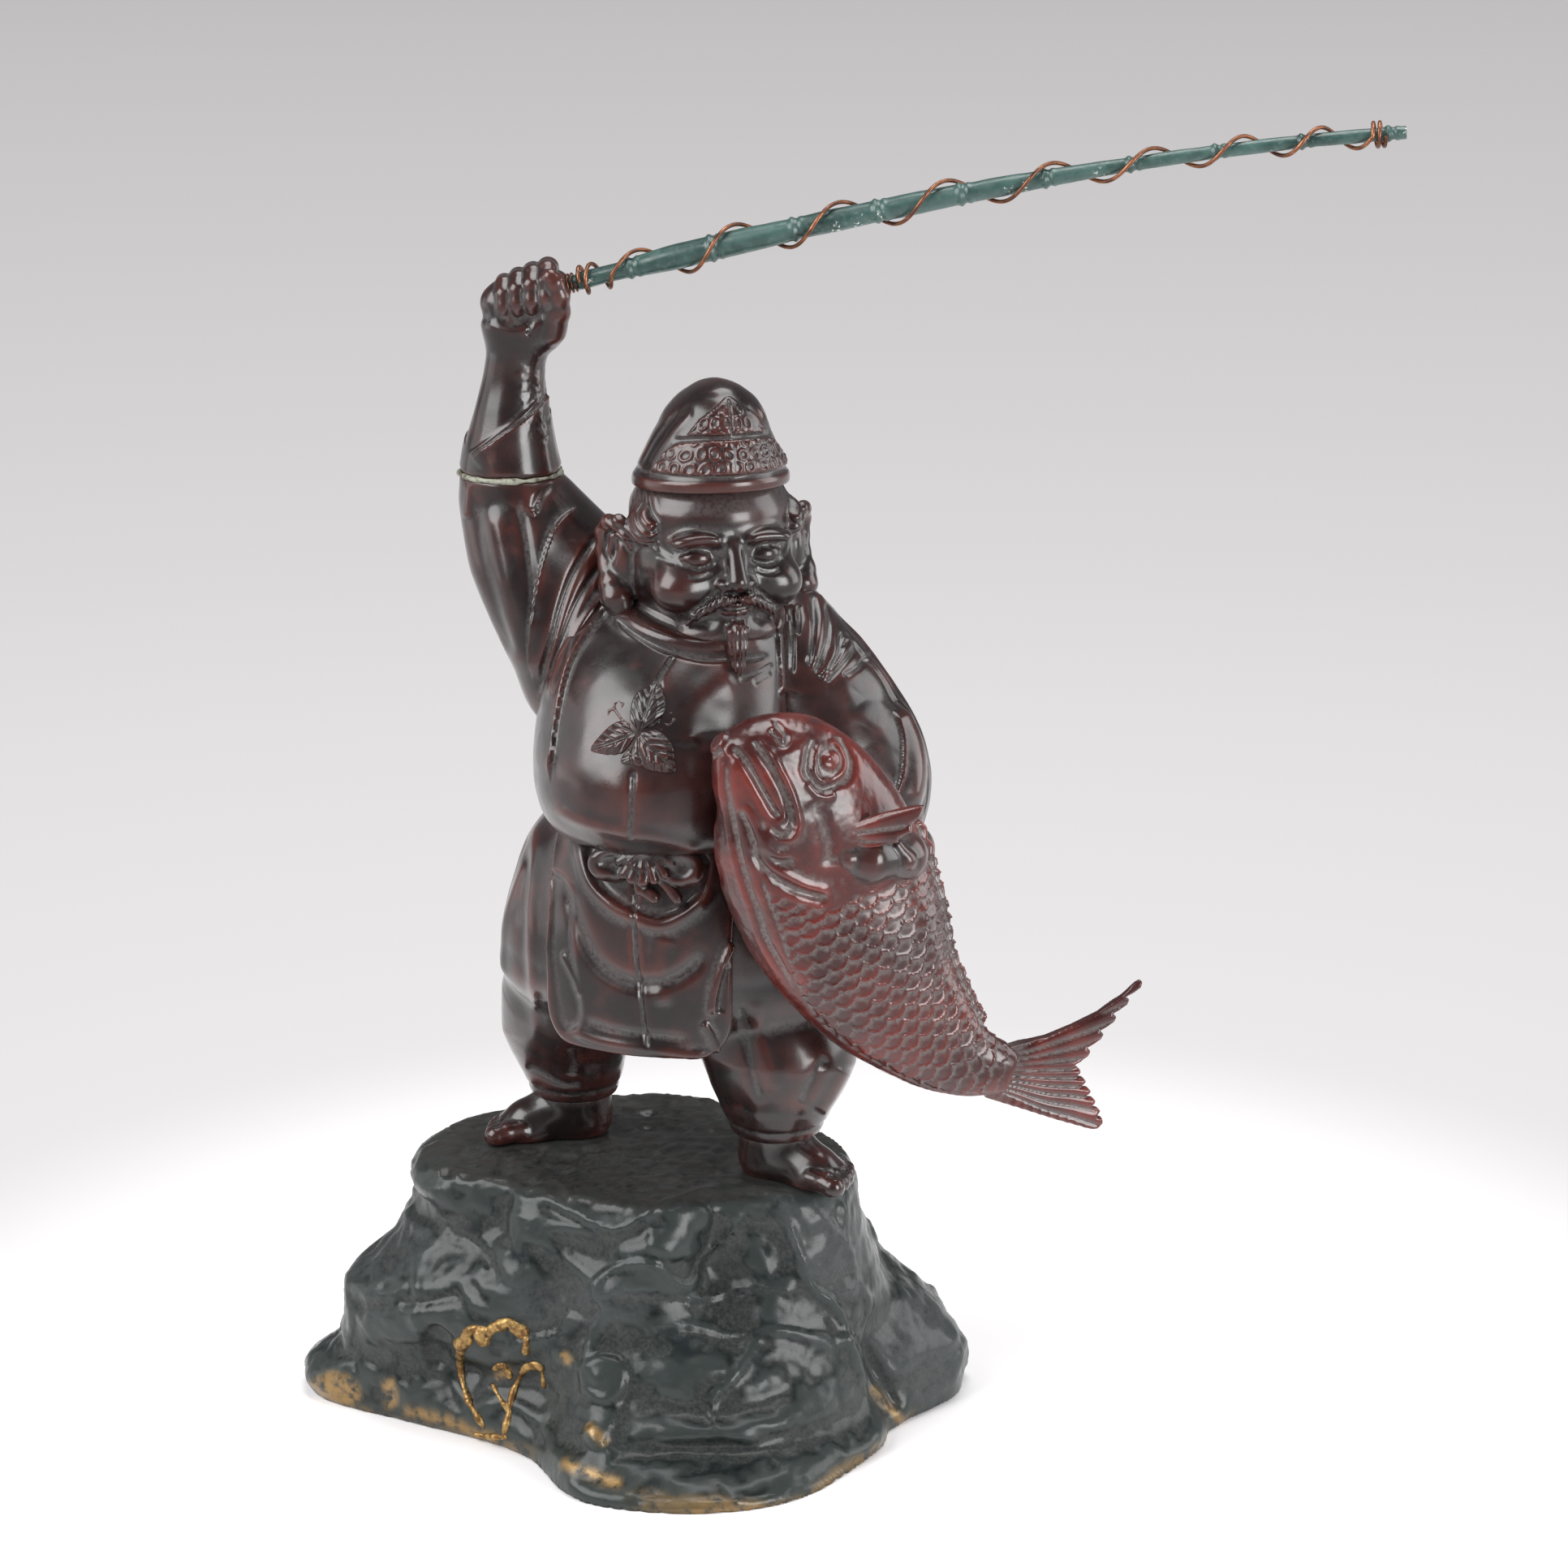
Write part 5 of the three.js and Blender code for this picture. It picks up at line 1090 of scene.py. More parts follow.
# Lumps and hollows on both sides of the head: middle, radii and blend
FACE_FORMS = [
    ((11.6, 14.2, 217.8), (7.0, 6.8, 6.2), 4), ((0, 13.5, 206.6), (12.5, 8, 4.2), 4),
    ((0, 18.4, 209.2), (4.6, 3.4, 3.3), 2.5), ((7.8, 18.0, 229.6), (7.0, 3.0, 1.9), 2.5),
    ((8.2, 21.8, 225.7), (5.4, 3.0, 2.7), -2.2), ((8.2, 16.6, 225.3), (4.3, 3.35, 3.0), 0.7),
]
NOSE_RIDGE, NOSE_WING = ((0, 19.6, 228.4), (0, 23.2, 220.2), 1.5, 2.5), ((2.9, 21.3, 219.0), (2.0, 2.3, 1.9), 1.2)
MOUTH_FORMS = [((1.5, 23.4, 217.2), (0.75, 1.2, 0.8), -0.5), ((0, 17.6, 213.6), (5.6, 4.0, 3.4), 2)]
LIPS = [[(0, 21.5, 214.3, 0.9), (2.4, 21.1, 214.4, 0.75), (5.0, 19.5, 214.3, 0.4)],
        [(0, 21.3, 212.6, 1.05), (2.2, 20.9, 212.9, 0.85), (4.6, 19.4, 213.8, 0.4)]]
EAR_BASE, EAR_HOLLOW = ((20.8, -2.0, 221.6), (3.8, 4.8, 9.6)), ((24.6, -0.9, 225.2), (1.7, 2.6, 4.0), -0.9)
TEMPLE_HAIR, NAPE_HAIR = ((18.2, 5.5, 231.5), (3.2, 6.5, 4.6)), ((0, -8.5, 222), (19.0, 12.6, 13.5), 3)
head_core = Upright(HEAD_AXIS, HEAD_TURN, HEAD_ROWS, 2)
hat_core = Upright(HEAD_AXIS, HEAD_TURN, HAT_ROWS, 1.2)


def head_local(points):
    """Across, ahead and height about the head's axis."""
    away = points - head_core.axis
    return np.stack([away @ head_core.side, away @ head_core.ahead, points[:, 2]], 1)


def both_sides(place):
    return np.column_stack([np.abs(place[:, 0]), place[:, 1:]])


def head_field(points):
    twin = both_sides(head_local(points))
    field = lumps(twin, head_core(points), FACE_FORMS)
    field = smin(field, lumps(twin, cone(twin, *NOSE_RIDGE), [NOSE_WING]), 1.6)
    field = lumps(twin, field, MOUTH_FORMS)
    for lip in LIPS:
        field = smin(field, chain(twin, lip, 0.4), 0.5)
    ear = lumps(twin, ellipsoid(twin, *EAR_BASE), [EAR_HOLLOW])
    ear = smin(ear, chain(twin, EAR_RIM, 0.8), 0.9)
    ear = smin(ear, chain(twin, EAR_FOLD, 0.5), 0.6)
    field = smin(field, ear, 1.0)
    field = smin(field, lumps(twin, ellipsoid(twin, *TEMPLE_HAIR), [NAPE_HAIR]), 1.4)
    field = smin(field, chain(twin, MOUSTACHE, 0.8), 0.5)
    return smin(field, chain(twin, GOATEE, 1.0), 0.7)


# Lids, brows and creases, by the distance from the face's middle and the height
FACE_MARKS = [
    ("line", 0.42, -0.55, 4.4, 225.0, 6.2, 223.9, 8.4, 223.5, 10.6, 224.0, 12.4, 225.3),
    ("line", 0.40, -0.30, 4.6, 226.6, 6.6, 227.9, 9.0, 228.1, 11.4, 227.2, 13.0, 225.8),
    ("line", 0.55, -0.28, 5.0, 222.6, 7.2, 221.4, 9.8, 221.3, 12.0, 222.2),
    ("line", 1.05, 0.50, 3.2, 229.2, 6.0, 230.6, 9.4, 231.0, 12.8, 229.8, 14.6, 228.0),
    ("line", 0.55, -0.45, 3.4, 219.6, 5.4, 217.6, 7.6, 215.4, 8.4, 212.8),
    ("line", 0.40, -0.35, -2, 213.5, 0, 213.5, 2.4, 213.6, 4.6, 214.1, 5.6, 214.6),
    ("line", 0.45, -0.25, -2, 210.6, 0, 210.7, 2.6, 211.1, 4.2, 212.0),
    ("line", 0.45, -0.18, 13.4, 225.6, 15.0, 226.8, 16.4, 228.2),
    ("line", 0.45, -0.18, 13.5, 224.4, 15.2, 224.6, 16.8, 225.2),
]


def head_relief(points, normals):
    """Lids, brows and creases, and combed hair, moustache and beard."""
    place = head_local(points)
    twin = both_sides(place)
    side, ahead, height = twin.T
    front = smooth_step(8, 14, ahead)
    total = sum(mark(twin[:, [0, 2]], *row) for row in FACE_MARKS) * front
    combed = np.sin(side * 5.2 + height * 2.2 + noise(place, 2.5, 31) * 1.2)
    total += 0.16 * combed * smooth_step(0.9, 0.2, chain(twin, MOUSTACHE, 0.8))
    strands = np.sin(place[:, 0] * 5.0 + noise(place, (1.2, 1.2, 5), 32) * 2.5)
    total += 0.2 * strands * smooth_step(0.9, 0.2, chain(place, GOATEE, 1.0)) * smooth_step(212, 209, height)
    locks = np.sin((height * 0.9 + ahead * 0.75) * 2.6 + noise(place, 5, 33) * 2.0)
    temple = smooth_step(15.2, 17.2, side) * smooth_step(226.2, 228.4, height) * smooth_step(-2, 1, ahead)
    total += 0.28 * locks * temple
    around = np.degrees(np.arctan2(place[:, 0], -ahead))
    strands = np.sin(around * 0.42 + noise(place, (6, 6, 16), 34) * 2.4)
    nape = smooth_step(-6, -10, ahead) * smooth_step(209, 212, height) * smooth_step(19.6, 17.5, side)
    return total + 0.22 * strands * nape


BRIM_HEIGHT, BRIM_RISE = 240.0, 0.07
ROLL_HALF_WIDTH, ROLL_DEPTH, ROLL_FORWARD, ROLL_HEIGHT, ROLL_RADIUS = 18.5, 19.8, 1.4, 1.6, 0.3


def above_brim(points):
    """Height over the hat's lower edge, which rises a little to the front."""
    return points[:, 2] - BRIM_HEIGHT - BRIM_RISE * head_local(points)[:, 1]


def hat_field(points):
    """The cap, with a flat roll round its lower edge."""
    x, y, _ = head_local(points).T
    rise = above_brim(points)
    share = np.hypot(x / ROLL_HALF_WIDTH, (y - ROLL_FORWARD) / ROLL_DEPTH)
    reach = np.hypot(x, y - ROLL_FORWARD)
    roll = np.hypot(reach - reach / np.maximum(share, 1e-6), (rise - ROLL_HEIGHT) * 0.35) - ROLL_RADIUS
    return smin(smax(hat_core(points), -rise, 0.8), roll, 0.8)


# Marks on the hat, in millimetres across its front and over its brim
HAT_GIRTH = 0.32  # Millimetres for each degree round it
HAT_FLAP = ("area", 0.8, 1.0, -23, 4.4, -10, 4.2, 0, 4.2, 10, 4.2, 23, 4.4, 21, 9, 17, 11.4, 8, 12.2, 0, 12.3,
            -8, 12.2, -17, 11.4, -21, 9)
HAT_CROWN = ("area", 0.8, 1.0, -15, 13.4, -7, 13.6, 0, 13.6, 7, 13.6, 15, 13.4, 12, 17, 6, 20, 0, 22, -6, 20, -12, 17)
HAT_LINES = [
    ("line", 0.6, -0.35, -1, 12.8, 8, 12.8, 20, 12.0),
    ("line", 0.5, -0.22, -1, 4.0, 28, 4.2, 57, 4.4),
    ("line", 0.38, -0.3, 0, 13, 0, 16, 0, 22),
    ("line", 1.6, 0.35, 25, 5, 22, 12, 15, 19),
    ("line", 1.3, -0.4, 31, 5, 30, 12, 23, 19),
    ("line", 2.0, -0.3, 45, 5, 43, 11, 36, 17),
    ("line", 0.5, -0.3, 56, 5, 55, 12, 53, 20),
]

RING_HEIGHT, RING_PITCH, RING_RADIUS = 5.6, 3.9, 1.3


def dimples(across, up, pitch, radius):
    """Raised rings set in offset rows."""
    row_pitch = pitch * 0.87
    row = np.round(up / row_pitch)
    shift = across / pitch - 0.5 * (row % 2)
    reach = np.hypot((shift - np.round(shift)) * pitch, up - row * row_pitch)
    return np.exp(-(((reach - radius) / 0.34) ** 2)) - 0.6 * smooth_step(radius, radius * 0.4, reach)


def hat_relief(points, normals):
    """A turned-up front flap and a pointed crown above it, both stamped with rings; folds all round."""
    across = hat_core.turn(points) * HAT_GIRTH
    rise = above_brim(points)
    spots = np.stack([across, rise], 1)
    flap, crown = mark(spots, *HAT_FLAP), mark(spots, *HAT_CROWN)
    total = flap * 0.8 + crown * 0.35
    for row in HAT_LINES:
        total += mark(spots, *row) + mark(spots * (-1, 1), *row)
    shaken = across + noise(points, 5, 41) * 0.7, rise - RING_HEIGHT + noise(points, 6, 43) * 0.5
    rings = dimples(*shaken, RING_PITCH, RING_RADIUS)
    stamped = smooth_step(0.3, 0.9, flap + crown) * smooth_step(0.5, 1.2, np.abs(across))
    patchy = smooth_step(-0.75, 0.1, noise(points, 6, 42))
    return total + 0.3 * rings * stamped * patchy * smooth_step(20.5, 18.5, rise)


# Feet

ANKLE_ALONG = 8
# Radius, reach and place across, from the large toe to the small one
TOES = [(3.0, 29.0, -5.6), (2.45, 28.7, -2.0), (2.3, 27.8, 1.2), (2.15, 26.4, 4.2), (2.0, 24.6, 6.8)]
# Cones: ends and radii. Ellipsoids: middle, radii and blend
HEEL, BALL = ((5.5, 0, 4.6), (20, -0.4, 2.2), 7.2, 5.2), ((21, 0.3, 1.2), (8.2, 7.9, 4.8), 4)
ANKLE, INSTEP = ((ANKLE_ALONG, 0, 4), (ANKLE_ALONG, 0, 12), 8.2, 9.4), ((15, -0.8, 5.6), (9, 5.2, 4.6), 4)
SHIN, CUFF_RISE = ((ANKLE_ALONG, 0, 8), (ANKLE_ALONG, 0, 17), 6.6, 6.6), 10.9


class Foot:
    """A bare foot and the leg stub in the trousers' cuff, from the heel along, towards the small toe, and up."""

    def __init__(self, ankle, aim, small_toe_side):
        self.ankle = np.array([*ankle, SOLE])
        self.along = np.array([*aim, 0.0]) / np.linalg.norm(aim)
        self.across = np.cross(self.along, (0, 0, 1)) * small_toe_side

    def local(self, points):
        away = points - self.ankle
        return np.stack([away @ self.along + ANKLE_ALONG, away @ self.across, away[:, 2]], 1)

    def __call__(self, points):
        place = self.local(points)
        field = lumps(place, cone(place, *HEEL), [BALL])
        field = smin(field, smax(cone(place, *ANKLE), place[:, 2] - CUFF_RISE, 0.5), 3)
        field = lumps(place, smin(field, cone(place, *SHIN), 0.4), [INSTEP])
        for size, reach, aside in TOES:
            knots = [(reach - 6.5, aside * 0.9, 2.6, size), (reach - 2.4, aside, 2.5, size * 0.9),
                     (reach, aside * 1.02, 1.9, size)]
            nail = ((reach + 0.4, aside * 1.02, 1.9 + size), (size * 0.62, size * 0.55, 0.5), -0.25)
            field = lumps(place, smin(field, chain(place, knots, 0.7), 0.6), [nail])
        return smax(field, -place[:, 2], 0.5)


right_foot = Foot(RIGHT_ANKLE, (-0.98, -0.2), 1)
left_foot = Foot(LEFT_ANKLE, (0.82, -0.57), -1)


# Fish: positions along a bent spine

SPINE = [
    (0.00, -15, -55, 188, 3.0, 3.0), (0.04, -12, -54, 186, 8.6, 6.4), (0.10, -6, -51.5, 181.5, 15.2, 9.7),
    (0.20, 0, -48.5, 174.5, 20.3, 12.2), (0.30, 5, -46, 165, 23.3, 13.6), (0.40, 9, -44, 155, 24.5, 14),
    (0.57, 16.5, -42, 137.5, 23, 12.9), (0.76, 28, -38, 118, 16.9, 9.8), (0.92, 44, -32.5, 102.5, 9.8, 5.9),
    (1.00, 54, -30, 98.5, 6.1, 3.8),
]

FISH_FLANK = (0.25, -0.96, 0.05)
SPINE_POINTS, ROUNDS_ONTO_SPINE = 90, 3


class Fish:
    """Places about a bent spine, whose rows are share, x, y, z, half-height and half-thickness."""

    def __init__(self):
        rows = Table(SPINE)(np.linspace(0, 1, SPINE_POINTS))
        flank = unit(np.array(FISH_FLANK))
        self.line, self.sizes = rows[:, :3], rows[:, 3:]
        self.way = unit(np.gradient(self.line, axis=0))
        self.back = unit(np.cross(flank, self.way))
        self.back *= np.sign(self.back[:, :1])
        self.out = np.cross(self.back, self.way)
        self.out *= np.sign(self.out @ flank)[:, None]
        steps = np.linalg.norm(np.diff(self.line, axis=0), axis=1)
        self.length = np.concatenate([[0], np.cumsum(steps)])

    def local(self, points):
        """The way along the spine, up to the back, out of the flank, past the ends, and both half-sizes there."""
        def between(rows):
            return rows[low] * (1 - share) + rows[low + 1] * share

        last = len(self.line) - 1
        place = np.argmin((self.line**2).sum(1) - 2 * points @ self.line.T, axis=1)
        past = ((points - self.line[place]) * self.way[place]).sum(1)
        for _ in range(ROUNDS_ONTO_SPINE):
            place = np.clip(place + past * last / self.length[-1], 0, last)
            low = np.minimum(place.astype(int), last - 1)
            share = (place - low)[:, None]
            away = points - between(self.line)
            past = (away * between(self.way)).sum(1)
        travelled = self.length[low] + share[:, 0] * (self.length[low + 1] - self.length[low]) + past
        up, out = ((away * between(rows)).sum(1) for rows in (self.back, self.out))
        return travelled, up, out, past, *between(self.sizes).T


fish = Fish()
EYE, EYE_RADIUS = (1022, 937), 13
PUPIL, PUPIL_RADIUS = (1019, 934), 5.5

FAR_FLANK, BELLY_SWELL, FISH_POWER = 0.96, 0.08, 2.15


def fish_field(points):
    """The body, its section a little squarer than an ellipse and fuller at the belly."""
    _, up, out, past, tall, thick = fish.local(points)
    thick = thick * np.where(out > 0, 1.0, FAR_FLANK) * (1 + BELLY_SWELL * smooth_step(0.0, -1.0, up / tall))
    share = (np.abs(up / tall) ** FISH_POWER + np.abs(out / thick) ** FISH_POWER) ** (1 / FISH_POWER) + 1e-6
    reach = np.hypot(up, out) + 1e-6
    return smax(reach - reach / share, np.abs(past) - 1.2, 1.5)


SCALE_ALONG, SCALE_ACROSS, SCALE_REACH, RIM_WIDTH, GAP_WIDTH = 3.2, 4.3, 2.45, 0.45, 0.5


def scales(along, across):
    """Overlapping scales in offset columns, each rising to a free edge towards the tail, and the gaps under them."""
    rise, gap = np.zeros(len(along)), np.zeros(len(along))
    open_yet = np.ones(len(along), bool)
    for shift in range(2, -2, -1):
        column = np.floor(along / SCALE_ALONG) - shift
        offset = 0.5 * (column % 2)
        row = np.round(across / SCALE_ACROSS - offset) + offset
        x = along - column * SCALE_ALONG
        y = across - row * SCALE_ACROSS
        reach = np.hypot(np.maximum(x, 0), y)
        inside = (reach < SCALE_REACH) & (x > -2 * SCALE_ALONG) & open_yet
        tilt = np.clip((x + SCALE_ALONG) / (SCALE_REACH + SCALE_ALONG), 0, 1)
        rim = np.exp(-(((SCALE_REACH - reach) / RIM_WIDTH) ** 2))
        shape = 0.6 * tilt + 0.28 * rim - 0.12 * (y / SCALE_ACROSS * 2) ** 2
        rise[inside] = shape[inside]
        under = np.exp(-(((reach - SCALE_REACH) / GAP_WIDTH) ** 2)) * (x > -0.6)
        gap = np.maximum(gap, np.where(open_yet & ~inside, under, 0))
        open_yet &= ~inside
    return rise, gap


FISH_MARKS = [
    ("line", 5, -1.3, 897, 919, 914, 932, 929, 955, 942, 978, 954, 998, 964, 1010),
    ("line", 5, -0.9, 924, 909, 939, 927, 955, 952, 968, 978, 974, 1003, 970, 1016, 962, 1010),
    ("line", 4, 0.5, 930, 910, 948, 925, 963, 951, 975, 976, 982, 1000, 985, 1016, 978, 1032, 962, 1037),
    ("edge", 14, 1.0, 946, 1016, 952, 1028, 962, 1033, 973, 1030, 979, 1016, 976, 998, 969, 975, 957, 950, 942, 924),
    ("line", 6, -0.9, 908, 996, 919, 1016, 928, 1036, 942, 1054, 957, 1063, 973, 1062, 982, 1058),
    ("line", 5, 0.5, 915, 990, 927, 1010, 937, 1030, 948, 1046, 960, 1054, 975, 1053),
    ("line", 6, -1.1, 924, 1043, 934, 1061, 950, 1079, 968, 1091, 988, 1100, 1008, 1105, 1024, 1107),
    ("line", 6, 0.7, 930, 1034, 942, 1053, 958, 1070, 976, 1082, 995, 1091, 1012, 1096, 1026, 1098),
    ("line", 4, -1.0, 950, 891, 955, 890, 962, 899, 969, 909, 965, 917, 957, 906, 948, 896),
    ("line", 7, -0.9, 1019, 904, 1034, 911, 1044, 927, 1048, 942, 1044, 958, 1029, 965, 1013, 973, 1001, 962,
     994, 950, 996, 937, 999, 921, 1008, 909),
    ("line", 4, 0.7, 1019, 911, 1032, 916, 1039, 929, 1041, 942, 1036, 955, 1024, 963, 1011, 963, 1003, 953,
     1002, 940, 1005, 924, 1012, 914),
    ("line", 5, 0.6, 994, 962, 1003, 974, 1015, 981, 1030, 979),
    ("line", 6, -0.8, 890, 924, 894, 942, 895, 973, 904, 1019, 914, 1064, 924, 1098, 934, 1126, 942, 1154, 955, 1179,
     973, 1210, 988, 1238),
    ("line", 5, 0.5, 884, 930, 888, 950, 889, 980, 898, 1024, 908, 1068, 918, 1102, 928, 1132, 937, 1160, 950, 1186,
     968, 1216),
    ("line", 5, -0.8, 890, 922, 873, 934, 866, 942),
    ("line", 10, -0.5, 1000, 985, 1012, 1010, 1020, 1040, 1022, 1070),
]


def dome(points, normals, middle, radius, height):
    """A dome at a pixel of the photograph."""
    reach = np.linalg.norm(to_pixels(points) - np.array(middle), axis=1) / radius
    return height * np.sqrt(np.clip(1 - reach**2, 0, 1)) * smooth_step(0.0, 0.2, normals @ CAMERA_BACK)


GILL_END, SCALES_END, BELLY_BAND = 48.5, 114, -0.66


def fish_coat(points):
    """The scales' height and gaps, and the share of the flank that they cover."""
    travelled, up, out, _, tall, thick = fish.local(points)
    girth = np.arctan2(up / tall, out / thick) * (tall * 0.62 + thick * 0.38)
    collar = GILL_END + 0.14 * np.maximum(up, 0) + 0.95 * np.minimum(up + 4, 0)
    band_edge = BELLY_BAND - 0.2 * smooth_step(45, 75, travelled)
    covered = smooth_step(0, 2, travelled - collar) * smooth_step(SCALES_END + 6, SCALES_END, travelled)
    covered = covered * smooth_step(band_edge - 0.05, band_edge + 0.02, up / tall)
    small = smooth_step(0.72, 0.86, up / tall)
    rise, gap = scales(travelled + noise(points, 14, 51) * 0.4, girth + noise(points, 16, 52) * 0.4)
    groove = np.exp(-(((up / tall - band_edge + 0.02) / 0.03) ** 2)) * smooth_step(16, 30, travelled)
    return (rise * (1.2 - 0.45 * small) - 0.55) * covered - 0.35 * groove, gap * covered, covered


def fish_relief(points, normals):
    """Scales, the head's carving, the eye and its pupil."""
    coat, _, covered = fish_coat(points)
    total = coat + photo_marks(points, normals, FISH_MARKS)
    total += dome(points, normals, EYE, EYE_RADIUS, 1.0) + dome(points, normals, PUPIL, PUPIL_RADIUS, 0.5)
    return total + layered(points, 3.5, 3, 53) * 0.16 * (1 - covered) + layered(points, 2.2, 2, 54) * 0.05


def fish_dust(points, normals):
    """Dust in the gaps under the scales."""
    return {"hollow": fish_coat(points)[1] * 0.8}


BACK_FIN_START, BACK_FIN_END, SPIKE_PITCH, SPIKE_BASE, FRINGE_HALF_WIDTH = 44, 108, 4.4, 1.2, 2.0


def back_fin_field(points):
    """The folded back fin: a scalloped fringe along the back."""
    travelled, up, out, _, tall, _ = fish.local(points)
    spikes = np.abs(((travelled / SPIKE_PITCH) % 1) - 0.5) * 2
    tip = tall + SPIKE_BASE + (1 - spikes) ** 0.7
    outside = np.maximum.reduce([up - tip, tall * 0.8 - up, BACK_FIN_START - travelled, travelled - BACK_FIN_END])
    return smax(outside, np.abs(out) - FRINGE_HALF_WIDTH - 0.3 * spikes, 1.0)


def whole_fish_field(points):
    return smin(fish_field(points), back_fin_field(points), 0.8)


class FlatFin:
    """A fin from an outline in its own plane: along, aside and through."""

    def __init__(self, root, turn, outline, root_thickness, edge_thickness, reach):
        angle = math.radians(turn)
        self.root = np.array(root, float)
        self.along = np.array([math.cos(angle), math.sin(angle), 0.0])
        self.through = np.array([math.sin(angle), -math.cos(angle), 0.0])
        self.outline = np.array(outline + outline[:1], float)
        self.root_thickness, self.edge_thickness, self.reach = root_thickness, edge_thickness, reach

    def local(self, points):
        away = points - self.root
        return away @ self.along, away[:, 2], away @ self.through

    def thickness(self, along):
        share = np.clip(along / self.reach, 0, 1)
        return self.root_thickness + (self.edge_thickness - self.root_thickness) * share

    def __call__(self, points):
        along, aside, through = self.local(points)
        flat = inset(np.stack([along, aside], 1), self.outline)
        return smax(flat, np.abs(through) - self.thickness(along) / 2, 0.7)

    def turn(self, points, centre):
        """Degrees about a centre behind the root, from straight along the fin."""
        along, aside, _ = self.local(points)
        return np.degrees(np.arctan2(aside - centre[1], along - centre[0]))

    def faces(self, normals):
        """One on the fin's two flat faces, none on its edges."""
        return smooth_step(0.3, 0.8, np.abs(normals @ self.through))


TAIL_LENGTH, TAIL_HEIGHT = 38, 20
TAIL_UPPER = [(-0.08, 0.15), (0.08, 0.27), (0.22, 0.32), (0.37, 0.375), (0.54, 0.50), (0.71, 0.65), (0.86, 0.84),
              (0.95, 1.0), (0.985, 1.03)]
TAIL_LOWER = [(0.75, -0.725), (0.755, -0.80), (0.72, -0.86), (0.67, -0.855), (0.44, -0.70), (0.21, -0.525),
              (-0.03, -0.35), (-0.1, -0.15)]
TAIL_REAR = [(1, 1), (0.58, -0.05), (0.75, -0.725)]
# One scallop of the rear edge: share of the way along it and pull to the rear
SCALLOP, SCALLOPS = [(0.0, 0.0), (0.3, 0.012), (0.6, -0.012), (0.8, -0.04), (0.92, -0.03)], 5


def tail_outline():
    """Two pointed lobes and a scalloped rear edge, rounded at their tips."""
    rear = []
    for start, end in zip(TAIL_REAR, TAIL_REAR[1:]):
        for step in range(SCALLOPS):
            for share, pull in SCALLOP:
                part = (step + share) / SCALLOPS
                rear.append((start[0] + (end[0] - start[0]) * part + pull, start[1] + (end[1] - start[1]) * part))
    return [(TAIL_LENGTH * along, TAIL_HEIGHT * aside) for along, aside in TAIL_UPPER + rear + TAIL_LOWER]


tail_fin = FlatFin((50, -30, 99), 10, tail_outline(), 4.2, 2.0, 34)
TAIL_CENTRE, TAIL_RAYS = (-9, -0.5), 38


def tail_relief(points, normals):
    """Rays that fan out from the root, with thick outer edges crossed by fine rings."""
    along, aside, _ = tail_fin.local(points)
    turn = tail_fin.turn(points, TAIL_CENTRE)
    rays = np.abs(np.sin(np.radians(turn * TAIL_RAYS) + noise(points, 9, 61) * 0.9))
    edge = smooth_step(26, 31, turn) + smooth_step(-23, -28, turn)
    ridge = 0.5 * edge * (1 + 0.25 * np.sin(np.hypot(aside, along - TAIL_CENTRE[0]) * 2.6))
    return (0.65 * rays**0.7 * (1 - edge) + ridge - 0.42) * tail_fin.faces(normals) * smooth_step(-1, 5, along)


PECTORAL_SIZE = 20
PECTORAL = [(-0.55, -0.10), (-0.25, 0.15), (0.05, 0.275), (0.45, 0.395), (0.55, 0.40), (0.50, 0.26), (0.40, 0.16),
            (0.40, 0.075), (0.26, 0.01), (0.24, -0.07), (0, -0.13), (-0.3, -0.18)]
pectoral_fin = FlatFin((22, -55.5, 166), -14, [(PECTORAL_SIZE * along, PECTORAL_SIZE * aside)
                                              for along, aside in PECTORAL], 3.0, 1.8, 12)
PECTORAL_CENTRE, PECTORAL_RAYS = (-15, -1.5), 16


def pectoral_relief(points, normals):
    rays = np.abs(np.sin(np.radians(pectoral_fin.turn(points, PECTORAL_CENTRE) * PECTORAL_RAYS)))
    return (0.5 * rays - 0.2) * pectoral_fin.faces(normals)


# Bow: gathered loops, a knot and two tails under the robe's hem

BOW_LOOPS = [((754, 1064), (5.8, 4.6)), ((838, 1071), (6.0, 4.9))]
BOW_KNOT, BOW_PLEATS = (794, 1046), 15
BOW_TAILS = [[(789, 1056), (784, 1078), (790, 1096), (806, 1106)], [(799, 1056), (812, 1082), (834, 1107)]]
BOW_GATHERS = [[(788, 1048), (776, 1052), (764, 1060)], [(789, 1051), (778, 1062), (769, 1076)],
               [(792, 1053), (786, 1068), (779, 1083)], [(795, 1054), (794, 1070), (793, 1086)],
               [(798, 1053), (803, 1068), (807, 1083)], [(800, 1051), (812, 1062), (820, 1076)],
               [(801, 1048), (814, 1052), (827, 1062)]]


def on_skirt(pixel, lift):
    """A point that far in front of the skirt, where the photograph shows it at that pixel."""
    return found_on(skirt_core, pixel) + CAMERA_BACK * lift


# Ways on the skirt: radii and lifts at their two ends
BOW_WAYS = [(way, (1.3, 1.5), (1.4, 0.8)) for way in BOW_TAILS]
BOW_WAYS += [(way, (0.9, 1.35), (2.8, 2.0)) for way in BOW_GATHERS]


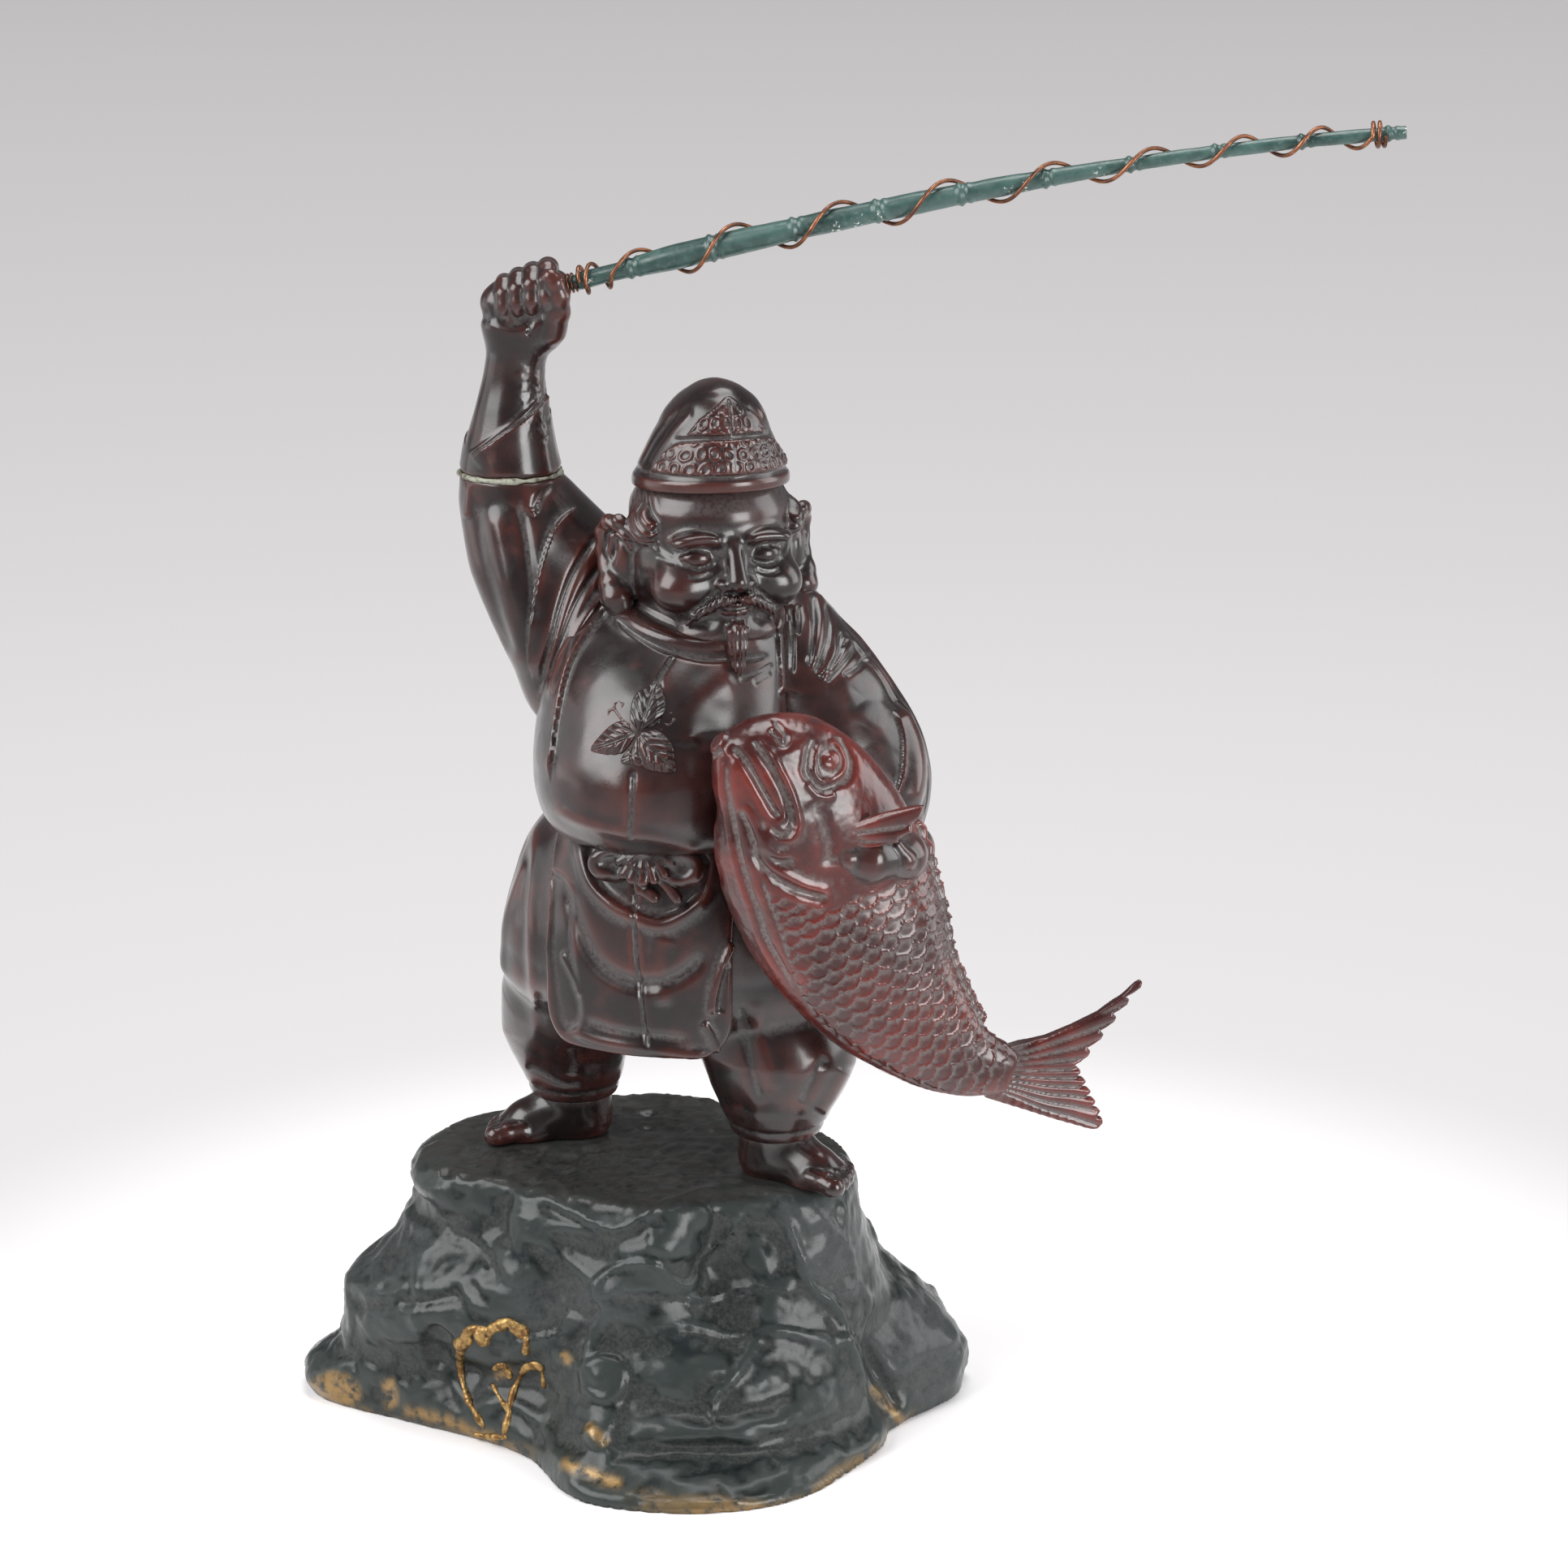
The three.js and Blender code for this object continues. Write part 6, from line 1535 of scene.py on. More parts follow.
def bow_field(points):
    field = ellipsoid(points, on_skirt(BOW_KNOT, 2.6), (2.5, 2.6, 2.6))
    for middle, (wide, high) in BOW_LOOPS:
        spot = on_skirt(middle, 1.0)
        loop = ellipsoid(points, spot, (wide, 3.0, high))
        loop = smax(loop, -ellipsoid(points, spot + CAMERA_BACK * 3.5, (wide * 0.66, 2.2, high * 0.6)), 1.0)
        field = smin(field, loop, 0.5)
    for way, radii, lifts in BOW_WAYS:
        knots = [(*on_skirt(pixel, lift), radius) for pixel, lift, radius
                 in zip(way, np.linspace(*lifts, len(way)), np.linspace(*radii, len(way)))]
        field = smin(field, chain(points, knots, 0.5), 0.25)
    return smax(field, -skirt_core(points) - 0.2, 0.4)


def bow_relief(points, normals):
    """Fine pleats that run out from the knot."""
    x, y = (to_pixels(points) - np.array(BOW_KNOT)).T
    pleats = np.sin(np.arctan2(y, x) * BOW_PLEATS) * smooth_step(8, 20, np.hypot(x, y))
    return 0.14 * pleats * smooth_step(0.0, 0.5, normals @ CAMERA_BACK)


# Rock

ROCK_MIDDLE = np.array([-35.0, 0.0])
ROCK_REACH, ROCK_WALL = 88.0, 5.0
ROCK_HEIGHTS = [0, 0.076, 0.152, 0.242, 0.364, 0.515, 0.667, 0.818, 0.924, 1]
# One row for every 15 degrees from +X round to +Y: the outline's reach at each height
ROCK_COLUMNS = [
    (0.905, 0.915, 0.905, 0.885, 0.80, 0.705, 0.65, 0.61, 0.60, 0.575),
    (0.92, 0.93, 0.92, 0.89, 0.81, 0.71, 0.65, 0.60, 0.58, 0.55),
    (0.92, 0.91, 0.89, 0.85, 0.78, 0.70, 0.64, 0.58, 0.55, 0.50),
    (0.93, 0.91, 0.87, 0.82, 0.77, 0.71, 0.64, 0.57, 0.53, 0.49),
    (0.92, 0.90, 0.85, 0.80, 0.75, 0.69, 0.62, 0.56, 0.53, 0.49),
    (0.87, 0.86, 0.82, 0.78, 0.72, 0.66, 0.60, 0.56, 0.54, 0.50),
    (0.84, 0.83, 0.80, 0.76, 0.70, 0.65, 0.60, 0.57, 0.54, 0.50),
    (0.86, 0.85, 0.82, 0.77, 0.72, 0.66, 0.61, 0.57, 0.55, 0.50),
    (0.90, 0.88, 0.84, 0.80, 0.75, 0.68, 0.62, 0.58, 0.55, 0.51),
    (0.94, 0.92, 0.88, 0.84, 0.79, 0.73, 0.66, 0.62, 0.59, 0.54),
    (0.98, 0.96, 0.92, 0.88, 0.84, 0.78, 0.71, 0.66, 0.64, 0.60),
    (1.01, 1.00, 0.94, 0.88, 0.87, 0.81, 0.73, 0.68, 0.67, 0.63),
    (0.97, 1.00, 0.97, 0.90, 0.875, 0.83, 0.72, 0.645, 0.665, 0.63),
    (0.735, 0.75, 0.76, 0.75, 0.78, 0.76, 0.67, 0.60, 0.61, 0.58),
    (0.60, 0.62, 0.60, 0.57, 0.62, 0.64, 0.58, 0.52, 0.50, 0.475),
    (0.55, 0.57, 0.55, 0.52, 0.54, 0.555, 0.53, 0.49, 0.47, 0.43),
    (0.585, 0.57, 0.54, 0.52, 0.505, 0.485, 0.465, 0.44, 0.435, 0.39),
    (0.73, 0.72, 0.64, 0.59, 0.555, 0.51, 0.49, 0.46, 0.44, 0.40),
    (0.79, 0.77, 0.67, 0.62, 0.57, 0.53, 0.505, 0.485, 0.46, 0.43),
    (0.83, 0.81, 0.70, 0.66, 0.59, 0.53, 0.48, 0.46, 0.455, 0.43),
    (0.845, 0.82, 0.74, 0.71, 0.62, 0.53, 0.47, 0.455, 0.44, 0.41),
    (0.80, 0.79, 0.74, 0.715, 0.65, 0.60, 0.56, 0.53, 0.50, 0.46),
    (0.775, 0.765, 0.73, 0.71, 0.69, 0.67, 0.64, 0.62, 0.60, 0.56),
    (0.775, 0.78, 0.76, 0.74, 0.70, 0.69, 0.66, 0.635, 0.615, 0.58),
]
# Turn, height share, half-width in degrees, half-height share and push as a share of the reach
ROCK_FORMS = [
    (187, 0.91, 14, 0.11, 0.023), (198, 0.71, 10, 0.08, -0.028), (213, 0.85, 5, 0.12, -0.034),
    (188, 0.52, 14, 0.11, 0.023), (205, 0.26, 9, 0.11, -0.045), (217, 0.33, 6, 0.15, 0.017),
    (232, 0.23, 12, 0.11, -0.028), (250, 0.91, 12, 0.05, 0.017), (252, 0.80, 10, 0.06, -0.017),
    (276, 0.83, 9, 0.12, 0.028), (295, 0.70, 10, 0.15, -0.034), (310, 0.68, 4, 0.21, 0.017),
    (258, 0.24, 5, 0.08, 0.028), (290, 0.42, 20, 0.06, 0.023), (290, 0.29, 20, 0.05, -0.017),
    (280, 0.22, 12, 0.05, 0.023), (295, 0.14, 26, 0.05, -0.034), (290, 0.05, 40, 0.05, 0.017),
    (338, 0.21, 4, 0.21, -0.040), (352, 0.24, 9, 0.14, 0.028), (5, 0.50, 12, 0.09, -0.023),
    (30, 0.30, 14, 0.12, 0.028), (48, 0.67, 10, 0.14, -0.034), (62, 0.27, 12, 0.14, -0.040),
    (75, 0.55, 12, 0.12, 0.034), (95, 0.30, 12, 0.12, 0.028), (100, 0.79, 12, 0.09, -0.028),
    (118, 0.18, 10, 0.11, -0.034), (125, 0.58, 14, 0.12, -0.034), (140, 0.36, 12, 0.14, 0.034),
    (150, 0.79, 12, 0.11, 0.023), (160, 0.58, 10, 0.11, -0.028), (168, 0.20, 10, 0.06, -0.034),
]
rock_table = Table(np.column_stack([ROCK_HEIGHTS, np.transpose(ROCK_COLUMNS)]))
SECTORS = len(ROCK_COLUMNS)


def rock_reach(points):
    """Distance from the rock's middle, and the outline's reach in that direction."""
    away = points[:, :2] - ROCK_MIDDLE
    degrees = np.degrees(np.arctan2(away[:, 1], away[:, 0])) % 360
    turn = degrees * SECTORS / 360
    first = turn.astype(int) % SECTORS
    t = turn - np.floor(turn)
    share = np.clip(points[:, 2] / ROCK_TOP, 0, 1)
    levels = rock_table(share)
    rows = np.arange(len(points))
    a, b, c, d = (levels[rows, (first + shift) % SECTORS] for shift in (-1, 0, 1, 2))
    reach = b + 0.5 * t * (c - a + t * (2 * a - 5 * b + 4 * c - d + t * (3 * (b - c) + d - a)))
    for form_turn, form_share, half_turn, half_share, push in ROCK_FORMS:
        across = ((degrees - form_turn + 180) % 360 - 180) / half_turn
        above = (share - form_share) / half_share
        reach += push * np.exp(-across * across - above * above)
    return np.hypot(away[:, 0], away[:, 1]), reach * ROCK_REACH


DEEPEST_BITE = 2.2
ROCK_LEFT = -123.4
LEAN = 0.85  # The distance along a sloping side against the distance across


def rock_field(points):
    """A lumpy shell, open below, kept inside the solid's left end."""
    distance, reach = rock_reach(points)
    field = smax((distance - reach) * LEAN, points[:, 2] - ROCK_TOP, 2.5)
    near = np.abs(field) < 5
    spots = points[near]
    swells = layered(spots, (13, 13, 11), 3, 71) * 1.1
    creases = 1 - np.abs(layered(spots + 3 * noise(spots, 16, 73)[:, None], (26, 26, 20), 2, 75))
    side = smooth_step(ROCK_TOP - 1, ROCK_TOP - 6, spots[:, 2])
    foot = smooth_step(0, 5, spots[:, 2])
    raised = (swells + (smooth_step(0.84, 1.0, creases) - 0.25) * 0.8) * side * foot
    field[near] -= np.clip(raised, -DEEPEST_BITE, DEEPEST_BITE)
    hollow = smax(distance - reach + ROCK_WALL + 0.5, points[:, 2] - (ROCK_TOP - ROCK_WALL), 3)
    field = smax(smax(field, -hollow, 0.8), ROCK_LEFT - points[:, 0], 3.5)
    return smax(field, -points[:, 2], 0.6)


# Strokes on the rock, in pixels of the photograph enlarged from its point ROCK_CORNER
ROCK_CORNER, ROCK_ZOOM = np.array([360.0, 1320.0]), 2.2
ROCK_STROKES = [
    ("line", 6, 1.36, 1300, 350, 1350, 440, 1400, 570, 1480, 650, 1550, 830, 1640, 930),
    ("line", 9, -1.27, 1520, 700, 1570, 790, 1650, 930),
    ("edge", 7, 1.5, 1370, 345, 1200, 330, 1050, 350, 960, 400, 870, 435, 760, 390, 640, 330),
    ("line", 10.5, -1.1, 660, 350, 760, 412, 870, 462, 960, 432, 1040, 385),
    ("area", 10, 1.1, 960, 385, 1050, 360, 1130, 380, 1120, 480, 1040, 510, 965, 480),
    ("area", 30, -1.3, 1090, 430, 1180, 390, 1300, 410, 1350, 500, 1300, 590, 1180, 585, 1100, 520),
    ("area", 10, 0.9, 1330, 350, 1420, 370, 1510, 470, 1530, 600, 1440, 590, 1350, 470),
    ("edge", 10, 0.9, 1400, 610, 1250, 590, 1100, 625, 950, 596, 740, 640),
    ("edge", 8, 0.7, 1300, 700, 1180, 720, 1040, 690, 930, 715),
    ("line", 9, -1.1, 150, 640, 280, 632, 390, 620, 470, 600),
    ("area", 12, -1.9, 350, 715, 385, 690, 425, 715, 430, 760, 405, 800, 362, 785),
    ("area", 14, 1.5, 780, 800, 840, 770, 900, 795, 900, 870, 840, 900, 785, 870),
    ("line", 18, -1.36, 690, 1080, 850, 1120, 1050, 1150, 1300, 1140, 1500, 1090, 1640, 1050),
    ("line", 10.5, 1.1, 700, 1130, 870, 1175, 1060, 1200, 1310, 1190, 1510, 1140, 1650, 1095),
    ("line", 9, 1.19, 800, 960, 830, 1010, 870, 1060),
    ("line", 9, 0.85, 600, 430, 700, 470, 790, 540, 840, 600),
    ("line", 9, -0.94, 300, 380, 420, 420, 520, 500, 560, 590),
    ("edge", 12, 1.2, 560, 760, 640, 720, 720, 700, 760, 640),
    ("line", 14, -0.6, 930, 830, 1010, 900, 1120, 930, 1260, 900, 1380, 850),
    ("line", 14, 0.5, 1000, 860, 1120, 890, 1250, 860, 1350, 815),
]

WORN_STROKES = [
    ("line", 7, 1, 290, 915, 370, 935, 440, 955, 500, 985, 570, 992),
    ("area", 12, 1, 50, 840, 110, 815, 170, 840, 180, 890, 110, 905, 55, 885),
    ("area", 10, 1, 245, 845, 275, 838, 285, 900, 255, 915),
    ("line", 5, 1, 730, 765, 745, 780, 752, 795),
    ("line", 6, 1, 795, 955, 825, 985, 855, 1015),
    ("line", 5, 1, 550, 835, 575, 818, 595, 802),
    ("line", 7, 1, 720, 1055, 790, 1085, 900, 1125),
    ("line", 5, 0.8, 1050, 1205, 1310, 1195, 1510, 1145, 1640, 1100),
    ("line", 5, 0.8, 1560, 850, 1640, 935, 1700, 1000),
]
SANDY_STROKES = [
    ("area", 14, 1, 1310, 350, 1420, 355, 1530, 400, 1560, 480, 1540, 600, 1440, 590, 1350, 470),
    ("area", 20, 1, 1560, 700, 1640, 620, 1740, 600, 1790, 700, 1790, 860, 1700, 900, 1620, 830),
    ("area", 20, 0.7, 160, 420, 330, 400, 380, 480, 260, 560, 150, 540),
    ("area", 20, 0.6, 560, 560, 760, 560, 980, 600, 900, 680, 640, 680),
]


def on_rock(strokes):
    """The strokes in the photograph's own pixels."""
    return [(*row[:3], *(np.reshape(row[3:], (-1, 2)) / ROCK_ZOOM + ROCK_CORNER).ravel()) for row in strokes]


ROCK_MARKS, WORN_MARKS, SANDY_MARKS = on_rock(ROCK_STROKES), on_rock(WORN_STROKES), on_rock(SANDY_STROKES)


def flat_top(points, normals, least):
    """One on the rock's level top, none where a normal's upward share is the least."""
    return smooth_step(ROCK_TOP - 3, ROCK_TOP - 1, points[:, 2]) * smooth_step(least, 0.9, normals[:, 2])


def worn_rock(points, normals):
    """Shares for the finish: rubbed through at the low rim and a few edges, a lighter tone on the level top, and sandy
    places.
    """
    rubbed = photo_marks(points, normals, WORN_MARKS)
    rim = smooth_step(4, 1, points[:, 2] + 3.0 * noise(points, 20, 91)) * smooth_step(-0.1, 0.4, noise(points, 30, 92))
    sandy = photo_marks(points, normals, SANDY_MARKS)
    return {"gilt": np.clip(rubbed + 0.6 * rim, 0, 1), "top": flat_top(points, normals, 0.5),
            "sandy": np.clip(sandy, 0, 1)}


FOOT_BEDS, BED_RADII = ((-62, 13), (6, -20)), (19, 13)


def rock_relief(points, normals):
    """Dents on the top but under the feet, crumpled folds down the sides, and the strokes on the front."""
    distance, reach = rock_reach(points)
    outside = smooth_step(-2.5, -0.5, np.maximum(distance - reach, points[:, 2] - ROCK_TOP + 1.5) + 1.5)
    top = flat_top(points, normals, 0.6)
    bed = np.minimum(*[np.linalg.norm((points[:, :2] - np.array(spot)) / BED_RADII, axis=1) for spot in FOOT_BEDS])
    clear = smooth_step(0.8, 1.15, bed)
    dents = -np.abs(layered(points, (7, 7, 7), 3, 81)) * 2 + 0.5
    total = top * (dents * 1.5 - 0.4) * clear
    flow = layered(points + 2.0 * noise(points, 14, 83)[:, None], (15, 15, 11), 4, 84)
    crumpled = 0.4 - 2 * np.abs(layered(points + 2.5 * noise(points, 9, 85)[:, None], (10, 10, 7), 3, 86))
    flow = flow * 0.9 + crumpled * 0.65 * smooth_step(-0.25, 0.35, noise(points, 26, 87))
    total = total + (1 - top) * flow * smooth_step(0, 4, points[:, 2])
    total = total + layered(points, 2.4, 2, 88) * 0.18
    return total * outside + photo_marks(points, normals, ROCK_MARKS)


# Tubes


def circle(turn, across, above):
    """The way outward at each turn, in radians from across towards above."""
    return np.cos(turn)[..., None] * across + np.sin(turn)[..., None] * above


def ringed(name, middles, rings, shares=None):
    """A closed tube through rings of points, with a fan over each end, and its shares for the finish."""
    count, sides = rings.shape[:2]
    points = np.concatenate([middles[:1], rings.reshape(-1, 3), middles[-1:]])
    index, after = 1 + np.arange(sides), 1 + (np.arange(sides) + 1) % sides
    along = np.arange(count - 1)[:, None] * sides
    quads = np.stack([index + along, after + along, after + along + sides, index + along + sides], 2)
    last = (count - 1) * sides
    first_fan = np.stack([np.zeros(sides, int), after, index], 1)
    last_fan = np.stack([np.full(sides, len(points) - 1), index + last, after + last], 1)
    groups = [quads.reshape(-1, 4), np.concatenate([first_fan, last_fan])]
    return build_mesh(name, points, groups, shares(points) if shares else {})


def tube(name, points, radii, sides=10):
    """A round tube along points; its rings turn no more than the way does."""
    way = unit(np.gradient(points, axis=0))
    side = np.cross(way[0], (0.1, -1, 0.2))
    turn = np.linspace(0, 2 * math.pi, sides, endpoint=False)
    rings = []
    for middle, ahead, radius in zip(points, way, np.broadcast_to(radii, len(points))):
        side = unit(side - ahead * (side @ ahead))
        rings.append(middle + radius * circle(turn, side, np.cross(ahead, side)))
    return ringed(name, points, np.array(rings))


NEAREST, FARTHEST, SEARCH_STEP = 880, 1240, 0.4  # Millimetres from the camera


def found_on(field, pixel):
    """The point of a surface that a pixel of the photograph shows."""
    across, down = (np.array(pixel) - PHOTO_SIZE / 2) / FOCAL_PIXELS
    ray = unit(np.array([across, 0, 0]) - CAMERA_BACK - CAMERA_UP * down)
    line = CAMERA_PLACE + np.arange(NEAREST, FARTHEST, SEARCH_STEP)[:, None] * ray
    return line[np.argmax(field(line) < 0)]


# Two water plants in gilt relief on the rock's front

PLANT_STEMS = [
    ([(518, 962), (500, 930), (480, 895), (462, 840), (455, 775), (462, 745)], 0.95),
    ([(455, 770), (465, 725), (490, 697), (522, 704), (520, 735)], 1.15),
    ([(575, 985), (588, 930), (598, 875), (625, 815), (650, 792), (675, 803), (684, 850)], 0.95),
    ([(530, 720), (545, 695), (575, 680), (610, 687), (632, 716), (634, 758)], 1.15),
    ([(548, 806), (574, 795), (590, 826)], 0.85), ([(590, 925), (560, 880), (545, 850)], 0.65),
    ([(500, 985), (540, 990), (580, 992)], 0.9),
    ([(458, 738), (478, 728)], 2.1), ([(508, 712), (518, 726)], 1.8), ([(548, 694), (566, 688)], 1.7),
    ([(604, 694), (622, 704)], 1.9), ([(640, 800), (662, 800)], 1.5),
]


def rock_face(points):
    """The rock's surface with its relief."""
    values, slope = value_and_slope(rock_field, points)
    return values - rock_relief(points, unit(slope))


class Plants:
    """The stems laid on the rock, a little sunk into it."""

    def __init__(self):
        self.ways = []
        for line, radius in PLANT_STEMS:
            spots = smooth_line(line, 4) / ROCK_ZOOM + ROCK_CORNER
            swell = radius * (0.85 + 0.25 * np.sin(1.1 * np.arange(len(spots)) + spots[0][0]))
            self.ways.append([(*found_on(rock_face, spot), size) for spot, size in zip(spots, swell)])
        knots = np.concatenate([np.array(way)[:, :3] for way in self.ways])
        self.low, self.high = knots.min(0) - 2, knots.max(0) + 2

    def __call__(self, points):
        field = np.full(len(points), FAR)
        for knots in self.ways:
            field = smin(field, chain(points, knots, 0.4), 0.4)
        return field


# Rod, line and lashing, on the routes of the part

ROD_TIP = ROD_BUTT + np.array([195.6, -14, 37.6])
ROD_BEND = ROD_BUTT + (ROD_TIP - ROD_BUTT) * 0.6 + np.array([0, 0, 9.0])
rod_share = np.linspace(0, 1, 1201)[:, None]
rod_curve = (1 - rod_share) ** 2 * ROD_BUTT + 2 * rod_share * (1 - rod_share) * ROD_BEND + rod_share**2 * ROD_TIP
rod_run = np.concatenate([[0], np.cumsum(np.linalg.norm(np.diff(rod_curve, axis=0), axis=1))])
ROD_LENGTH = rod_run[-1]
rod_taper = Table([(0, 2.1), (10, 2.2), (18, 2.75), (60, 2.75), (90, 2.61), (130, 1.84), (200, 1.6)])
FIRST_NODE, NODE_SPACING = 13.0, 20.3

PEG_RADIUS, PEG_LENGTH, ROD_SIDES, ROD_STEP = 1.7, 18.6, 24, 0.35
# The rod's nodes: forms by the distance past one, with their width and height; the waist is a share of the radius
NODE_FORMS = [(0, 0.55, 0.5), (1.3, 0.45, -0.16), (2.1, 0.6, 0.18)]
WAIST, UNEVENNESS = 0.05, 0.13
# Chips in the paint: pixel and reach in pixels
CHIPS = [((724, 343), 9), ((1030, 283), 12), ((1060, 274), 14), ((1085, 268), 10), ((1238, 236), 13),
         ((1262, 230), 8), ((1355, 214), 9), ((1566, 192), 8), ((1733, 162), 7)]


def rod_frame(along):
    """The rod's middle that far from its butt, with the ways across towards the viewer and upwards."""
    along = np.atleast_1d(along)
    inside = np.clip(along, 0, ROD_LENGTH)

    def between(rows):
        return np.stack([np.interp(inside, rod_run, rows[:, axis]) for axis in range(3)], 1)

    way = unit(between(np.gradient(rod_curve, axis=0)))
    viewer = unit(np.array([0, -1.0, 0]) + way * way[:, 1:2])
    return between(rod_curve) + (along - inside)[:, None] * way, viewer, np.cross(viewer, way)


def rod_radius(along):
    return rod_taper(200 * np.asarray(along) / ROD_LENGTH)[:, 0]


def chipped(points):
    """Shares for the finish: where the paint has chips."""
    spots = to_pixels(points)
    share = np.zeros(len(points))
    for pixel, reach in CHIPS:
        gap = np.linalg.norm(spots - np.array(pixel), axis=1)
        share = np.maximum(share, smooth_step(reach, reach * 0.4, gap))
    return {"chipped": share}


def make_rod():
    """The peg, and the bamboo-shaped rod with its nodes, slightly uneven."""
    along = np.concatenate([[-PEG_LENGTH, 0.1 - PEG_LENGTH, -0.4, -0.05], np.arange(0, ROD_LENGTH, ROD_STEP),
                            [ROD_LENGTH]])
    middle, viewer, above = rod_frame(np.maximum(along, 0))
    middle = middle + ROD_AIM * np.minimum(along, 0)[:, None]
    nodes_past = (along - FIRST_NODE) / NODE_SPACING
    from_node = (nodes_past - np.round(nodes_past)) * NODE_SPACING
    radius = rod_radius(np.maximum(along, 0)) * (1 - WAIST * np.cos(np.pi * from_node / NODE_SPACING) ** 2)
    for past, width, height in NODE_FORMS:
        radius = radius + height * np.exp(-(((from_node - past) / width) ** 2))
    radius = np.where(along < 0, PEG_RADIUS, radius)
    radius[0] = PEG_RADIUS - 0.2
    radius[-1] *= 0.8
    outward = circle(np.linspace(0, 2 * math.pi, ROD_SIDES, endpoint=False), viewer[:, None], above[:, None])
    rings = middle[:, None] + radius[:, None, None] * outward
    uneven = layered(rings.reshape(-1, 3), (5, 3, 3), 2, 91).reshape(rings.shape[:2])
    push = np.where(along[:, None] > 0.5, uneven * UNEVENNESS, 0)
    return ringed("bamboo_rod", middle, rings + push[:, :, None] * outward, chipped)


LINE_RADIUS, TURN_STEPS = 0.5, 48
# Along the rod: the line's start, the pitch of its tight turns, and the start and end of its open ones
LINE_START, LINE_PITCH, OPEN_START, OPEN_END, OPEN_SWAY = 0.75, 1.5, 8.8, 192, 11
OPEN_TURNS, KNOT_TURNS, LINE_GAP = 8, 2, 0.7


def line_points():
    """A tight turn at the butt and one that leads on, eight open turns, and a knot of tight turns by the tip."""
    turn = np.arange((2 + OPEN_TURNS + KNOT_TURNS) * TURN_STEPS + 1) / TURN_STEPS
    open_turn = turn - 2
    share = np.clip(open_turn / OPEN_TURNS, 0, 1)
    along = OPEN_START + (OPEN_END - OPEN_START) * share + OPEN_SWAY * np.sin(np.pi * share**1.6)
    along = along + np.maximum(open_turn - OPEN_TURNS, 0) * LINE_PITCH
    lead_start = LINE_START + LINE_PITCH
    lead = lead_start + (OPEN_START - lead_start) * (turn - 1)
    along = np.where(turn < 1, LINE_START + LINE_PITCH * turn, np.where(open_turn < 0, lead, along))
    middle, viewer, above = rod_frame(along)
    reach = rod_radius(along) + LINE_RADIUS + LINE_GAP
    return middle + reach[:, None] * circle(2 * math.pi * turn, viewer, above)


LASHING_RADIUS, LASHING_TURNS, LASHING_PITCH, LASHING_GAP = 0.25, 4, 0.95, 0.3


def lashing_points():
    """Four turns round the peg, midway between the fist and the rod."""
    turn = np.arange(LASHING_TURNS * TURN_STEPS + 1) / TURN_STEPS
    _, viewer, above = rod_frame(0.0)
    along = -(FIST_GAP + LASHING_PITCH * LASHING_TURNS) / 2 + LASHING_PITCH * turn
    reach = PEG_RADIUS + LASHING_RADIUS + LASHING_GAP
    return ROD_BUTT + ROD_AIM * along[:, None] + circle(2 * math.pi * turn, viewer, above) * reach


# The pieces

casting("sculpted_trousers", "trousers", trousers_field, (-76, -42, 76), (24, 38, 170), 0.6, trousers_relief,
        (robe_core, skirt_field))
casting("sculpted_skirt", "skirt_panel", skirt_field, (-60, -46, 103), (16, 0, 158), 0.4, skirt_relief,
        (robe_core, bow_field))
casting("sculpted_robe", "upper_robe", robe_field, (-66, -50, 152), (16, 38, 219), 0.5, robe_relief,
        (whole_fish_field, left_sleeve_core, right_sleeve_core, head_core))
casting("sculpted_crest", None, crest_field, (-50, -50, 178), (-24, -30, 204), 0.22)
casting("sculpted_bow", "sash_bow", bow_field, (-50, -50, 134), (-12, -26, 162), 0.28, bow_relief, (robe_core,))
casting("sculpted_right_sleeve", "right_sleeve", right_sleeve_core, (-84, -16, 170), (-24, 34, 241), 0.42,
        right_sleeve_relief, (robe_core,))
casting("sculpted_forearm", "right_forearm", forearm_field, (-82, -12, 238), (-46, 24, 298), 0.33, forearm_relief)
casting("sculpted_left_sleeve", "left_sleeve", left_sleeve_core, (-16, -36, 134), (40, 22, 215), 0.42,
        left_sleeve_relief, (whole_fish_field, robe_core))
casting("sculpted_left_hand", "left_hand", left_hand_field, (4, -64, 144), (40, -16, 168), 0.35, None,
        (whole_fish_field,))
casting("sculpted_head", "head", head_field, (-48, -36, 192), (12, 26, 249), 0.35, head_relief, (hat_core, robe_field))
casting("sculpted_hat", "hat", hat_field, (-42, -32, 231), (8, 22, 268), 0.33, hat_relief)
casting("sculpted_right_foot", "right_foot", right_foot, (-84, 0, 65), (-38, 28, 88), 0.33, None, (trousers_field,))
casting("sculpted_left_foot", "left_foot", left_foot, (-18, -38, 65), (26, 0, 88), 0.33, None, (trousers_field,))
casting("sculpted_fish", "fish_body", whole_fish_field, (-26, -74, 86), (66, -18, 196), 0.415, fish_relief, (),
        fish_dust, "fish_bronze", FISH)
casting("sculpted_tail", "fish_tail", tail_fin, (40, -42, 76), (92, -16, 124), 0.33, tail_relief,
        (whole_fish_field,), None, "fish_bronze", FISH)
casting("sculpted_pectoral", "fish_pectoral_fin", pectoral_fin, (8, -64, 158), (38, -46, 178), 0.28,
        pectoral_relief, (whole_fish_field,), None, "fish_bronze", FISH)
casting("sculpted_rock", "rock_base", rock_field, (-130, -88, -2), (52, 84, 70), 1.0, rock_relief,
        (right_foot, left_foot), worn_rock, "rock_bronze", ROCK)
plants = Plants()
casting("gilt_plants", None, plants, plants.low, plants.high, 0.35, slot="rock_bronze", material=GILT)

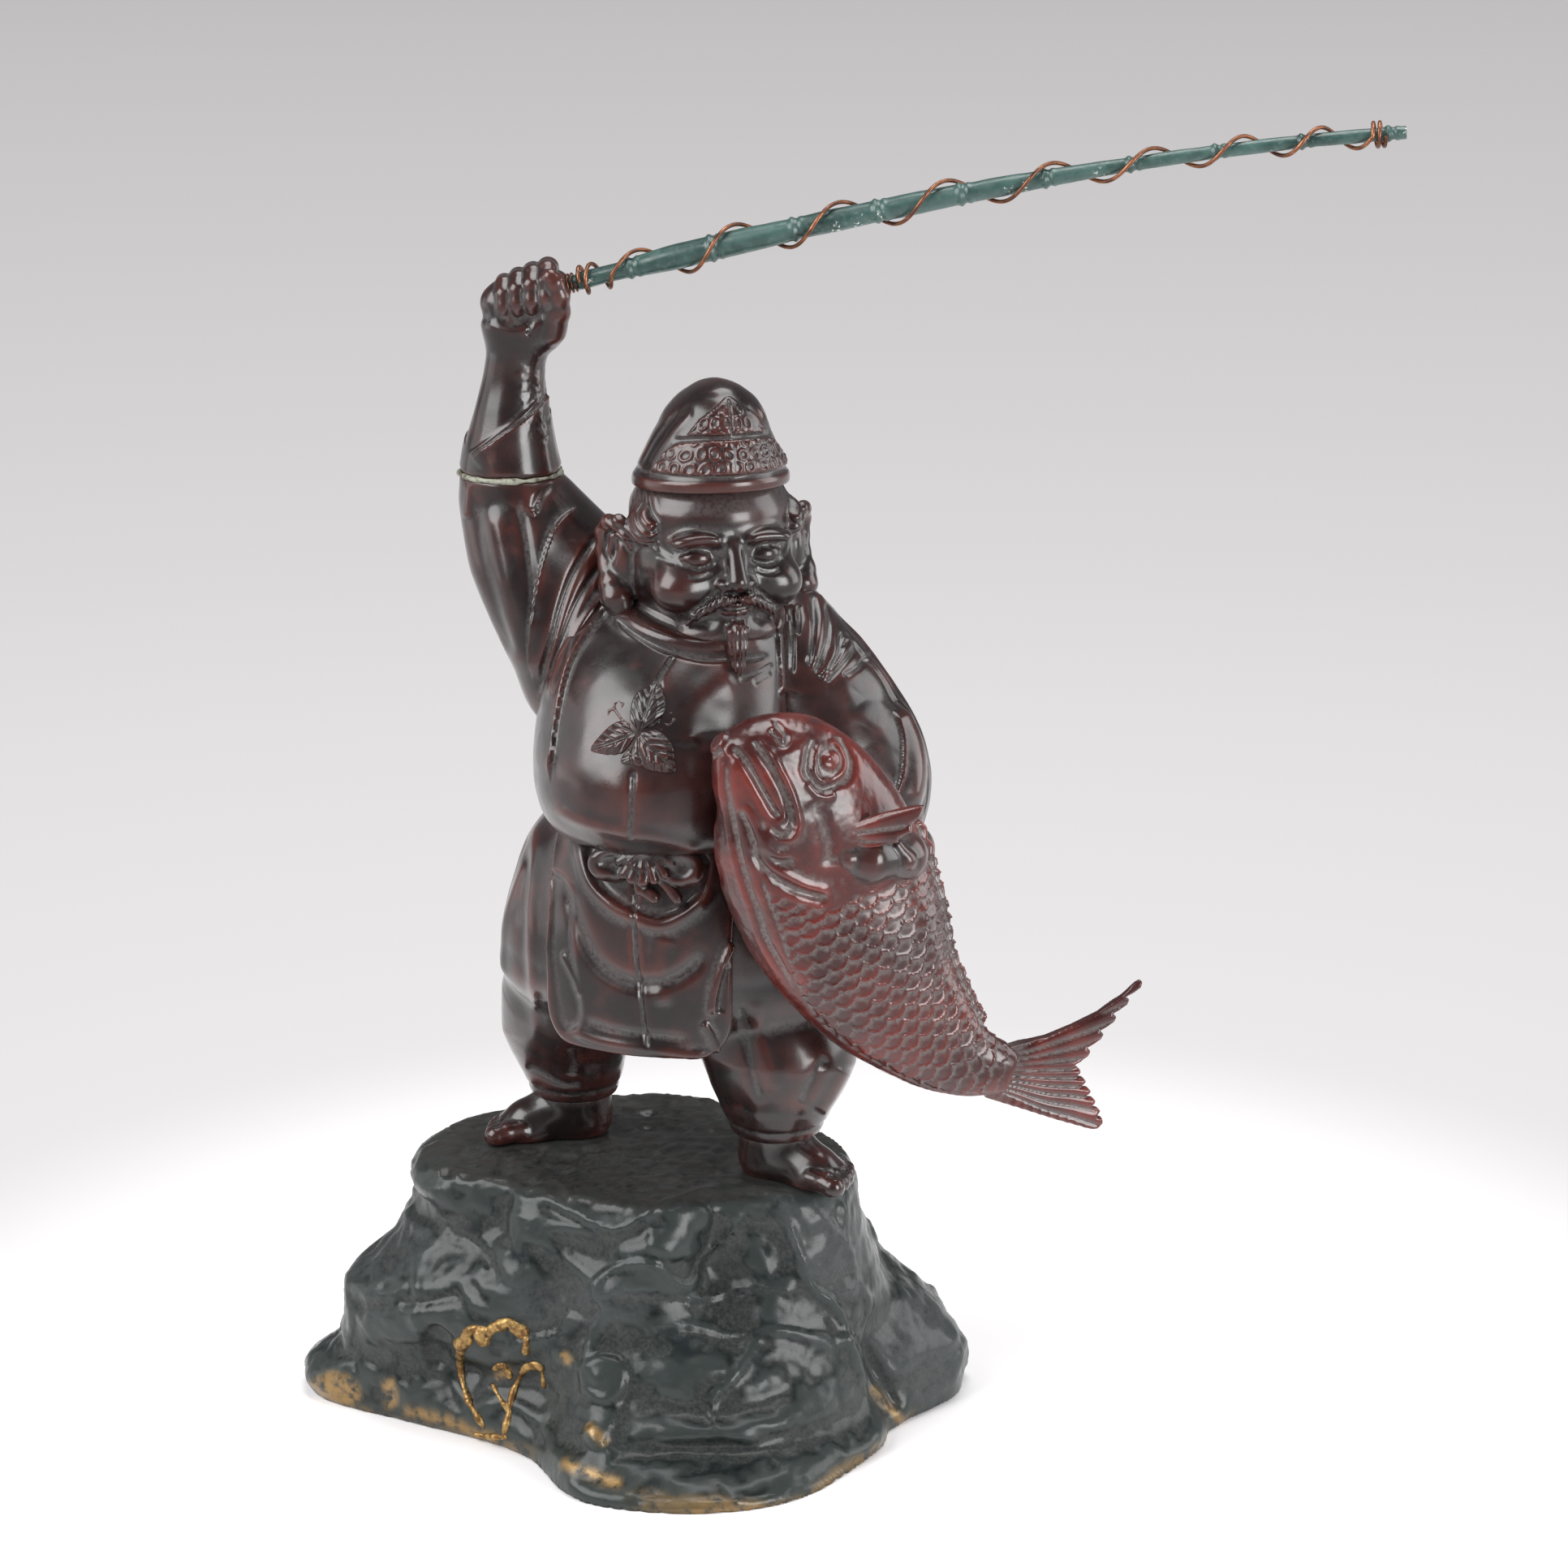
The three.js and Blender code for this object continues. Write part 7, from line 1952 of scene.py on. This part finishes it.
BEAD_STEPS, BEAD_RADII, BEAD_HEIGHT = 180, (12.3, -12.1), 239.15
bead_turns = np.linspace(0, 2 * math.pi, BEAD_STEPS)
bead_way = np.column_stack([np.sin(bead_turns), np.cos(bead_turns)]) * BEAD_RADII + ELBOW_AXIS
bead_way = np.column_stack([bead_way, np.full(BEAD_STEPS, BEAD_HEIGHT)])
bead = tube("solder_bead", bead_way, 0.6 + 0.4 * noise(bead_way, 2.6, 95))
place(bead, None, "figure", "fixings", SOLDER)
place(make_rod(), "fishing_rod", "rod", "painted_rod", GREEN)
place(tube("copper_line", line_points(), LINE_RADIUS), "fishing_line", "rod", "copper_wire", COPPER)
place(tube("copper_lashing", lashing_points(), LASHING_RADIUS), "grip_lashing", "lashing", "copper_wire", COPPER)
for node in ["fish_pin"] + [f"{side}_foot_{fixing}" for side in ("right", "left")
                            for fixing in ("stud", "washer", "nut")]:
    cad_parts[node].data.materials.clear()
    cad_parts[node].data.materials.append(BRASS)


# Floor, world, lamps and camera

# The floor's own light by the distance from the figure, in metres, darker farther out as a painted fall-off of light
PAINTED_FLOOR_FALLOFF = [(0.0, 0.985), (0.13, 0.98), (0.20, 0.91), (0.30, 0.845), (0.43, 0.815), (0.65, 0.775), (0.93, 0.715),
               (1.3, 0.665), (1.85, 0.615), (2.7, 0.565), (3.4, 0.53)]
TONE_REACH, TONE_TINT = 3.5, (1, 0.975, 0.985)
FLOOR_SIZE, FLOOR_COLOUR = 24, (0.93, 0.92, 0.925)
GLOW_FROM, GLOW_FULL = 0.13, 0.30


def make_floor():
    """A white floor that takes the shadow near the figure and turns into a grey glow farther out, the glow darkening
    with distance as a painted fall-off of light.
    """
    bpy.ops.mesh.primitive_plane_add(size=FLOOR_SIZE, location=(0, 0, 0))
    floor = bpy.context.object
    floor.name = "studio_floor"
    finish = Finish("studio_floor", roughness=0.9, specular=0.0)
    distance = finish.nodes.new("ShaderNodeVectorMath")
    distance.operation = "LENGTH"
    finish.links.new(finish.place, distance.inputs[0])
    # Painted fall-off of light: the glow darkens with the distance from the figure
    tones = finish.nodes.new("ShaderNodeValToRGB")
    finish.feed(finish.math("DIVIDE", distance.outputs["Value"], TONE_REACH), tones.inputs["Fac"])
    ramp = tones.color_ramp
    ramp.elements[0].position, ramp.elements[1].position = 0.0, PAINTED_FLOOR_FALLOFF[-1][0] / TONE_REACH
    for reach, tone in PAINTED_FLOOR_FALLOFF[1:-1]:
        ramp.elements.new(reach / TONE_REACH)
    for element, (reach, tone) in zip(ramp.elements, PAINTED_FLOOR_FALLOFF):
        element.color = (*(tone * tint for tint in TONE_TINT), 1)
    glow = finish.nodes.new("ShaderNodeEmission")
    finish.links.new(tones.outputs["Color"], glow.inputs["Color"])
    finish.colour(FLOOR_COLOUR)
    path = finish.nodes.new("ShaderNodeLightPath")
    seen = finish.math("MAXIMUM", path.outputs["Is Camera Ray"], path.outputs["Is Glossy Ray"])
    seen = finish.math("MAXIMUM", seen, path.outputs["Is Transmission Ray"])
    far = finish.spread(distance.outputs["Value"], GLOW_FROM, GLOW_FULL)
    blend = finish.nodes.new("ShaderNodeMixShader")
    finish.links.new(finish.times(seen, far), blend.inputs["Fac"])
    finish.links.new(finish.shader.outputs["BSDF"], blend.inputs[1])
    finish.links.new(glow.outputs["Emission"], blend.inputs[2])
    finish.links.new(blend.outputs["Shader"], finish.nodes["Material Output"].inputs["Surface"])
    floor.data.materials.append(finish.material)


WORLD_LIGHT, WORLD_SHOWN = (0.175, 0.167, 0.173, 1), (0.53, 0.515, 0.52, 1)


def make_world():
    """A plain world, one tone for what it lights and another behind the floor's far edge."""
    world = bpy.data.worlds.new("studio")
    bpy.context.scene.world = world
    world.use_nodes = True
    nodes, links = world.node_tree.nodes, world.node_tree.links
    path = nodes.new("ShaderNodeLightPath")
    shown = nodes.new("ShaderNodeMix")
    shown.data_type = "RGBA"
    shown.inputs[MIX_FIRST].default_value = WORLD_LIGHT
    shown.inputs[MIX_SECOND].default_value = WORLD_SHOWN
    links.new(path.outputs["Is Camera Ray"], shown.inputs["Factor"])
    links.new(shown.outputs[MIX_RESULT], nodes["Background"].inputs["Color"])
    nodes["Background"].inputs["Strength"].default_value = 1.0


def lamp(name, spot, aim, size, power, height=None):
    """A square lamp, or an upright one of that height, aimed at a point. In metres and watts."""
    data = bpy.data.lights.new(name, "AREA")
    data.shape = "RECTANGLE"
    data.size, data.size_y = size, height or size
    data.energy = power
    thing = bpy.data.objects.new(name, data)
    bpy.context.scene.collection.objects.link(thing)
    thing.location = spot
    thing.rotation_euler = (Vector(aim) - Vector(spot)).to_track_quat("-Z", "Y").to_euler()


def make_camera():
    data = bpy.data.cameras.new("camera")
    camera = bpy.data.objects.new("camera", data)
    bpy.context.scene.collection.objects.link(camera)
    data.sensor_width = SENSOR_WIDTH
    data.lens = SENSOR_WIDTH * FOCAL_PIXELS / PHOTO_SIZE
    camera.location = to_frame(CAMERA_PLACE)
    camera.rotation_euler = (math.radians(90) - CAMERA_TILT, 0, 0)
    bpy.context.scene.camera = camera


make_floor()
make_world()
lamp("key", (-0.95, -0.5, 0.85), (-0.02, 0, 0.12), 1.0, 19)
lamp("top", (0.15, 0.1, 1.3), (0, 0, 0.1), 0.8, 11)
lamp("left", (-1.0, 0.15, 0.25), (0, 0, 0.1), 0.6, 0.9, 0.5)
lamp("right", (1.0, 0.15, 0.45), (0, 0, 0.14), 0.6, 5, 0.8)
lamp("front", (0.82, -0.80, 0.36), (0.02, -0.05, 0.14), 0.5, 9, 0.6)
make_camera()
scene = bpy.context.scene
scene.view_settings.view_transform = "Standard"
